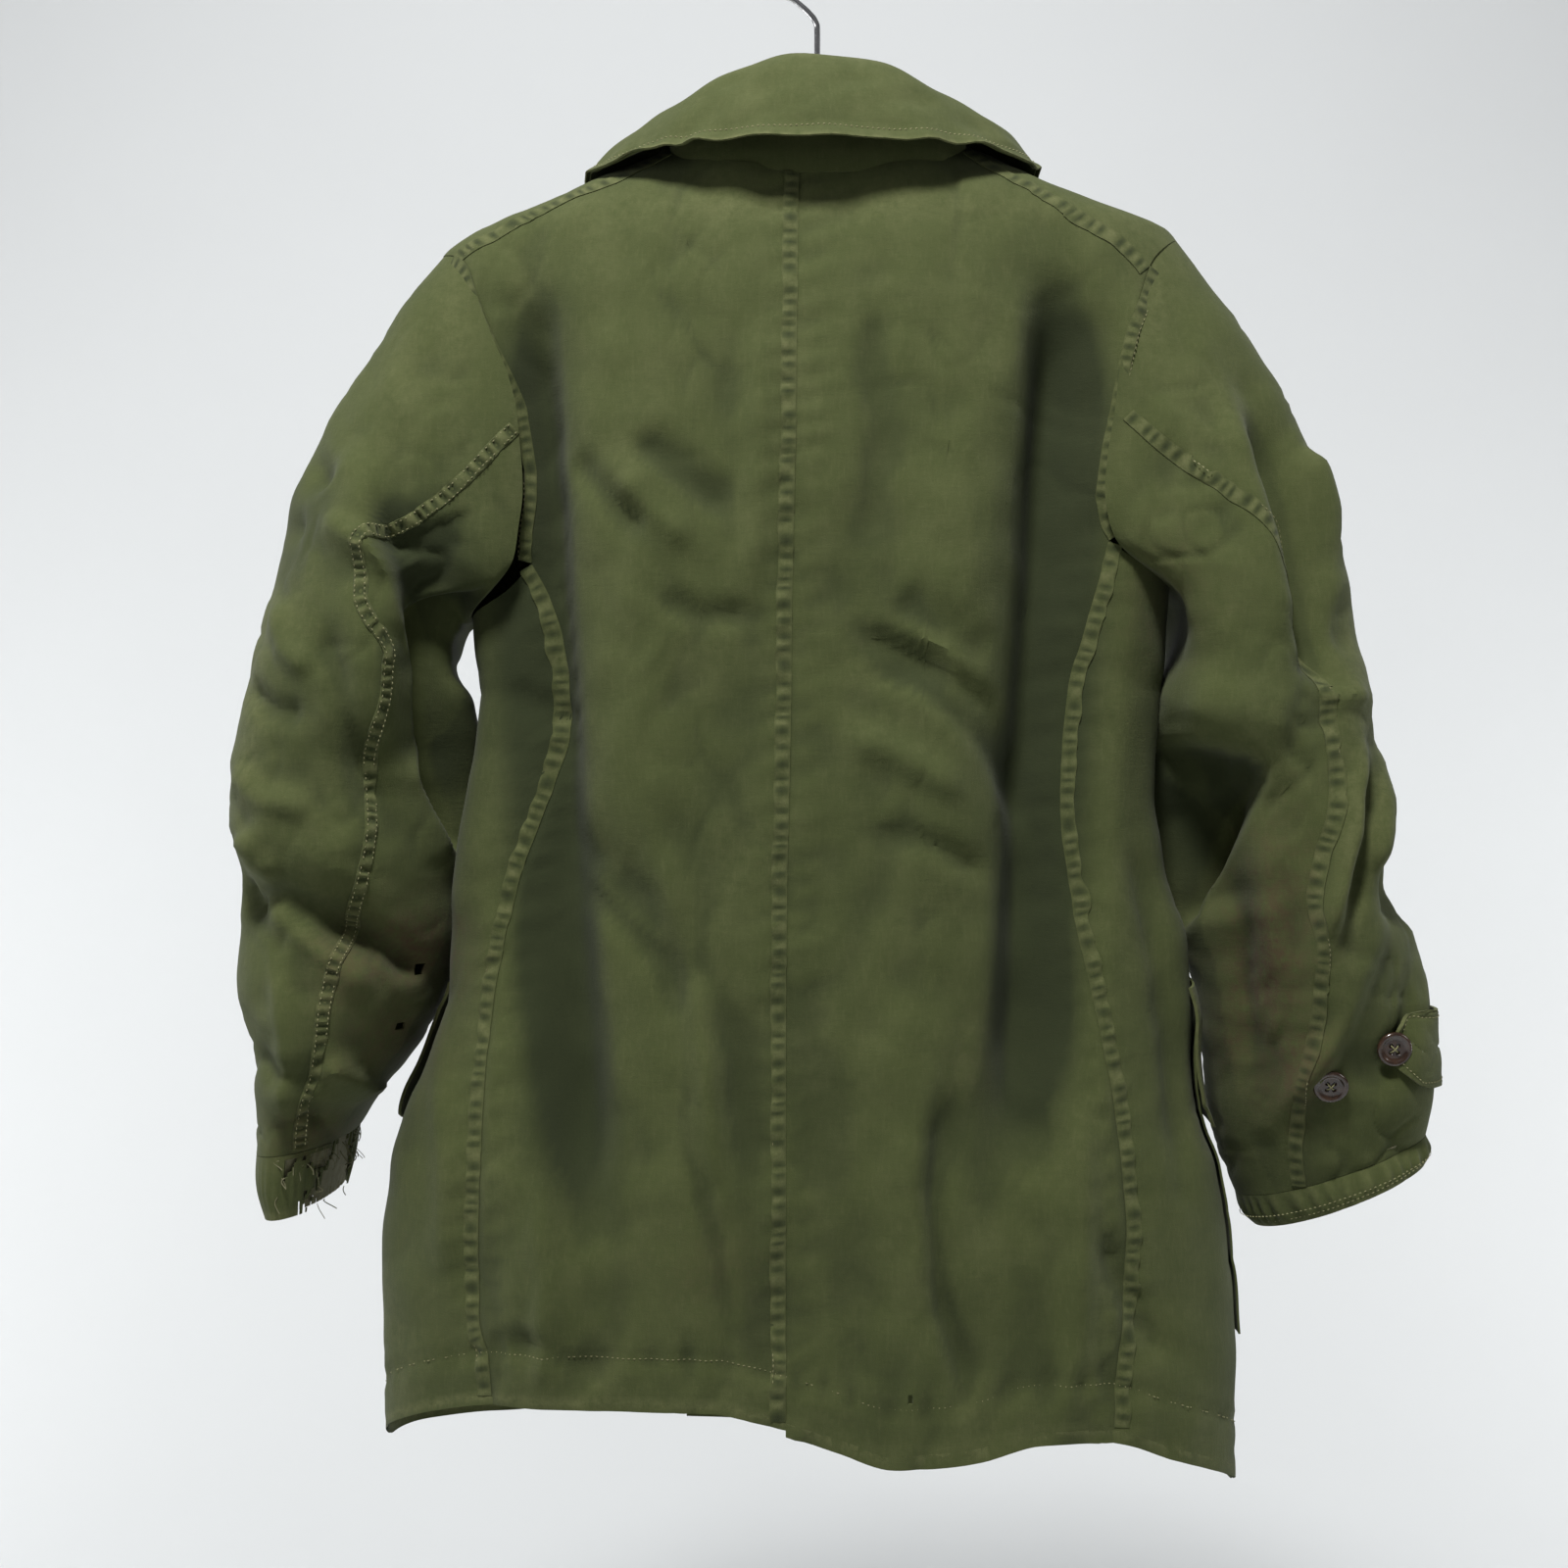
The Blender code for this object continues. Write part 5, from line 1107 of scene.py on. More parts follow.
BACK_WAVES = Waves(5, 95.0, 1.8, 2.0)
BODY_WAVES = Waves(8, 34.0, 1.3, 1.0)
SLEEVE_WAVES = {"left": Waves(21, 62.0, 1.1, 1.9), "right": Waves(22, 62.0, 1.1, 1.9)}
SLEEVE_SHORT_WAVES = Waves(25, 27.0, 1.0, 0.7)
STAIN_WAVES = Waves(77, 18.0, 1.0, 0.5)


@dataclass(frozen=True)
class SeamDrag:
    """How a felled seam sinks into the cloth and puckers it on both sides, in millimetres."""

    groove: float = 1.1
    groove_width: float = 2.6
    pucker: float = 0.95
    pitch: float = 17.0
    drift: float = 23.0
    slant: float = 0.12
    reach: float = 17.0

    def added(self, height: Array, signed: Array, along: Array, share: Array) -> Array:
        """Adds the seam's groove and puckers to the cloth's heights.

        Args:
            height: heights so far.
            signed: distances from the seam.
            along: distances along it.
            share: how much of the groove and the puckers the points take.

        Returns:
            The new heights.
        """
        phase = along * TURN / self.pitch + 1.7 * np.sin(along / self.drift) + signed * self.slant
        drag = self.pucker * np.sin(phase)
        height = height - self.groove * share * np.exp(-((signed / self.groove_width) ** 2))
        return height + share * drag * np.exp(-((signed / self.reach) ** 2)) * ramp(np.abs(signed), 1.0, 8.0)


@dataclass(frozen=True)
class HemFold:
    """The turned-up hem: its stitch line, its ripples and its double thickness, in millimetres."""

    depth: float = 27.5
    girth: float = 240.0
    ripple: float = 1.3
    ripple_pitch: float = 19.0
    ripple_width: float = 11.0
    step: float = 0.7
    groove: float = 1.3
    groove_width: float = 3.5

    def added(self, height: Array, angle: Array, above: Array) -> Array:
        """Adds the hem's ripples, step and stitched groove to the cloth's heights.

        Args:
            height: heights so far.
            angle: ring angle of the points.
            above: their drop from the hem's edge, negative above it.

        Returns:
            The new heights.
        """
        row = angle * self.girth
        ripple = np.sin(row * TURN / self.ripple_pitch + 1.9 * np.sin(row / 31.0) + 0.8 * np.sin(row / 11.0))
        height = height + self.ripple * ripple * np.exp(-(((above + 27.0) / self.ripple_width) ** 2))
        groove = self.groove * np.exp(-(((above + self.depth) / self.groove_width) ** 2))
        return height + self.step * ramp(above, -27.0, -22.0) - groove


def crumple(x: Array, drop: Array, seed: int, length: float) -> Array:
    """Fine sharp creases of worn cloth, from about -1 to 0, where smooth random waves cross zero.

    Args:
        x: sideways place of the points in millimetres.
        drop: their distance below the hook's bearing point.
        seed: number that picks the creases.
        length: usual distance between them in millimetres.

    Returns:
        Heights as shares of the deepest one.
    """
    total = np.zeros(np.broadcast(x, drop).shape)
    for step in range(3):
        wave = unevenness(x, drop, seed + step, length * (1.0 + 0.4 * step), 1.2)
        here = ramp(unevenness(x, drop, seed + 40 + step, 1.6 * length), -0.1, 0.5)
        total -= np.exp(-((wave / 0.11) ** 2)) * here
    return total


def trough(x: Array, drop: Array, steps: Sequence) -> Array:
    """How deep the soft steps lie at these points, from 0 to 1, for the shade painted on their lower sides.
    """
    return ramp(-step_height(x, drop, steps), 0.5, 18.0)


@dataclass(frozen=True)
class Finish:
    """A procedural finish: its name, base colour and how rough and metallic it is."""

    name: str
    colour: Place
    roughness: float
    metallic: float = 0.0
    coat: float = 0.0

    def build(self) -> bpy.types.Material:
        """The plain shader of the finish, its colours set on its own sockets."""
        made = bpy.data.materials.new(self.name)
        made.use_nodes = True
        shader = made.node_tree.nodes["Principled BSDF"]
        shader.inputs["Base Color"].default_value = (*self.colour, 1.0)
        shader.inputs["Roughness"].default_value = self.roughness
        shader.inputs["Metallic"].default_value = self.metallic
        shader.inputs["Coat Weight"].default_value = self.coat
        return made


@dataclass(frozen=True)
class Speckle(Finish):
    """A finish with a fine noise in its colour and surface."""

    darker: Place = (0.02, 0.02, 0.02)
    scale: float = 60.0
    bump: float = 0.05
    stretch: Place = (1.0, 1.0, 1.0)

    def build(self) -> bpy.types.Material:
        """The finish as a material on object coordinates."""
        made = super().build()
        tree = made.node_tree
        shader = tree.nodes["Principled BSDF"]
        place = tree.nodes.new("ShaderNodeTexCoord")
        turn = tree.nodes.new("ShaderNodeMapping")
        turn.inputs["Scale"].default_value = self.stretch
        tree.links.new(place.outputs["Object"], turn.inputs["Vector"])
        noise = tree.nodes.new("ShaderNodeTexNoise")
        noise.inputs["Scale"].default_value = self.scale
        noise.inputs["Detail"].default_value = 6.0
        tree.links.new(turn.outputs["Vector"], noise.inputs["Vector"])
        ramp_node = tree.nodes.new("ShaderNodeValToRGB")
        ramp_node.color_ramp.elements[0].position = 0.3
        ramp_node.color_ramp.elements[1].position = 0.7
        ramp_node.color_ramp.elements[0].color = (*self.darker, 1.0)
        ramp_node.color_ramp.elements[1].color = (*self.colour, 1.0)
        tree.links.new(noise.outputs["Fac"], ramp_node.inputs["Fac"])
        tree.links.new(ramp_node.outputs["Color"], shader.inputs["Base Color"])
        bump = tree.nodes.new("ShaderNodeBump")
        bump.inputs["Strength"].default_value = self.bump
        bump.inputs["Distance"].default_value = 0.001
        tree.links.new(noise.outputs["Fac"], bump.inputs["Height"])
        tree.links.new(bump.outputs["Normal"], shader.inputs["Normal"])
        return made


@dataclass(frozen=True)
class Cotton(Finish):
    """Faded cotton duck: mottled, lighter where the wear attribute is high, browner where stain is, and
    darker with painted shade in folds and recesses.
    """

    deep: Place = (0.034, 0.044, 0.012)
    pale: Place = (0.118, 0.124, 0.050)
    stain: Place = (0.060, 0.038, 0.018)
    shadow: Place = (0.017, 0.023, 0.007)
    weave: float = 0.35

    def build(self) -> bpy.types.Material:
        """The cloth's material on object coordinates and the pieces' own attributes."""
        made = super().build()
        tree = made.node_tree
        link = tree.links.new
        shader = tree.nodes["Principled BSDF"]
        shader.inputs["Sheen Weight"].default_value = 0.04
        shader.inputs["Sheen Roughness"].default_value = 0.6
        shader.inputs["Specular IOR Level"].default_value = 0.25
        place = tree.nodes.new("ShaderNodeTexCoord")

        def noise(scale: float, detail: float, stretch: Place, rough: float = 0.55) -> object:
            """Values of a noise of this scale on stretched object coordinates."""
            turn = tree.nodes.new("ShaderNodeMapping")
            turn.inputs["Scale"].default_value = stretch
            link(place.outputs["Object"], turn.inputs["Vector"])
            node = tree.nodes.new("ShaderNodeTexNoise")
            node.inputs["Scale"].default_value = scale
            node.inputs["Detail"].default_value = detail
            node.inputs["Roughness"].default_value = rough
            link(turn.outputs["Vector"], node.inputs["Vector"])
            return node.outputs["Fac"]

        def spread(source: object, low: float, high: float, top: float = 1.0) -> object:
            """The source's values from low to high, as 0 to top."""
            node = tree.nodes.new("ShaderNodeMapRange")
            node.inputs["From Min"].default_value = low
            node.inputs["From Max"].default_value = high
            node.inputs["To Max"].default_value = top
            link(source, node.inputs["Value"])
            return node.outputs["Result"]

        def mix(first: object, second: object, amount: object, kind: str = "MIX") -> object:
            """Two colours mixed by an amount; either may be a plain colour."""
            node = tree.nodes.new("ShaderNodeMix")
            node.data_type = "RGBA"
            node.blend_type = kind
            for socket, value in ((node.inputs[6], first), (node.inputs[7], second)):
                if isinstance(value, tuple):
                    socket.default_value = (*value, 1.0)
                else:
                    link(value, socket)
            link(amount, node.inputs[0])
            return node.outputs[2]

        def combined(kind: str, first: object, second: object) -> object:
            """Two values put together by a sum or a product."""
            node = tree.nodes.new("ShaderNodeMath")
            node.operation = kind
            link(first, node.inputs[0])
            link(second, node.inputs[1])
            return node.outputs[0]

        def mark(word: str) -> object:
            """The piece's own attribute of this name."""
            node = tree.nodes.new("ShaderNodeAttribute")
            node.attribute_name = word
            return node.outputs["Fac"]

        clouds = noise(9.0, 4.0, (1.0, 1.0, 0.6))
        blotches = noise(34.0, 6.0, (1.0, 1.0, 0.7), 0.65)
        slubs = noise(420.0, 3.0, (1.0, 1.0, 0.22), 0.7)
        picks = noise(420.0, 3.0, (0.22, 0.22, 1.0), 0.7)
        grain = noise(1500.0, 2.0, (1.0, 1.0, 1.0), 0.6)
        colour = mix(self.deep, self.colour, spread(clouds, 0.05, 0.5))
        colour = mix(colour, self.pale, spread(blotches, 0.48, 0.85, 0.30))
        colour = mix(colour, self.pale, spread(slubs, 0.5, 0.9, 0.30))
        colour = mix(colour, self.deep, spread(picks, 0.52, 0.9, 0.38))
        patchy = noise(160.0, 5.0, (1.0, 1.0, 1.0), 0.7)
        rub = combined("MULTIPLY", mark("wear"), spread(patchy, 0.3, 0.65))
        colour = mix(colour, self.pale, rub)
        soak = combined("MULTIPLY", mark("stain"), spread(patchy, 0.32, 0.62))
        colour = mix(colour, self.stain, soak)
        # Painted shade: darker towards the shadow colour in deep folds, on the lower sides of the soft steps
        # and between seam ripples.
        colour = mix(colour, self.shadow, spread(mark("painted_shade"), 0.0, 1.0, 0.84))
        link(colour, shader.inputs["Base Color"])
        total = combined("ADD", combined("ADD", slubs, picks), grain)
        bump = tree.nodes.new("ShaderNodeBump")
        bump.inputs["Strength"].default_value = self.weave
        bump.inputs["Distance"].default_value = 0.0006
        link(total, bump.inputs["Height"])
        link(bump.outputs["Normal"], shader.inputs["Normal"])
        return made


def cell_corners(numbers: Array) -> Array:
    """The four point numbers of each cell of a grid of numbers."""
    return np.stack((numbers[:-1, :-1], numbers[:-1, 1:], numbers[1:, 1:], numbers[1:, :-1]), axis=-1)


def bar_faces(rows: int, columns: int) -> Array:
    """Faces of a bar made of rings of points, with a fan of triangles at each end."""
    numbers = np.arange(rows * columns).reshape(rows, columns)
    numbers = np.concatenate((numbers, numbers[:, :1]), axis=1)
    ends = np.arange(1, columns - 1)
    last = (rows - 1) * columns
    none = np.full(len(ends), -1)
    caps = np.concatenate((
        np.column_stack((0 * ends, ends + 1, ends, none)),
        np.column_stack((last + 0 * ends, last + ends, last + ends + 1, none)),
    ))
    return np.concatenate((cell_corners(numbers).reshape(-1, 4), caps))


def new_piece(
    name: str,
    points: Array,
    faces: Array,
    finish: bpy.types.Material,
    marks: Optional[dict[str, Array]] = None,
) -> bpy.types.Object:
    """A mesh object from points in millimetres and faces of four corners, its faces turned outwards.

    Args:
        name: the object's name.
        points: rows of x, y and z.
        faces: rows of four point numbers; a triangle repeats none and has -1 as its last one.
        finish: the object's material.
        marks: values for each point, stored as attributes.

    Returns:
        The object, which rides on the coat's body.
    """
    first, second, third, fourth = (points[faces[:, k]] for k in range(4))
    fourth = np.where(faces[:, 3:4] < 0, first, fourth)
    volume = np.einsum("ij,ij->", first, np.cross(second, third))
    volume = volume + np.einsum("ij,ij->", first, np.cross(third, fourth))
    quads = faces[:, 3] >= 0
    sizes = np.where(quads, 4, 3)
    order = faces if volume >= 0 else np.where(quads[:, None], faces[:, [3, 2, 1, 0]], faces[:, [2, 1, 0, 3]])
    loops = order.reshape(-1)[(np.arange(4)[None] < sizes[:, None]).reshape(-1)]
    mesh = bpy.data.meshes.new(name)
    mesh.vertices.add(len(points))
    mesh.vertices.foreach_set("co", (points * MM).reshape(-1).astype(np.float32))
    mesh.loops.add(len(loops))
    mesh.loops.foreach_set("vertex_index", loops.astype(np.int32))
    mesh.polygons.add(len(faces))
    mesh.polygons.foreach_set("loop_start", np.concatenate(([0], np.cumsum(sizes)[:-1])).astype(np.int32))
    mesh.update(calc_edges=True)
    mesh.validate()
    mesh.polygons.foreach_set("use_smooth", np.ones(len(mesh.polygons), bool))
    mesh.set_sharp_from_angle(angle=0.8)
    for key, values in (marks or {}).items():
        mesh.attributes.new(key, "FLOAT", "POINT").data.foreach_set("value", values.astype(np.float32))
    mesh.materials.append(finish)
    made = bpy.data.objects.new(name, mesh)
    bpy.context.scene.collection.objects.link(made)
    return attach(made, "root") or made


def wall(
    name: str,
    outer: Array,
    inner: Array,
    finish: bpy.types.Material,
    keep: Optional[Array] = None,
    loop: bool = False,
    marks: Optional[dict[str, Array]] = None,
) -> bpy.types.Object:
    """One thin closed shell between two matching grids of points.

    Args:
        name: the object's name.
        outer: grid of points on the outer side.
        inner: grid of points on the inner side.
        finish: its material.
        keep: which cells exist; all of them if left out.
        loop: whether the last column joins the first.
        marks: grids of attribute values.

    Returns:
        The object.
    """
    rows, columns = outer.shape[:2]
    numbers = np.arange(rows * columns).reshape(rows, columns)
    if loop:
        numbers = np.concatenate((numbers, numbers[:, :1]), axis=1)
    keep = np.ones((rows - 1, numbers.shape[1] - 1), bool) if keep is None else keep
    ring = cell_corners(numbers)
    count = rows * columns
    faces = [ring[keep], ring[keep][:, ::-1] + count]
    padded = np.zeros((keep.shape[0] + 2, keep.shape[1] + 2), bool)
    padded[1:-1, 1:-1] = keep
    if loop:
        padded[1:-1, 0] = keep[:, -1]
        padded[1:-1, -1] = keep[:, 0]
    beside = (padded[:-2, 1:-1], padded[1:-1, 2:], padded[2:, 1:-1], padded[1:-1, :-2])
    for k, neighbour in enumerate(beside):
        edge = ring[keep & ~neighbour]
        start, end = edge[:, k], edge[:, (k + 1) % 4]
        faces.append(np.stack((end, start, start + count, end + count), axis=-1))
    faces = np.concatenate(faces)
    points = np.concatenate((outer.reshape(-1, 3), inner.reshape(-1, 3)))
    used, renumbered = np.unique(faces, return_inverse=True)
    values = {key: np.tile(grid.reshape(-1), 2)[used] for key, grid in (marks or {}).items()}
    return new_piece(name, points[used], renumbered.reshape(faces.shape), finish, values)


def slopes(surface: Surface, first: Array, second: Array) -> tuple[Array, Array, Array]:
    """How a surface runs for each of its own two variables, and its outward normal."""
    along_first = (surface(first + 1e-3, second) - surface(first - 1e-3, second)) / 2e-3
    along_second = (surface(first, second + 0.4) - surface(first, second - 0.4)) / 0.8
    return along_first, along_second, unit(np.cross(along_second, along_first))


def ribbon(
    name: str,
    surface: Surface,
    path: Array,
    offsets: Sequence[float],
    heights: Sequence[float],
    finish: bpy.types.Material,
    pucker: float = 0.35,
    pitch: float = 9.0,
    seed: int = 1,
    wear: float = 0.5,
    bottom: float = -0.6,
) -> bpy.types.Object:
    """A narrow sewn strip lying on a surface beside a path.

    Args:
        name: the object's name.
        surface: outer points for two arrays of the surface's own two variables.
        path: rows of those two variables, evenly and closely spaced.
        offsets: sideways places of the strip's profile in millimetres.
        heights: heights of that profile above the surface.
        finish: its material.
        pucker: height of the ripples across the strip.
        pitch: their usual spacing.
        seed: number that picks the ripples.
        wear: how worn its ridges look.
        bottom: where its lower side lies, below the surface.

    Returns:
        The strip.
    """
    first, second = path[:, 0], path[:, 1]
    base = surface(first, second)
    along_first, along_second, normal = slopes(surface, first, second)
    tangent = unit(np.gradient(base, axis=0))
    lateral = np.cross(normal, tangent)
    dots = [
        (along_first**2).sum(-1), (along_first * along_second).sum(-1), (along_second**2).sum(-1),
        (along_first * lateral).sum(-1), (along_second * lateral).sum(-1),
    ]
    scale = dots[0] * dots[2] - dots[1] ** 2
    step_first = (dots[3] * dots[2] - dots[4] * dots[1]) / scale
    step_second = (dots[4] * dots[0] - dots[3] * dots[1]) / scale
    run = distances(base)
    dice = np.random.default_rng(seed)
    wobble = sum(
        np.sin(run * TURN / (pitch * factor) + dice.uniform(0.0, TURN)) * share
        for factor, share in ((4.7, 1.3), (9.1, 1.6), (2.3, 0.7))
    )
    ripple = np.sin(run * TURN / pitch + wobble)
    across = np.asarray(offsets, float)[None, :] + 0.25 * wobble[:, None] * (np.abs(offsets) > 0.01)
    both = ((first, step_first), (second, step_second))
    places = [start[:, None] + step[:, None] * across for start, step in both]
    points = surface(*places)
    mid = (across - across.mean(axis=1, keepdims=True)) / (np.ptp(np.asarray(offsets)) / 2)
    bulge = np.clip(1.0 - mid**2, 0.0, 1.0)
    height = np.asarray(heights, float)[None, :] + pucker * ripple[:, None] * bulge
    upper = points + normal[:, None] * height[..., None]
    lower = points + normal[:, None] * bottom
    ridge = np.clip(0.30 + 0.7 * ripple[:, None] * bulge + 0.25 * (np.abs(mid) > 0.6), 0.0, 1.0) * wear
    # Painted shade in the valleys between the strip's ripples.
    valley_shade = np.clip(0.15 - 0.8 * ripple[:, None] * bulge, 0.0, 1.0)
    level = np.broadcast_to(base[:, None, 2], ridge.shape)
    marks = cloth_marks(points[..., 0], -level, np.ones(ridge.shape))
    return wall(name, upper, lower, finish, marks={"wear": ridge, "stain": marks["stain"], "painted_shade": valley_shade})


def dashes(
    name: str, points: Array, normals: Array, finish: bpy.types.Material, length: float, gap: float
) -> bpy.types.Object:
    """A row of stitches along points on a surface, each a small raised bar.

    Args:
        name: the object's name.
        points: closely spaced points of the row.
        normals: the surface's outward normals there.
        finish: the thread's material.
        length: length of a stitch in millimetres.
        gap: distance from the start of one to the start of the next.

    Returns:
        All of the row's stitches as one object.
    """
    run = distances(points)
    starts = np.arange(0.6, run[-1] - length, gap)

    def along(at: Array, values: Array) -> Array:
        """Values of the row at distances along it."""
        return np.stack([np.interp(at, run, values[:, k]) for k in range(3)], axis=-1)

    ends = [along(starts + length * share, points) for share in (0.0, 0.5, 1.0)]
    up = unit(along(starts + length / 2, normals))
    side = unit(np.cross(up, ends[2] - ends[0])) * 0.42
    low, mid, high = (end + up * rise for end, rise in zip(ends, (-0.15, 0.42, -0.15)))
    corners = np.stack((low, mid + side, high, mid - side, mid + up * 0.22, mid - up * 0.7), axis=1)
    shape = np.array((
        (0, 1, 4, -1), (1, 2, 4, -1), (2, 3, 4, -1), (3, 0, 4, -1),
        (1, 0, 5, -1), (2, 1, 5, -1), (3, 2, 5, -1), (0, 3, 5, -1),
    ))
    offset = np.arange(len(starts))[:, None, None] * 6
    faces = np.where(shape[None] < 0, -1, shape[None] + offset)
    return new_piece(name, corners.reshape(-1, 3), faces.reshape(-1, 4), finish)


def body_form(angle: Array, drop: Array) -> Array:
    """Outer cloth of the body with its folds, small creases, unevenness and the drag of its seams.

    Args:
        angle: ring angle of the points, 0 at centre back.
        drop: their distance below the hook's bearing point.

    Returns:
        Points in millimetres.
    """
    points, outward = body_ring(angle, drop)
    x = points[..., 0]
    level = -points[..., 2]
    facing = np.cos(np.broadcast_to(angle, x.shape))
    on_back = ramp(facing, -0.25, 0.25)
    back = fold_height(x, level, BACK_FOLDS) + BODY_CREASE_SHARE * fold_height(x, level, BACK_CREASES)
    back = back + step_height(x, level, BACK_STEPS)
    front = fold_height(x, level, FRONT_FOLDS)
    height = np.where(facing > 0, back, front) * ramp(np.abs(facing), 0.10, 0.45)
    height = height + BACK_WAVES.at(x, level) * on_back + BODY_WAVES.at(x, level)
    drag = SeamDrag()
    for seam in BODY_SEAMS.values():
        gap, sign, _, along = beside(x, level, seam)
        height = drag.added(height, gap * sign, along, on_back)
    angles = np.broadcast_to(angle, x.shape)
    height = HemFold().added(height, angles, level - hem_drop(angles))
    height = height + 0.9 * crumple(x, level, 91, 46.0) * on_back
    return points + outward * height[..., None]


def sleeve_form(side: Side, position: Array, turn: Array) -> Array:
    """Outer cloth of a sleeve with its folds, soft steps, creases and unevenness.

    Args:
        side: the half of the coat.
        position: row of the sleeve's table.
        turn: turn round the section.

    Returns:
        Points in millimetres.
    """
    position, turn = np.broadcast_arrays(np.asarray(position, float), np.asarray(turn, float))
    points = side.sleeve(position, turn)
    _, outward, _ = side.section(position, turn)
    x, level = points[..., 0], -points[..., 2]
    facing = np.sin(turn)
    left = side.sign > 0
    creases = SLEEVE_CREASES_LEFT if left else SLEEVE_CREASES_RIGHT
    steps = SLEEVE_STEPS_LEFT if left else SLEEVE_STEPS_RIGHT
    height = SLEEVE_CREASE_SHARE * fold_height(x, level, creases) + step_height(x, level, steps)
    height = height * ramp(facing, 0.0, 0.4)
    height = height + SLEEVE_WAVES[side.word].at(x, level)
    height = height + SLEEVE_SHORT_WAVES.at(x, level) + 1.3 * crumple(x, level, 92, 40.0)
    height = height * ramp(position, 0.2, 1.6)
    return points + outward * height[..., None]


def cloth_marks(x: Array, drop: Array, facing: Array) -> dict[str, Array]:
    """How worn and how stained the cloth is at points given by x and drop.

    Args:
        x: sideways place of the points in millimetres.
        drop: their distance below the hook's bearing point.
        facing: how far the points face the back, from -1 to 1.

    Returns:
        Values from 0 to 1 by the attribute's name.
    """
    wear = 0.08 + 0.16 * np.clip(unevenness(x, drop, 31, 60.0), 0.0, 1.0)
    for hole_x, hole_drop, radius in HOLES:
        gap = np.hypot(x - hole_x, drop - hole_drop)
        wear = wear + 0.6 * np.exp(-(((gap - radius - 1.5) / 2.4) ** 2))
    for edge_x, edge_drop, wide, tall in WORN_PLACES:
        wear = wear + 0.35 * np.exp(-(((x - edge_x) / wide) ** 2) - ((drop - edge_drop) / tall) ** 2)
    wear = np.clip(wear, 0.0, 1.0)
    stain = np.zeros(np.shape(x))
    for centre_x, centre_drop, wide, tall, strength in STAINS:
        reach = ((x - centre_x) / wide) ** 2 + ((drop - centre_drop) / tall) ** 2
        soak = 1.0 + STAIN_WAVES.at(x, drop)
        stain = np.maximum(stain, strength * np.exp(-reach * soak))
    return {"wear": wear, "stain": stain * ramp(facing, -0.1, 0.3)}


def hollowness(points: Array) -> Array:
    """How far the surroundings of each point lie outside it, from 0 to 1, for the painted shade in deep
    folds.

    Args:
        points: grid of points.

    Returns:
        One value for each point.
    """
    total = np.zeros(points.shape[:2])
    for reach in (5, 10, 16):
        pad = np.pad(points, ((reach, reach), (reach, reach), (0, 0)), mode="edge")
        side = (pad[reach:-reach, 2 * reach:] + pad[reach:-reach, :-2 * reach]) / 2 - points
        fall = (pad[2 * reach:, reach:-reach] + pad[:-2 * reach, reach:-reach]) / 2 - points
        outside = (side + fall)[..., 1] * np.sign(points[..., 1] + 1e-9)
        total += 0.8 * np.clip(outside, 0.0, None) / (0.8 * reach)
    return np.clip(total, 0.0, 1.0)


def surface_normals(surface: Surface, first: Array, second: Array, outward: Array) -> Array:
    """Outward normals of a surface of two variables."""
    made = normals_of(surface, np.asarray(first, float), np.asarray(second, float), 2e-3, 0.6)
    return made * np.where((made * outward).sum(-1) < 0, -1.0, 1.0)[..., None]


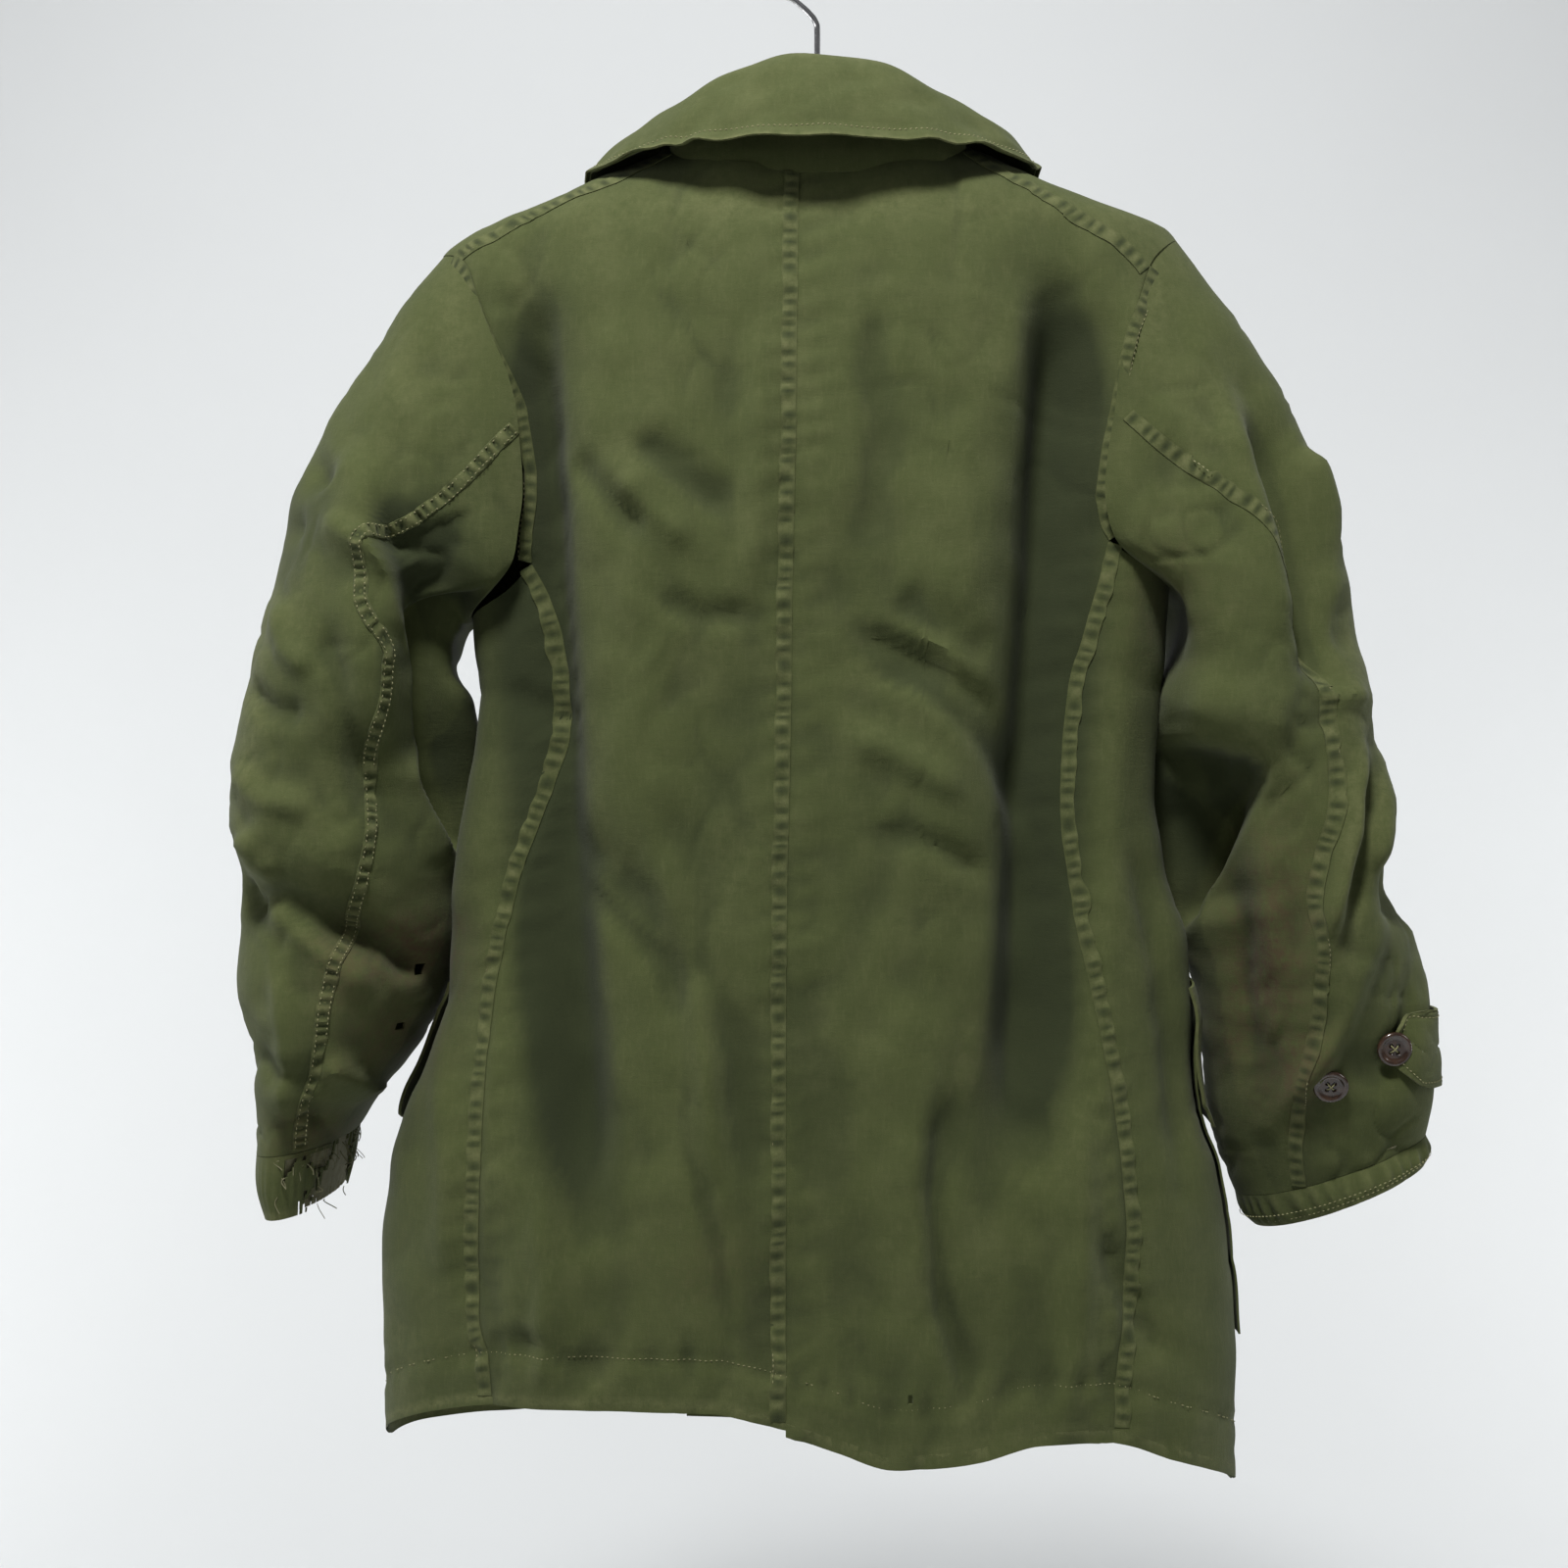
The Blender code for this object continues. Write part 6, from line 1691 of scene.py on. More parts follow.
@dataclass
class Coat:
    """The coat's cloth pieces, each a thin shell on the form of its solid, and its felled seams."""

    cotton: bpy.types.Material
    lining: bpy.types.Material
    thread: bpy.types.Material
    fell_offsets: tuple[float, ...] = (0.0, 0.35, 1.5, 4.6, 7.7, 8.9, 9.3)
    fell_heights: tuple[float, ...] = (-0.5, 0.75, 0.95, 0.7, 0.95, 0.75, -0.5)
    fell_pitch: float = 8.5
    stitch_rows: tuple[float, float] = (1.5, 7.7)
    stitch_rise: float = 0.95
    stitch_length: float = 2.3
    stitch_spacing: float = 3.3
    tear: Place = (-55.0, 899.0, 2.2)
    made: dict[str, bpy.types.Object] = field(default_factory=dict)

    def keep(self, node: str, piece: bpy.types.Object, slot: Slot = Slot.CLOTH) -> None:
        """Lets a piece stand for its CAD node and remembers it."""
        piece.name = node + "_cloth"
        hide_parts(node)
        self.made[node] = piece

    def sew(self, name: str, points: Array, normals: Array) -> None:
        """A row of the coat's stitches along points of a surface."""
        piece = dashes(name, points, normals, self.thread, self.stitch_length, self.stitch_spacing)

    def panel(self, node: str, grid: Array, keep: Optional[Array], inset: Array) -> None:
        """A body panel from its grid of ring angle and drop.

        Args:
            node: the CAD node it stands for.
            grid: ring angle and drop of its points.
            keep: which cells exist.
            inset: how far each point lies under its neighbour.
        """
        angle, drop = grid[..., 0], grid[..., 1]
        _, outward = body_ring(angle, drop)
        outer = body_form(angle, drop)
        normal = surface_normals(body_form, angle, drop, outward)
        outer = outer - outward * inset[..., None]
        marks = cloth_marks(outer[..., 0], -outer[..., 2], np.cos(angle))
        # Painted shade: darkening in deep folds and on the lower sides of the back's soft steps.
        deep = trough(outer[..., 0], -outer[..., 2], BACK_STEPS) * ramp(np.cos(angle), -0.1, 0.3)
        marks["painted_shade"] = np.clip(FOLD_PAINTED_SHADE * hollowness(outer) + deep, 0.0, 1.0)
        hem = np.exp(-(((drop - hem_drop(angle)) / 2.5) ** 2))
        marks["wear"] = np.maximum(marks["wear"], 0.8 * hem)
        if node == "back_right":
            middle = (outer[:-1, :-1] + outer[1:, 1:]) / 2
            torn_x, torn_drop, radius = self.tear
            torn = np.hypot(middle[..., 0] - torn_x, (-middle[..., 2] - torn_drop) * 0.45) < radius
            keep = ~torn if keep is None else keep & ~torn
        self.keep(node, wall(node, outer, outer - normal * CLOTH_WALL, self.cotton, keep, marks=marks))

    def body(self) -> None:
        """Both back panels and both fronts."""
        for side in (LEFT, RIGHT):
            grid = back_patch(side)
            self.panel("back_" + side.word, grid, None, np.zeros(grid.shape[:2]))
            grid, keep = front_patch(side)
            self.panel("front_" + side.word, grid, keep, lap_inset(side, grid))

    def sleeves(self) -> None:
        """Upper and under sleeves, their small holes cut through."""
        for side in (LEFT, RIGHT):
            upper, under = side.armhole_turns()
            last = len(side.sleeve_rows) - 1.0
            position = between(0.0, last, SLEEVE_ROWS)
            for layer, start_turns in ((Layer.UPPER, upper), (Layer.UNDER, under)):
                turn = sleeve_turns(side, position, start_turns, layer)
                at = np.broadcast_to(position[:, None], turn.shape)
                outer, inner = self.sleeve_walls(side, at, turn)
                keep = np.ones((outer.shape[0] - 1, outer.shape[1] - 1), bool)
                if side.sign > 0:
                    middle = (outer[:-1, :-1] + outer[1:, 1:]) / 2
                    for hole_x, hole_drop, radius in HOLES:
                        gap = np.hypot(middle[..., 0] - hole_x, -middle[..., 2] - hole_drop)
                        keep &= (gap > radius) | (np.sin(turn[:-1, :-1]) < 0)
                marks = cloth_marks(outer[..., 0], -outer[..., 2], np.sin(turn))
                steps = SLEEVE_STEPS_LEFT if side.sign > 0 else SLEEVE_STEPS_RIGHT
                # Painted shade: darkening in deep folds and on the lower sides of the sleeve's soft steps.
                deep = trough(outer[..., 0], -outer[..., 2], steps) * ramp(np.sin(turn), 0.0, 0.4)
                marks["painted_shade"] = np.clip(FOLD_PAINTED_SHADE * hollowness(outer) + 0.7 * deep, 0.0, 1.0)
                node = f"sleeve_{layer.value}_{side.word}"
                self.keep(node, wall(node, outer, inner, self.cotton, keep, marks=marks))

    def sleeve_walls(self, side: Side, at: Array, turn: Array) -> tuple[Array, Array]:
        """Outer and inner points of a sleeve at row positions and turns.

        Args:
            side: the half of the coat.
            at: row positions.
            turn: turns round the section.

        Returns:
            Outer and inner points.
        """
        outer = sleeve_form(side, at, turn)
        last = len(side.sleeve_rows) - 1.0
        low = np.clip(at, 0.02, last - 0.02)
        _, outward, _ = side.section(low, turn)
        step = 0.012
        along = sleeve_form(side, low, turn + step) - sleeve_form(side, low, turn - step)
        down = sleeve_form(side, low + step, turn) - sleeve_form(side, low - step, turn)
        normal = unit(np.cross(down, along))
        normal = normal * np.where((normal * outward).sum(-1) < 0, -1.0, 1.0)[..., None]
        return outer, outer - normal * CLOTH_WALL

    def seams(self) -> None:
        """The felled strips of the back, the armholes, the shoulders and the sleeves."""
        centre = np.linspace(160.0, 929.0, 420)
        x = smooth(centre, CENTRE_SEAM[:, 0], CENTRE_SEAM[:, 1])
        paths = {"centre": (np.stack((body_angle(x, centre), centre), axis=-1), -1.0)}
        for side in (LEFT, RIGHT):
            rows = side.side_seam_rows
            drops = np.linspace(rows[0, 0] + 1.0, rows[-1, 0], 300)
            x = smooth(drops, rows[:, 0], rows[:, 1])
            paths["side_" + side.word] = (np.stack((body_angle(x, drops), drops), axis=-1), -side.sign)
            turn = np.linspace(side.shoulder_turn, side.side_turn, 150)
            paths["armhole_" + side.word] = (side.armhole_domain(turn), -side.sign)
            shoulder = side.shoulder_domain()
            at = np.linspace(0.06, 1.0, 90)
            paths["shoulder_" + side.word] = (smooth(at, shares(shoulder), shoulder), side.sign)
        for seed, (word, (path, way)) in enumerate(paths.items()):
            if path[-1, 1] > 895.0:
                path = path[path[:, 1] < hem_drop(path[:, 0]) - 0.5]
            self.fell("seam_" + word, body_form, path, -way, (0.75, 40 + seed, 0.9))
        for side in (LEFT, RIGHT):
            last = len(side.sleeve_rows) - 1.0
            at = np.linspace(0.3, last - 0.12, 420)
            seam = smooth(at, np.arange(last + 1.0), side.sleeve_rows[:, 6])
            path = np.stack((at, np.radians(seam)), axis=-1)

            def swapped(turn: Array, position: Array, side: Side = side) -> Array:
                """The sleeve's points with its turn as the first variable."""
                return sleeve_form(side, np.clip(position / 100.0, 0.0, last), turn)

            domain = np.stack((path[:, 1], path[:, 0] * 100.0), axis=-1)
            self.fell("seam_sleeve_" + side.word, swapped, domain, side.sign, (0.95, 60, 0.95))

    def fell(
        self, name: str, surface: Surface, path: Array, way: float, dress: tuple[float, int, float]
    ) -> None:
        """One felled strip beside a path, with its two rows of stitches.

        Args:
            name: the strip's name.
            surface: points of the surface.
            path: the path in the surface's own variables.
            way: 1 or -1 for the side of the path on which the strip lies.
            dress: height of its puckers, their seed, and how worn its ridges are.
        """
        pucker, seed, wear = dress
        offsets = np.asarray(self.fell_offsets) * way
        piece = ribbon(
            name, surface, path, offsets, self.fell_heights, self.cotton, pucker, self.fell_pitch, seed, wear
        )
        self.stitch(name, surface, path, [row * way for row in self.stitch_rows])

    def stitch(self, name: str, surface: Surface, path: Array, offsets: Sequence[float]) -> None:
        """Rows of stitches beside a path.

        Args:
            name: the start of the objects' names.
            surface: points of the surface.
            path: the path in the surface's own variables.
            offsets: sideways places of the rows.
        """
        base = surface(path[:, 0], path[:, 1])
        _, _, normal = slopes(surface, path[:, 0], path[:, 1])
        lateral = np.cross(normal, unit(np.gradient(base, axis=0)))
        for number, offset in enumerate(offsets):
            row = base + lateral * offset + normal * self.stitch_rise
            self.sew(f"{name}_stitches_{number + 1}", row, normal)


@dataclass
class Cuff:
    """A cuff band with its lining, made round the end of a sleeve."""

    coat: Coat
    side: Side
    band_rows: int = 14
    lining_rows: int = 12
    tear_degrees: float = 16.0
    tear_spread: float = 34.0
    thread_count: int = 34

    def __post_init__(self) -> None:
        """Works out the turns of the ring and the sleeve's own end."""
        side = self.side
        self.last = len(side.sleeve_rows) - 1.0
        upper, under = side.armhole_turns()
        self.turn = np.concatenate((
            sleeve_turns(side, np.array([self.last]), upper, Layer.UPPER)[0],
            sleeve_turns(side, np.array([self.last]), under, Layer.UNDER)[0][1:-1],
        ))
        self.end = sleeve_form(side, np.full(len(self.turn), self.last), self.turn)
        self.plain, _, _ = side.section(self.last, self.turn)

    def ring(self, row: Array, inset: float, share: float) -> Array:
        """Points of one level.

        Args:
            row: the level's edges, mid y and half depth.
            inset: how far the ring lies inside the level.
            share: how much of the sleeve end's folds it keeps.

        Returns:
            One point for each turn.
        """
        half = np.array(((row[0] - row[2]) / 2, SLEEVE_TILT, -(row[1] - row[3]) / 2))
        centre = np.array(((row[0] + row[2]) / 2, row[4], -(row[1] + row[3]) / 2))
        size = np.linalg.norm(half)
        across = half * (size - inset) / size
        depth = np.array((0.0, row[5] - inset, 0.0))
        ring = centre + np.cos(self.turn)[:, None] * across + np.sin(self.turn)[:, None] * depth
        return ring + (self.end - self.plain) * share

    def build(self) -> None:
        """The band and the lining, both with the worn edges of the photograph."""
        side = self.side
        rows = side.cuff_rows
        left = side.sign > 0
        share = between(0.0, 1.0, self.band_rows)
        level = smooth(share * 2.0, np.arange(3.0), rows)
        fade = np.interp(share * 2.0, (0.0, 1.0, 2.0), (1.0, 0.6, 0.4))
        gather = np.sin(self.turn * 33.0 + 1.6 * np.sin(self.turn * 7.0)) * (0.5 if left else 1.7)
        shape = np.sin(np.pi * share)
        outer = np.stack([self.ring(row, -1.2 * s, f) for row, s, f in zip(level, shape, fade)])
        inner = np.stack([self.ring(row, CLOTH_WALL, f) for row, f in zip(level, fade)])
        plain = np.stack([self.ring(row, -1.0, f) for row, f in zip(level, fade)])
        out = unit(plain - inner)
        swell = (0.5 + 0.7 * gather[None] * (0.3 + 0.7 * shape[:, None]))[..., None] * shape[:, None, None]
        outer = outer + out * swell
        inner = inner + out * swell * 0.6
        if not left:
            low = (self.ring(rows[2], -2.4, 0.4), self.ring(rows[1], -2.4, 0.6))
            for number, (line, height) in enumerate(zip(low, (4.0, -2.0))):
                up = unit(line - self.ring(rows[2], CLOTH_WALL + 2.0, 0.4))
                closed = np.concatenate((line, line[:1])) + np.array((0.0, 0.0, height))
                self.coat.sew(f"cuff_stitches_{number + 1}", closed, np.concatenate((up, up[:1])))
        keep = np.ones((len(share) - 1, len(self.turn)), bool)
        where = (self.turn[None] + 0 * share[:-1, None]) % TURN
        dice = np.random.default_rng(9)
        ragged = 0.05 * np.sin(where * 61.0) + 0.05 * np.sin(where * 37.0 + share[:-1, None] * 17.0)
        ragged = ragged + dice.uniform(-0.05, 0.05, where.shape)
        if left:
            centre = np.radians(CUFF_TEAR_TURN)
            spread = np.radians(self.tear_spread) * share[:-1, None]
            reach = np.radians(self.tear_degrees) + spread + ragged * 2.0
            keep &= np.abs(where - centre) > reach
            slit = 0.20 + 0.16 * np.sin(where * 9.0 + 0.6) + ragged
            torn = (where > np.radians(88.0)) & (where < centre) & (share[:-1, None] < slit)
            keep &= ~torn | (share[:-1, None] < 0.01)
        drop = -outer[..., 2]
        marks = cloth_marks(outer[..., 0], drop, np.sin(np.broadcast_to(self.turn, drop.shape)))
        edge = np.exp(-((share[:, None] - 1.0) / 0.12) ** 2)
        marks["wear"] = np.clip(marks["wear"] + 0.8 * edge + 0.25 * np.clip(gather, 0, 1)[None], 0.0, 1.0)
        name = "cuff_" + side.word
        self.coat.keep(name, wall(name, outer, inner, self.coat.cotton, keep, True, marks))
        self.lining(ragged)
        if left:
            self.frays(outer, out)

    def frays(self, outer: Array, out: Array) -> None:
        """Loose threads that hang from the torn edge.

        Args:
            outer: points of the band's outer side.
            out: outward directions there.
        """
        dice = np.random.default_rng(17)
        share = np.linspace(0.0, 1.0, 12)[:, None]
        across = np.array((0.3, 1.0, 0.1))
        for number in range(self.thread_count):
            column = int(np.argmin(np.abs(self.turn % TURN - np.radians(dice.uniform(82.0, 196.0)))))
            row = int(dice.choice((0, 1, 2, 3, 5, 9, 13)))
            start = outer[row, column] + out[row, column] * dice.uniform(-0.6, 0.6)
            sway = dice.uniform(-5.0, 5.0)
            fall = dice.uniform(4.0, 13.0)
            curl = dice.uniform(-3.0, 3.0) * np.sin(share * dice.uniform(2.0, 5.0))
            path = start + share * np.array((sway, 0.0, -fall)) + curl * np.array((1.0, 0.0, 0.3))
            path = path + out[row, column] * (0.4 + 2.0 * share * dice.uniform(0.0, 1.0))
            radius = dice.uniform(0.22, 0.4)
            piece = tube(f"fray_{number + 1}", path, radius, self.coat.lining, across, 5)

    def lining(self, ragged: Array) -> None:
        """The inner layer, which shows through the tear and below the band.

        Args:
            ragged: how ragged its lower edge is at each turn.
        """
        side = self.side
        rows = side.cuff_rows
        above = np.full(len(self.turn), self.last - LINING_RISE)
        raised = side.sleeve(above, self.turn)
        inwards = side.sleeve_normal(above, self.turn)
        share = between(0.0, 1.0, self.lining_rows)
        low = rows[1] + (rows[2] - rows[1]) * (0.86 if side.sign > 0 else 0.7)
        level = smooth(share * 2.0, np.arange(3.0), np.stack((rows[0], rows[1], low)))
        fade = np.interp(share * 2.0, (0.0, 1.0, 2.0), (1.0, 0.6, 0.45))
        layers = []
        for depth in (CLOTH_WALL + LINING_GAP, 2 * CLOTH_WALL + LINING_GAP):
            rings = [raised - inwards * depth]
            rings += [self.ring(row, depth, f) for row, f in zip(level, fade)]
            layers.append(np.stack(rings))
        keep = np.ones((len(share), len(self.turn)), bool)
        keep[-1] = ragged[-1] < 0.02
        keep[-2] = ragged[-2] < 0.08
        marks = {"wear": np.full(layers[0].shape[:2], 0.35), "stain": np.zeros(layers[0].shape[:2])}
        name = "cuff_lining_" + side.word
        piece = wall(name, layers[0], layers[1], self.coat.lining, keep, True, marks)
        self.coat.keep(name, piece, Slot.LINING)


def vertex_normals(points: Array) -> Array:
    """Unit normals of a grid of points, from its own differences."""
    return unit(np.cross(np.gradient(points, axis=1), np.gradient(points, axis=0)))


@dataclass
class Collar:
    """The folded collar: its upper layer with the edge stitching and the layer under it."""

    coat: Coat
    stitch_shares: tuple[float, ...] = (0.925, 0.10, 0.17)
    stitch_height: float = 0.15
    stand_tuck: float = 5.0

    def __post_init__(self) -> None:
        """Works out the collar's own surface with its soft creases."""
        base = collar_surface()
        normal = vertex_normals(base)
        if normal[len(base) // 2, -2, 1] < 0:
            normal = -normal
        share = between(0.0, 1.0, COLLAR_ROWS)[None, :]
        station = np.linspace(0.0, 1.0, len(base))[:, None]
        fall = ramp(share, 0.42, 0.75)
        creases = 2.4 * np.sin(station * 47.0 + 3.0 * np.sin(station * 9.0)) * fall * (1.1 - share)
        fine = 1.1 * np.sin(station * 113.0 + 2.0 * np.sin(station * 31.0)) * ramp(share, 0.8, 1.0)
        creases = creases + fine
        stand = 0.7 * np.sin(station * 71.0 + share * 6.0) * ramp(share, 0.04, 0.12) * (1.0 - fall)
        edge = -1.1 * np.exp(-(((share - 0.925) / 0.012) ** 2)) + 0.6 * ramp(share, 0.93, 0.96)
        soft = 2.0 * unevenness(base[..., 0], -base[..., 2] * 1.5 + base[..., 1], 51, 42.0, 1.0) * fall
        self.surface = base + normal * (creases + stand + edge + soft)[..., None]
        tucked = 1.0 - ramp(np.abs(station[:, 0] - 0.5), 0.30, 0.38)
        self.surface[:, 0, 2] -= self.stand_tuck * tucked
        self.surface[:, 0, 1] -= 1.6 * tucked
        self.normal = normal

    def build(self) -> None:
        """Both layers, the stitched row along the fall's edge and the rows on the stand."""
        coat = self.coat
        rows = np.linspace(0.0, 1.0, self.surface.shape[1])[None, :] + np.zeros(self.surface.shape[:2])
        rim = np.exp(-(((rows - 1.0) / 0.02) ** 2))
        roll = np.exp(-(((rows - 0.45) / 0.06) ** 2))
        patches = unevenness(self.surface[..., 0], self.surface[..., 2], 61, 20.0, 1.0)
        wear = 0.12 + 0.75 * rim + 0.35 * roll + 0.2 * np.clip(patches, 0.0, 1.0)
        marks = {"wear": np.clip(wear, 0.0, 1.0), "stain": np.zeros(rows.shape)}
        thick = self.normal * COLLAR_WALL
        upper = wall("collar_upper", self.surface, self.surface - thick, coat.cotton, marks=marks)
        coat.keep("collar_upper", upper)
        under = self.surface - self.normal * (COLLAR_WALL + LAYER_GAP)
        marks = {key: grid[:, :-1] for key, grid in marks.items()}
        lower = wall("collar_under", under[:, :-1], (under - thick)[:, :-1], coat.cotton, marks=marks)
        coat.keep("collar_under", lower)
        last = self.surface.shape[1] - 1
        for number, share in enumerate(self.stitch_shares):
            at = share * last
            low = int(at)
            line = self.surface[:, low] * (low + 1 - at) + self.surface[:, low + 1] * (at - low)
            up = self.normal[:, low]
            coat.sew(f"collar_stitches_{number + 1}", line + up * self.stitch_height, up)


@dataclass
class Pocket:
    """A patch pocket and its flap on one front."""

    coat: Coat
    side: Side
    fore_degrees: float = 141.0
    patch_inset: float = 9.0
    patch_start: float = 14.0
    flap_corner: float = 26.0
    rim_width: float = 5.0

    def __post_init__(self) -> None:
        """Works out the ring angles of the pocket's rear and fore edges."""
        self.rear = np.radians(71.0 if self.side.sign < 0 else 95.0)
        self.fore = np.radians(self.fore_degrees)

    def base(self, angle: Array, drop: Array) -> tuple[Array, Array]:
        """The front's outer points and normals at ring angles and drops.

        Args:
            angle: ring angle of the points, 0 at centre back.
            drop: their distance below the hook's bearing point.

        Returns:
            Points and normals.
        """
        grid = np.stack((angle, drop), axis=-1)
        _, outward = body_ring(angle, drop)
        normal = surface_normals(body_form, angle, drop, outward)
        points = body_form(angle, drop) - outward * lap_inset(self.side, grid)[..., None]
        return points, normal

    def build(self) -> None:
        """The patch and the flap over it."""
        sign = self.side.sign
        start = self.rear + np.radians(self.patch_inset)
        angle = start + (self.fore - start) * between(0.0, 1.0, 56)
        drop = between(POCKET_TOP_DROP + self.patch_start, POCKET_BOTTOM_DROP, 64)
        grid_angle, grid_drop = np.meshgrid(angle * sign, drop)
        points, normal = self.base(grid_angle, grid_drop)
        inner = points + normal * POCKET_GAP
        marks = cloth_marks(inner[..., 0], grid_drop, np.ones(grid_drop.shape))
        name = "pocket_" + self.side.word
        self.coat.keep(name, wall(name, inner + normal * CLOTH_WALL, inner, self.coat.cotton, marks=marks))
        share = between(0.0, 1.0, 64)
        low = between(0.0, 1.0, 32)
        corner = self.flap_corner
        near = np.clip((low * FLAP_HEIGHT - (FLAP_HEIGHT - corner)) / corner, 0.0, 1.0)
        rounding = np.radians(6.5) * (1.0 - np.sqrt(1.0 - near**2))
        first = self.rear + rounding + np.radians(3.0) * low
        end = self.fore - rounding
        flap_angle = first[:, None] + (end - first)[:, None] * share[None]
        flap_drop = np.broadcast_to((POCKET_TOP_DROP + low * FLAP_HEIGHT)[:, None], flap_angle.shape)
        flap_drop = flap_drop - FLAP_SLOPE * np.sin((share[None] - 0.1) * 1.2)
        points, normal = self.base(flap_angle * sign, flap_drop)
        over_patch = POCKET_GAP + CLOTH_WALL + 1.1 - FLAP_SEAM_GAP
        spread = (FLAP_SEAM_GAP + over_patch * np.minimum(low * 5.0, 1.0) + FLAP_FLARE * low**1.5)[:, None]
        rear_rim = np.exp(-((share[None] * 60.0 / self.rim_width) ** 2))
        rim = np.maximum(rear_rim, np.exp(-(((1 - low[:, None]) * FLAP_HEIGHT / self.rim_width) ** 2)))
        inner = points + normal * spread[..., None]
        outer = inner + normal * (CLOTH_WALL + 0.7 * rim)[..., None]
        marks = cloth_marks(outer[..., 0], flap_drop, np.ones(flap_drop.shape))
        marks["wear"] = np.clip(marks["wear"] + 0.6 * rim, 0.0, 1.0)
        name = "flap_" + self.side.word
        self.coat.keep(name, wall(name, outer, inner, self.coat.cotton, marks=marks))


@dataclass
class Tab:
    """The strap round the outer edge of the right cuff, with a stitched edge and a buttonhole."""

    coat: Coat
    start_degrees: float = 58.0
    end_degrees: float = -62.0
    nose_degrees: float = 24.0
    width: float = 48.0
    length: float = 110.0

    def __post_init__(self) -> None:
        """Samples where the sleeve passes each drop."""
        self.turns = np.linspace(np.radians(-70.0), np.radians(155.0), 120)
        self.places = between(5.0, len(RIGHT.sleeve_rows) - 1.0, 240)
        at, turn = np.meshgrid(self.places, self.turns, indexing="ij")
        self.points = sleeve_form(RIGHT, at, turn)

    def place(self, turn: Array, drop: Array) -> Array:
        """Row positions where the sleeve passes these drops at these turns.

        Args:
            turn: turns round the sleeve.
            drop: drops to look for.

        Returns:
            Row positions in the sleeve's table.
        """
        table = np.stack([
            np.interp(np.linspace(600.0, 800.0, 201), -self.points[:, k, 2], self.places)
            for k in range(len(self.turns))
        ])
        column = np.clip(np.interp(turn, self.turns, np.arange(len(self.turns))), 0, len(self.turns) - 1.001)
        level = np.clip(np.asarray(drop) - 600.0, 0.0, 199.9)
        c, r = column.astype(int), level.astype(int)
        u, v = column - c, level - r
        low = table[c, r] * (1 - v) + table[c, r + 1] * v
        high = table[c + 1, r] * (1 - v) + table[c + 1, r + 1] * v
        return low * (1 - u) + high * u

    def on_sleeve(self, turn: Array, drop: Array) -> tuple[Array, Array]:
        """Points and normals of the sleeve at turns and drops."""
        at = self.place(turn, drop)
        outer, inner = self.coat.sleeve_walls(RIGHT, at, turn)
        return outer, unit(outer - inner)

    def build(self) -> None:
        """The strap itself and the row of stitches round its edge."""
        width = between(0.0, 1.0, 24)[:, None]
        length = between(0.0, 1.0, 72)[None, :]
        first, last = np.radians(self.start_degrees), np.radians(self.end_degrees)
        bow = np.sqrt(np.maximum(1.0 - (2.0 * width - 1.0) ** 2, 0.0))
        start = first - np.radians(self.nose_degrees) * (1.0 - bow)
        turn = start + (last - start) * length
        drop = TAB_TOP_DROP + (TAB_BOTTOM_DROP - TAB_TOP_DROP) * width + 4.0 * np.cos(turn)
        points, normal = self.on_sleeve(turn, drop)
        edge = np.minimum(np.minimum(width, 1.0 - width) * self.width, length * self.length)
        ridge = 0.35 * ramp(edge, 0.0, 2.0) - 0.45 * np.exp(-(((edge - 4.0) / 1.1) ** 2))
        hole = np.exp(-(((width - 0.5) * self.width / 1.3) ** 2)) * ((length > 0.30) & (length < 0.44))
        inner = points + normal * (TAB_GAP - 0.4)
        outer = points + normal * (TAB_GAP + TAB_WALL + ridge - 1.2 * hole)[..., None]
        marks = cloth_marks(outer[..., 0], drop, np.ones(drop.shape))
        marks["wear"] = np.clip(marks["wear"] + 0.7 * np.exp(-((edge / 1.8) ** 2)), 0.0, 1.0)
        self.coat.keep("cuff_tab_right", wall("cuff_tab_right", outer, inner, self.coat.cotton, marks=marks))
        row, column = 2, 3

        def rim(grid: Array) -> Array:
            """Values of a grid along its three sewn edges."""
            return np.concatenate((grid[row, :column:-1], grid[row:-row, column], grid[-row - 1, column:]))

        ups = rim(normal)
        piece = dashes("tab_stitches", rim(outer) + ups * 0.2, ups, self.coat.thread, 2.2, 3.0)


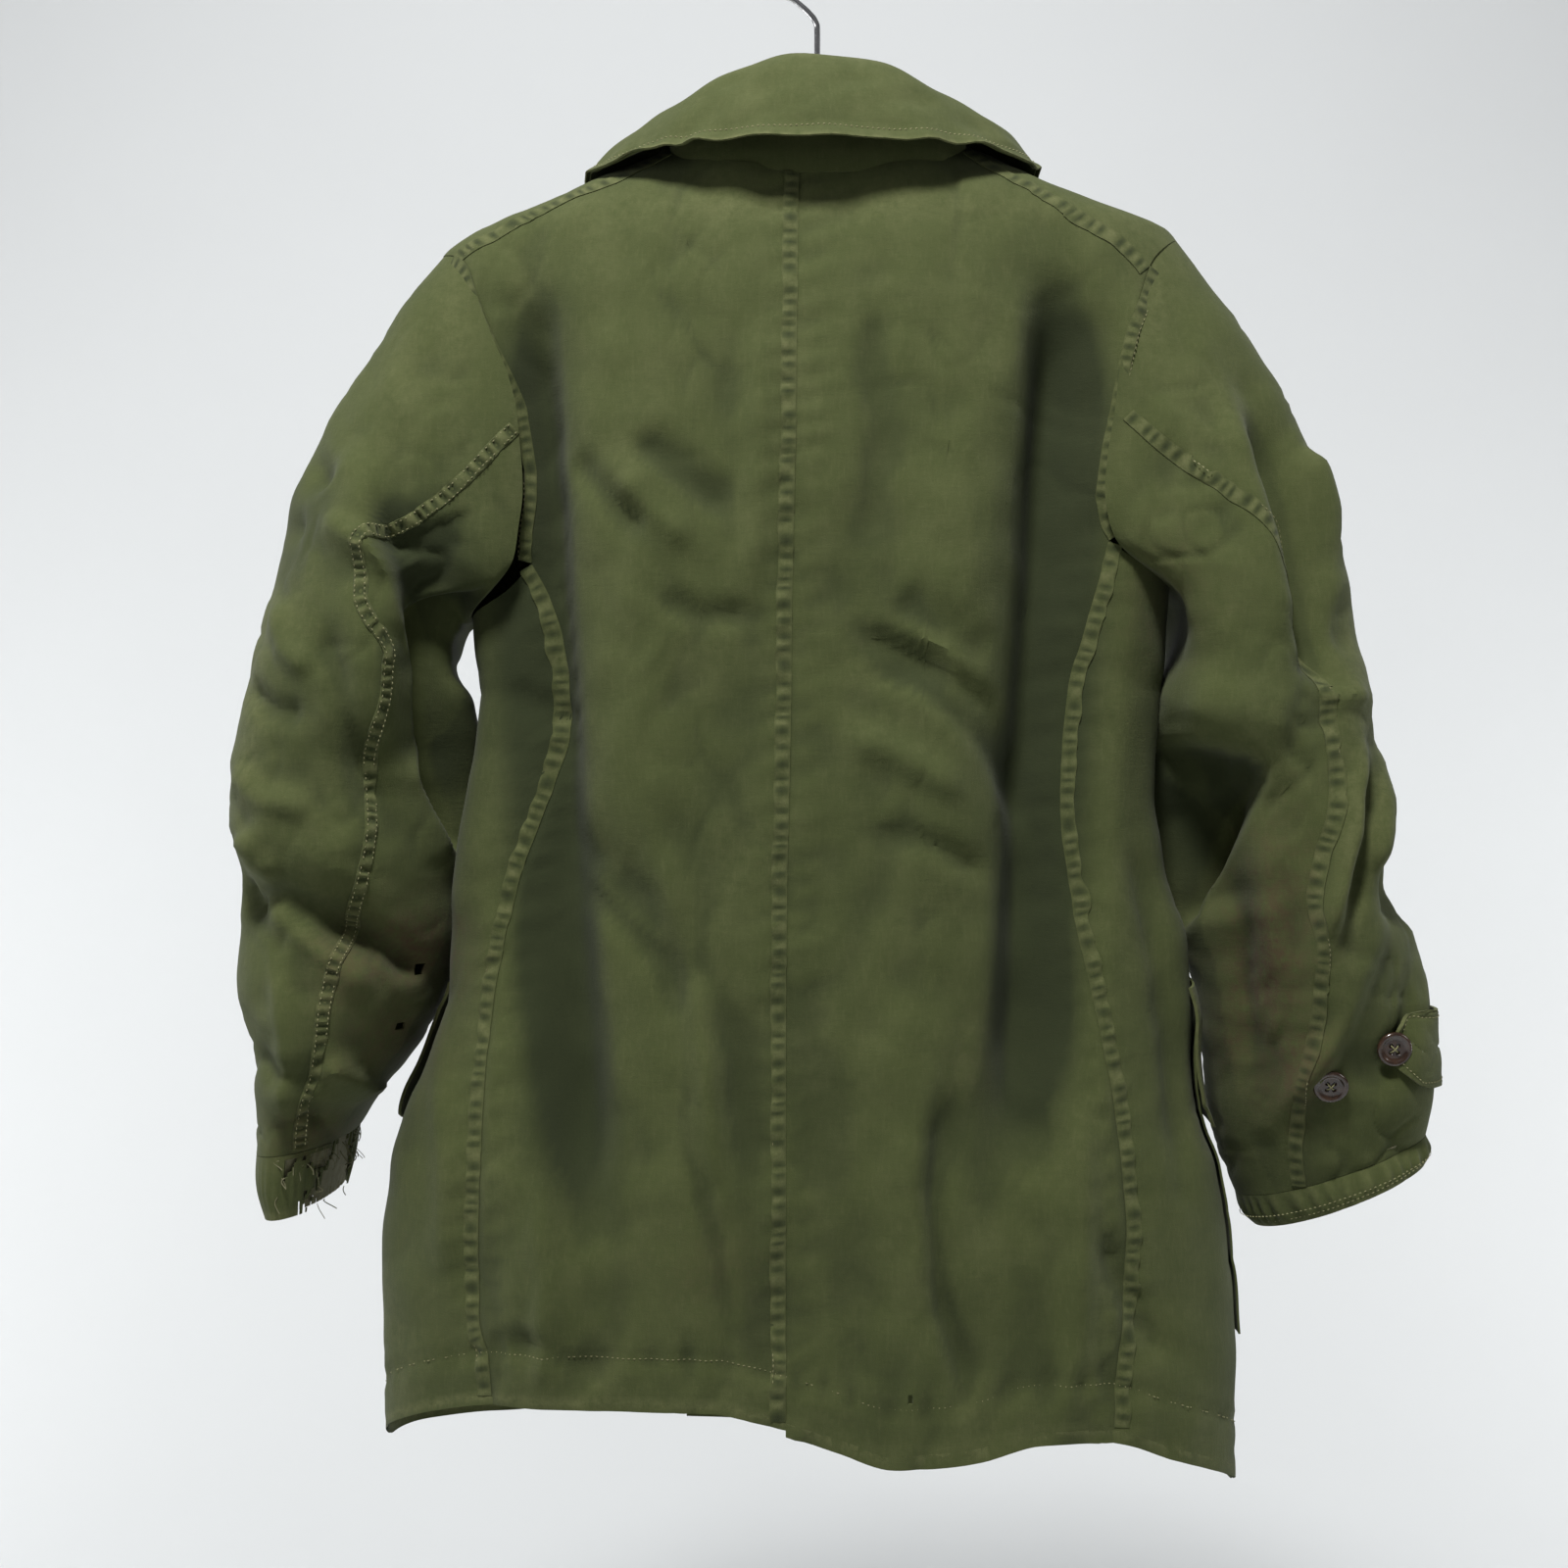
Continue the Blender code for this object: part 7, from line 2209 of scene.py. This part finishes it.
@dataclass(frozen=True)
class Buttons:
    """Four-hole buttons with a raised rim."""

    brown: bpy.types.Material
    thread: bpy.types.Material
    hole_places: tuple[tuple[float, float], ...] = ((2.1, 2.1), (-2.1, 2.1), (2.1, -2.1), (-2.1, -2.1))
    hole_depth: float = 1.5
    dish_share: float = 0.6
    thread_radius: float = 0.42

    def one(self, node: str, centre: Array, axis: Array) -> None:
        """One button.

        Args:
            node: the CAD node it stands for.
            centre: the middle of its lower face.
            axis: the way it faces.
        """
        axis = unit(np.asarray(axis, float))
        first = unit(np.cross(np.array((0.0, 0.0, 1.0)), axis))
        second = np.cross(axis, first)
        radius, height = BUTTON_DIAMETER / 2, BUTTON_HEIGHT
        profile = np.array((
            (0.0, 0.0), (0.5, 0.0), (0.78, 0.04), (0.92, 0.16), (0.985, 0.34), (1.0, 0.52), (0.985, 0.74),
            (0.94, 0.92), (0.88, 1.0), (0.82, 1.0), (0.76, 0.94), (0.70, 0.80), (0.64, 0.68), (0.58, 0.62),
        ))
        dish = np.linspace(0.56, 0.0, 20)
        reach = np.concatenate((profile[:, 0], dish)) * radius
        rise = np.concatenate((profile[:, 1], np.full(len(dish), self.dish_share))) * height
        angle = between(0.0, TURN, 72)[:-1]
        x = reach[:, None] * np.cos(angle)
        y = reach[:, None] * np.sin(angle)
        z = rise[:, None] + 0 * x
        top = np.arange(len(reach)) >= len(profile)
        for hole_x, hole_y in self.hole_places:
            gap = np.hypot(x - hole_x, y - hole_y)
            z = z - top[:, None] * self.hole_depth * (1.0 - ramp(gap, 0.95, 1.35))
        points = centre + x[..., None] * first + y[..., None] * second + z[..., None] * axis
        rows, columns = x.shape
        numbers = np.arange(rows * columns).reshape(rows, columns)
        numbers = np.concatenate((numbers, numbers[:, :1]), axis=1)
        numbers[0] = 0
        numbers[-1] = (rows - 1) * columns
        ring = cell_corners(numbers)
        none = np.full(columns, -1)
        caps = np.concatenate((
            np.column_stack((ring[0][:, 0], ring[0][:, 2], ring[0][:, 3], none)),
            np.column_stack((ring[-1][:, 0], ring[-1][:, 1], ring[-1][:, 2], none)),
        ))
        faces = np.concatenate((ring.reshape(-1, 4)[columns:-columns], caps))
        used, renumbered = np.unique(faces, return_inverse=True)
        renumbered = renumbered.reshape(faces.shape)
        skip = int(used[0] < 0)
        piece = new_piece(node + "_face", points.reshape(-1, 3)[used[skip:]], renumbered - skip, self.brown)
        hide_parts(node)
        self.thread_on(node, centre + axis * height * self.dish_share, first, second, axis)

    def thread_on(self, node: str, centre: Array, first: Array, second: Array, axis: Array) -> None:
        """Two crossing bars of thread between the holes of a button.

        Args:
            node: the button's CAD node.
            centre: middle of its dish.
            first: one direction in its plane.
            second: the other direction in its plane.
            axis: the way it faces.
        """
        corners = np.array(self.hole_places)
        share = np.linspace(0.0, 1.0, 7)[:, None]
        lift = (0.35 + 0.55 * np.sin(np.pi * share)) - 1.1 * (np.abs(share - 0.5) > 0.49)
        for number, (start, end) in enumerate(((0, 3), (1, 2))):
            flat = corners[start] * (1 - share) + corners[end] * share
            path = centre + flat[:, :1] * first + flat[:, 1:] * second + lift * axis
            piece = tube(f"{node}_thread_{number + 1}", path, self.thread_radius, self.thread, axis, 6)


def tube(
    name: str, path: Array, radius: float, finish: bpy.types.Material, across: Array, sides: int = 16
) -> bpy.types.Object:
    """A round bar along a path, with closed ends.

    Args:
        name: the object's name.
        path: its centre line.
        radius: its radius.
        finish: its material.
        across: a direction that the path never follows.
        sides: how many sides its section has.

    Returns:
        The bar.
    """
    tangent = unit(np.gradient(path, axis=0))
    first = unit(np.cross(tangent, across))
    second = np.cross(tangent, first)
    angle = between(0.0, TURN, sides)[:-1]
    size = np.ones(len(path)) * radius
    centres = np.concatenate((path[:1], path, path[-1:]))
    first = np.concatenate((first[:1], first, first[-1:]))
    second = np.concatenate((second[:1], second, second[-1:]))
    size = np.concatenate(([radius * 0.02], size, [radius * 0.02]))
    rings = centres[:, None] + size[:, None, None] * (
        np.cos(angle)[None, :, None] * first[:, None] + np.sin(angle)[None, :, None] * second[:, None]
    )
    return new_piece(name, rings.reshape(-1, 3), bar_faces(len(rings), sides), finish)


def hook_path() -> Array:
    """The hook's centre line, its bends rounded."""
    radius = WIRE_DIAMETER / 2
    loop = HOOK_INNER_RADIUS + radius
    angle = np.radians(np.linspace(-26.0, 200.0, 60))
    arc = np.stack((loop * np.cos(angle), 0 * angle, -HOOK_INNER_RADIUS + loop * np.sin(angle)), axis=-1)
    shaft = np.array((
        (-1.0, 0, -97.6), (-1.0, 0, -70.0), (-1.0, 0, -54.0),
        (0.5, 0, -49.0), (5.0, 0, -43.5), (12.5, 0, -37.0),
    ))
    knots = np.arange(len(shaft), dtype=float)
    fine = np.stack([smooth(np.linspace(0.0, knots[-1], 40), knots, shaft[:, k]) for k in range(3)], axis=-1)
    return np.concatenate((fine, arc))


@dataclass(frozen=True)
class Hanger:
    """The wire hook and the shoulder bar that it is fixed to."""

    chrome: bpy.types.Material
    wood: bpy.types.Material
    half_spans: tuple[float, float] = (207.0, 203.0)
    half_height: float = 12.6
    half_thickness: float = 6.8

    def build(self) -> None:
        """Both of them."""
        hook = tube("hook_wire", hook_path(), WIRE_DIAMETER / 2, self.chrome, np.array((0.0, 1.0, 0.0)))
        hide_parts("hanger_hook")
        rings = self.bar_rings()
        bar = new_piece("hanger_bar", rings.reshape(-1, 3), bar_faces(*rings.shape[:2]), self.wood)
        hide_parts("hanger_body")

    def bar_rings(self) -> Array:
        """Rings of the bar from its right end to its left end, thinner towards both."""
        x = between(-1.0, 1.0, 96)
        span = np.where(x > 0, *self.half_spans) * x
        reach = np.abs(span)
        left, right = (smooth(reach, rows[:, 0], rows[:, 1]) for rows in (BAR_LEFT, BAR_RIGHT))
        drop = np.where(span > 0, left, right)
        high = self.half_height - 4.0 * np.abs(x) ** 3
        thick = self.half_thickness - 1.5 * np.abs(x) ** 3
        turn = between(0.0, TURN, 28)[:-1]
        rings = np.stack((
            span[:, None] + 0 * turn,
            thick[:, None] * np.sin(turn),
            -drop[:, None] - 3.0 + high[:, None] * np.cos(turn),
        ), axis=-1)
        for end in (0, -1):
            rings[end] = rings[end].mean(axis=0) + (rings[end] - rings[end].mean(axis=0)) * 0.5
        return rings


def front_buttons(buttons: Buttons) -> None:
    """The six buttons of the two fronts.

    Args:
        buttons: maker of the buttons.
    """
    for number, drop in enumerate(FRONT_BUTTON_DROPS):
        for word, x in (("left", FRONT_BUTTON_X), ("right", -FRONT_BUTTON_X)):
            angle = body_angle(x, drop, front=True)
            _, outward = body_ring(angle, drop)
            normal = surface_normals(body_form, angle, drop, outward)
            centre = body_form(angle, drop) + normal * BUTTON_GAP
            buttons.one(f"button_front_{word}_{number + 1}", centre, normal)


def cuff_buttons(buttons: Buttons, tab: Tab) -> None:
    """The button on the cuff strap and the one beside it on the sleeve.

    Args:
        buttons: maker of the buttons.
        tab: the strap that one of them closes.
    """
    for name, x, drop, lift in (
        ("button_tab_right", -353.0, 693.0, TAB_GAP + TAB_WALL + BUTTON_GAP),
        ("button_cuff_right", -314.0, 716.0, BUTTON_GAP),
    ):
        turns = np.linspace(np.radians(10.0), np.radians(150.0), 240)
        points, normals = tab.on_sleeve(turns, np.full(len(turns), drop))
        best = int(np.argmin(np.abs(points[:, 0] - x)))
        buttons.one(name, points[best] + normals[best] * lift, normals[best])


def hem_stitches(coat: Coat) -> None:
    """The row of stitches that holds the hem, round the whole coat.

    Args:
        coat: the coat that they hold.
    """
    angle = np.linspace(-LAP_ANGLE + 0.02, LAP_ANGLE - 0.02, 1500)
    drop = hem_drop(angle) - HemFold().depth
    points = body_form(angle, drop)
    _, outward = body_ring(angle, drop)
    normal = surface_normals(body_form, angle, drop, outward)
    back = np.cos(angle) > -0.35
    piece = dashes("hem_stitches", points[back] + normal[back] * 0.15, normal[back], coat.thread, 2.4, 3.4)


@dataclass(frozen=True)
class Lamp:
    """One square soft light: places and side in metres, power in watts."""

    name: str
    place: Place
    power: float
    size: float
    target: Place = (0.0, 0.0, -0.5)

    def build(self) -> None:
        """Puts the light in the scene, aimed at its target."""
        lamp = bpy.data.lights.new(self.name, "AREA")
        lamp.energy = self.power
        lamp.size = self.size
        held = bpy.data.objects.new(self.name, lamp)
        held.location = self.place
        aim = Vector(self.target) - Vector(self.place)
        held.rotation_euler = aim.to_track_quat("-Z", "Y").to_euler()
        bpy.context.scene.collection.objects.link(held)


@dataclass(frozen=True)
class Studio:
    """Pale seamless floor and wall, soft lights and the camera at the photograph's angle."""

    lamps: tuple[Lamp, ...] = (
        Lamp("key", (0.3, 1.3, 1.6), 90.0, 0.45),
        Lamp("side_left", (1.7, 0.45, 0.1), 8.0, 0.6),
        Lamp("side_right", (-1.7, 0.45, 0.1), 5.0, 0.6),
        Lamp("paper", (0.0, -0.9, 1.9), 4.0, 1.2, (0.0, -1.7, -0.6)),
        Lamp("paper_side", (-1.9, -0.5, -0.9), 12.0, 0.8, (-0.5, -1.7, -0.9)),
        Lamp("paper_side", (1.9, -0.5, -0.9), 12.0, 0.8, (0.5, -1.7, -0.9)),
    )
    sky: Place = (0.94, 0.96, 0.98)
    sky_strength: float = 0.11
    camera_place: Place = (0.02, 1.25, -0.532)
    lens: float = 45.36
    film_width: float = 36.0
    floor: float = -1.45
    back: float = -1.7
    bend: float = 0.8
    reach: float = 4.0
    height: float = 2.6

    def build(self) -> None:
        """Makes all of them."""
        self.backdrop()
        for lamp in self.lamps:
            lamp.build()
        world = bpy.data.worlds.new("studio")
        world.use_nodes = True
        ground = world.node_tree.nodes["Background"]
        ground.inputs["Color"].default_value = (*self.sky, 1.0)
        ground.inputs["Strength"].default_value = self.sky_strength
        bpy.context.scene.world = world
        camera = bpy.data.cameras.new("camera")
        camera.lens = self.lens
        camera.sensor_width = self.film_width
        camera.dof.use_dof = False
        held = bpy.data.objects.new("camera", camera)
        held.location = self.camera_place
        held.rotation_euler = (np.pi / 2, 0.0, np.pi)
        bpy.context.scene.collection.objects.link(held)
        bpy.context.scene.camera = held
        bpy.context.scene.view_settings.view_transform = "Standard"

    def backdrop(self) -> None:
        """Floor and wall in one curved sheet, clear from behind so that it hides nothing there."""
        low, back, bend = self.floor, self.back, self.bend
        turn = np.linspace(0.0, np.pi / 2, 16)
        y = np.concatenate(([self.reach], back + bend - bend * np.sin(turn), [back]))
        z = np.concatenate(([low], low + bend - bend * np.cos(turn), [self.height]))
        x = np.linspace(-self.reach, self.reach, 9)
        points = np.stack(np.broadcast_arrays(x[None], y[:, None], z[:, None]), axis=-1).reshape(-1, 3)
        numbers = np.arange(len(points)).reshape(len(y), len(x))
        faces = np.stack((numbers[:-1, :-1], numbers[1:, :-1], numbers[1:, 1:], numbers[:-1, 1:]), axis=-1)
        mesh = bpy.data.meshes.new("backdrop")
        mesh.from_pydata(points.tolist(), [], faces.reshape(-1, 4).tolist())
        mesh.polygons.foreach_set("use_smooth", np.ones(len(mesh.polygons), bool))
        paper = Speckle(
            "backdrop", (0.66, 0.675, 0.68), 0.9, darker=(0.65, 0.665, 0.67), scale=3.0, bump=0.0
        ).build()
        tree = paper.node_tree
        facing = tree.nodes.new("ShaderNodeNewGeometry")
        clear = tree.nodes.new("ShaderNodeBsdfTransparent")
        either = tree.nodes.new("ShaderNodeMixShader")
        tree.links.new(facing.outputs["Backfacing"], either.inputs[0])
        tree.links.new(tree.nodes["Principled BSDF"].outputs["BSDF"], either.inputs[1])
        tree.links.new(clear.outputs["BSDF"], either.inputs[2])
        tree.links.new(either.outputs["Shader"], tree.nodes["Material Output"].inputs["Surface"])
        mesh.materials.append(paper)
        held = bpy.data.objects.new("backdrop", mesh)
        bpy.context.scene.collection.objects.link(held)


def main() -> None:
    """Builds the whole coat and its studio."""
    logging.basicConfig(level=logging.INFO, format="%(message)s")
    cotton = Cotton("olive_cotton", (0.052, 0.064, 0.0175), 0.92).build()
    lining = Cotton("cuff_lining_cotton", (0.13, 0.125, 0.065), 0.95, pale=(0.30, 0.28, 0.19)).build()
    thread = Finish("olive_thread", (0.20, 0.19, 0.09), 0.8).build()
    brown = Speckle(
        "button_brown", (0.050, 0.026, 0.015), 0.22,
        coat=0.5, darker=(0.018, 0.009, 0.006), scale=180.0, bump=0.04,
    ).build()
    chrome = Speckle(
        "chrome_wire", (0.72, 0.72, 0.73), 0.16, 1.0, darker=(0.60, 0.60, 0.61), scale=300.0, bump=0.02
    ).build()
    wood = Speckle(
        "hanger_wood", (0.36, 0.22, 0.11), 0.42,
        darker=(0.20, 0.11, 0.05), scale=30.0, bump=0.1, stretch=(0.15, 1.0, 1.0),
    ).build()
    coat = Coat(cotton, lining, thread)
    coat.body()
    LOG.info("made the body")
    coat.sleeves()
    LOG.info("made the sleeves")
    coat.seams()
    LOG.info("made the seams")
    for side in (LEFT, RIGHT):
        Cuff(coat, side).build()
        Pocket(coat, side).build()
    LOG.info("made the cuffs and pockets")
    Collar(coat).build()
    LOG.info("made the collar")
    tab = Tab(coat)
    tab.build()
    buttons = Buttons(brown, thread)
    front_buttons(buttons)
    cuff_buttons(buttons, tab)
    hem_stitches(coat)
    LOG.info("made the buttons and stitches")
    Hanger(chrome, wood).build()
    LOG.info("made the hanger")
    Studio().build()
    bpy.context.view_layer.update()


if __name__ == "__main__":
    main()
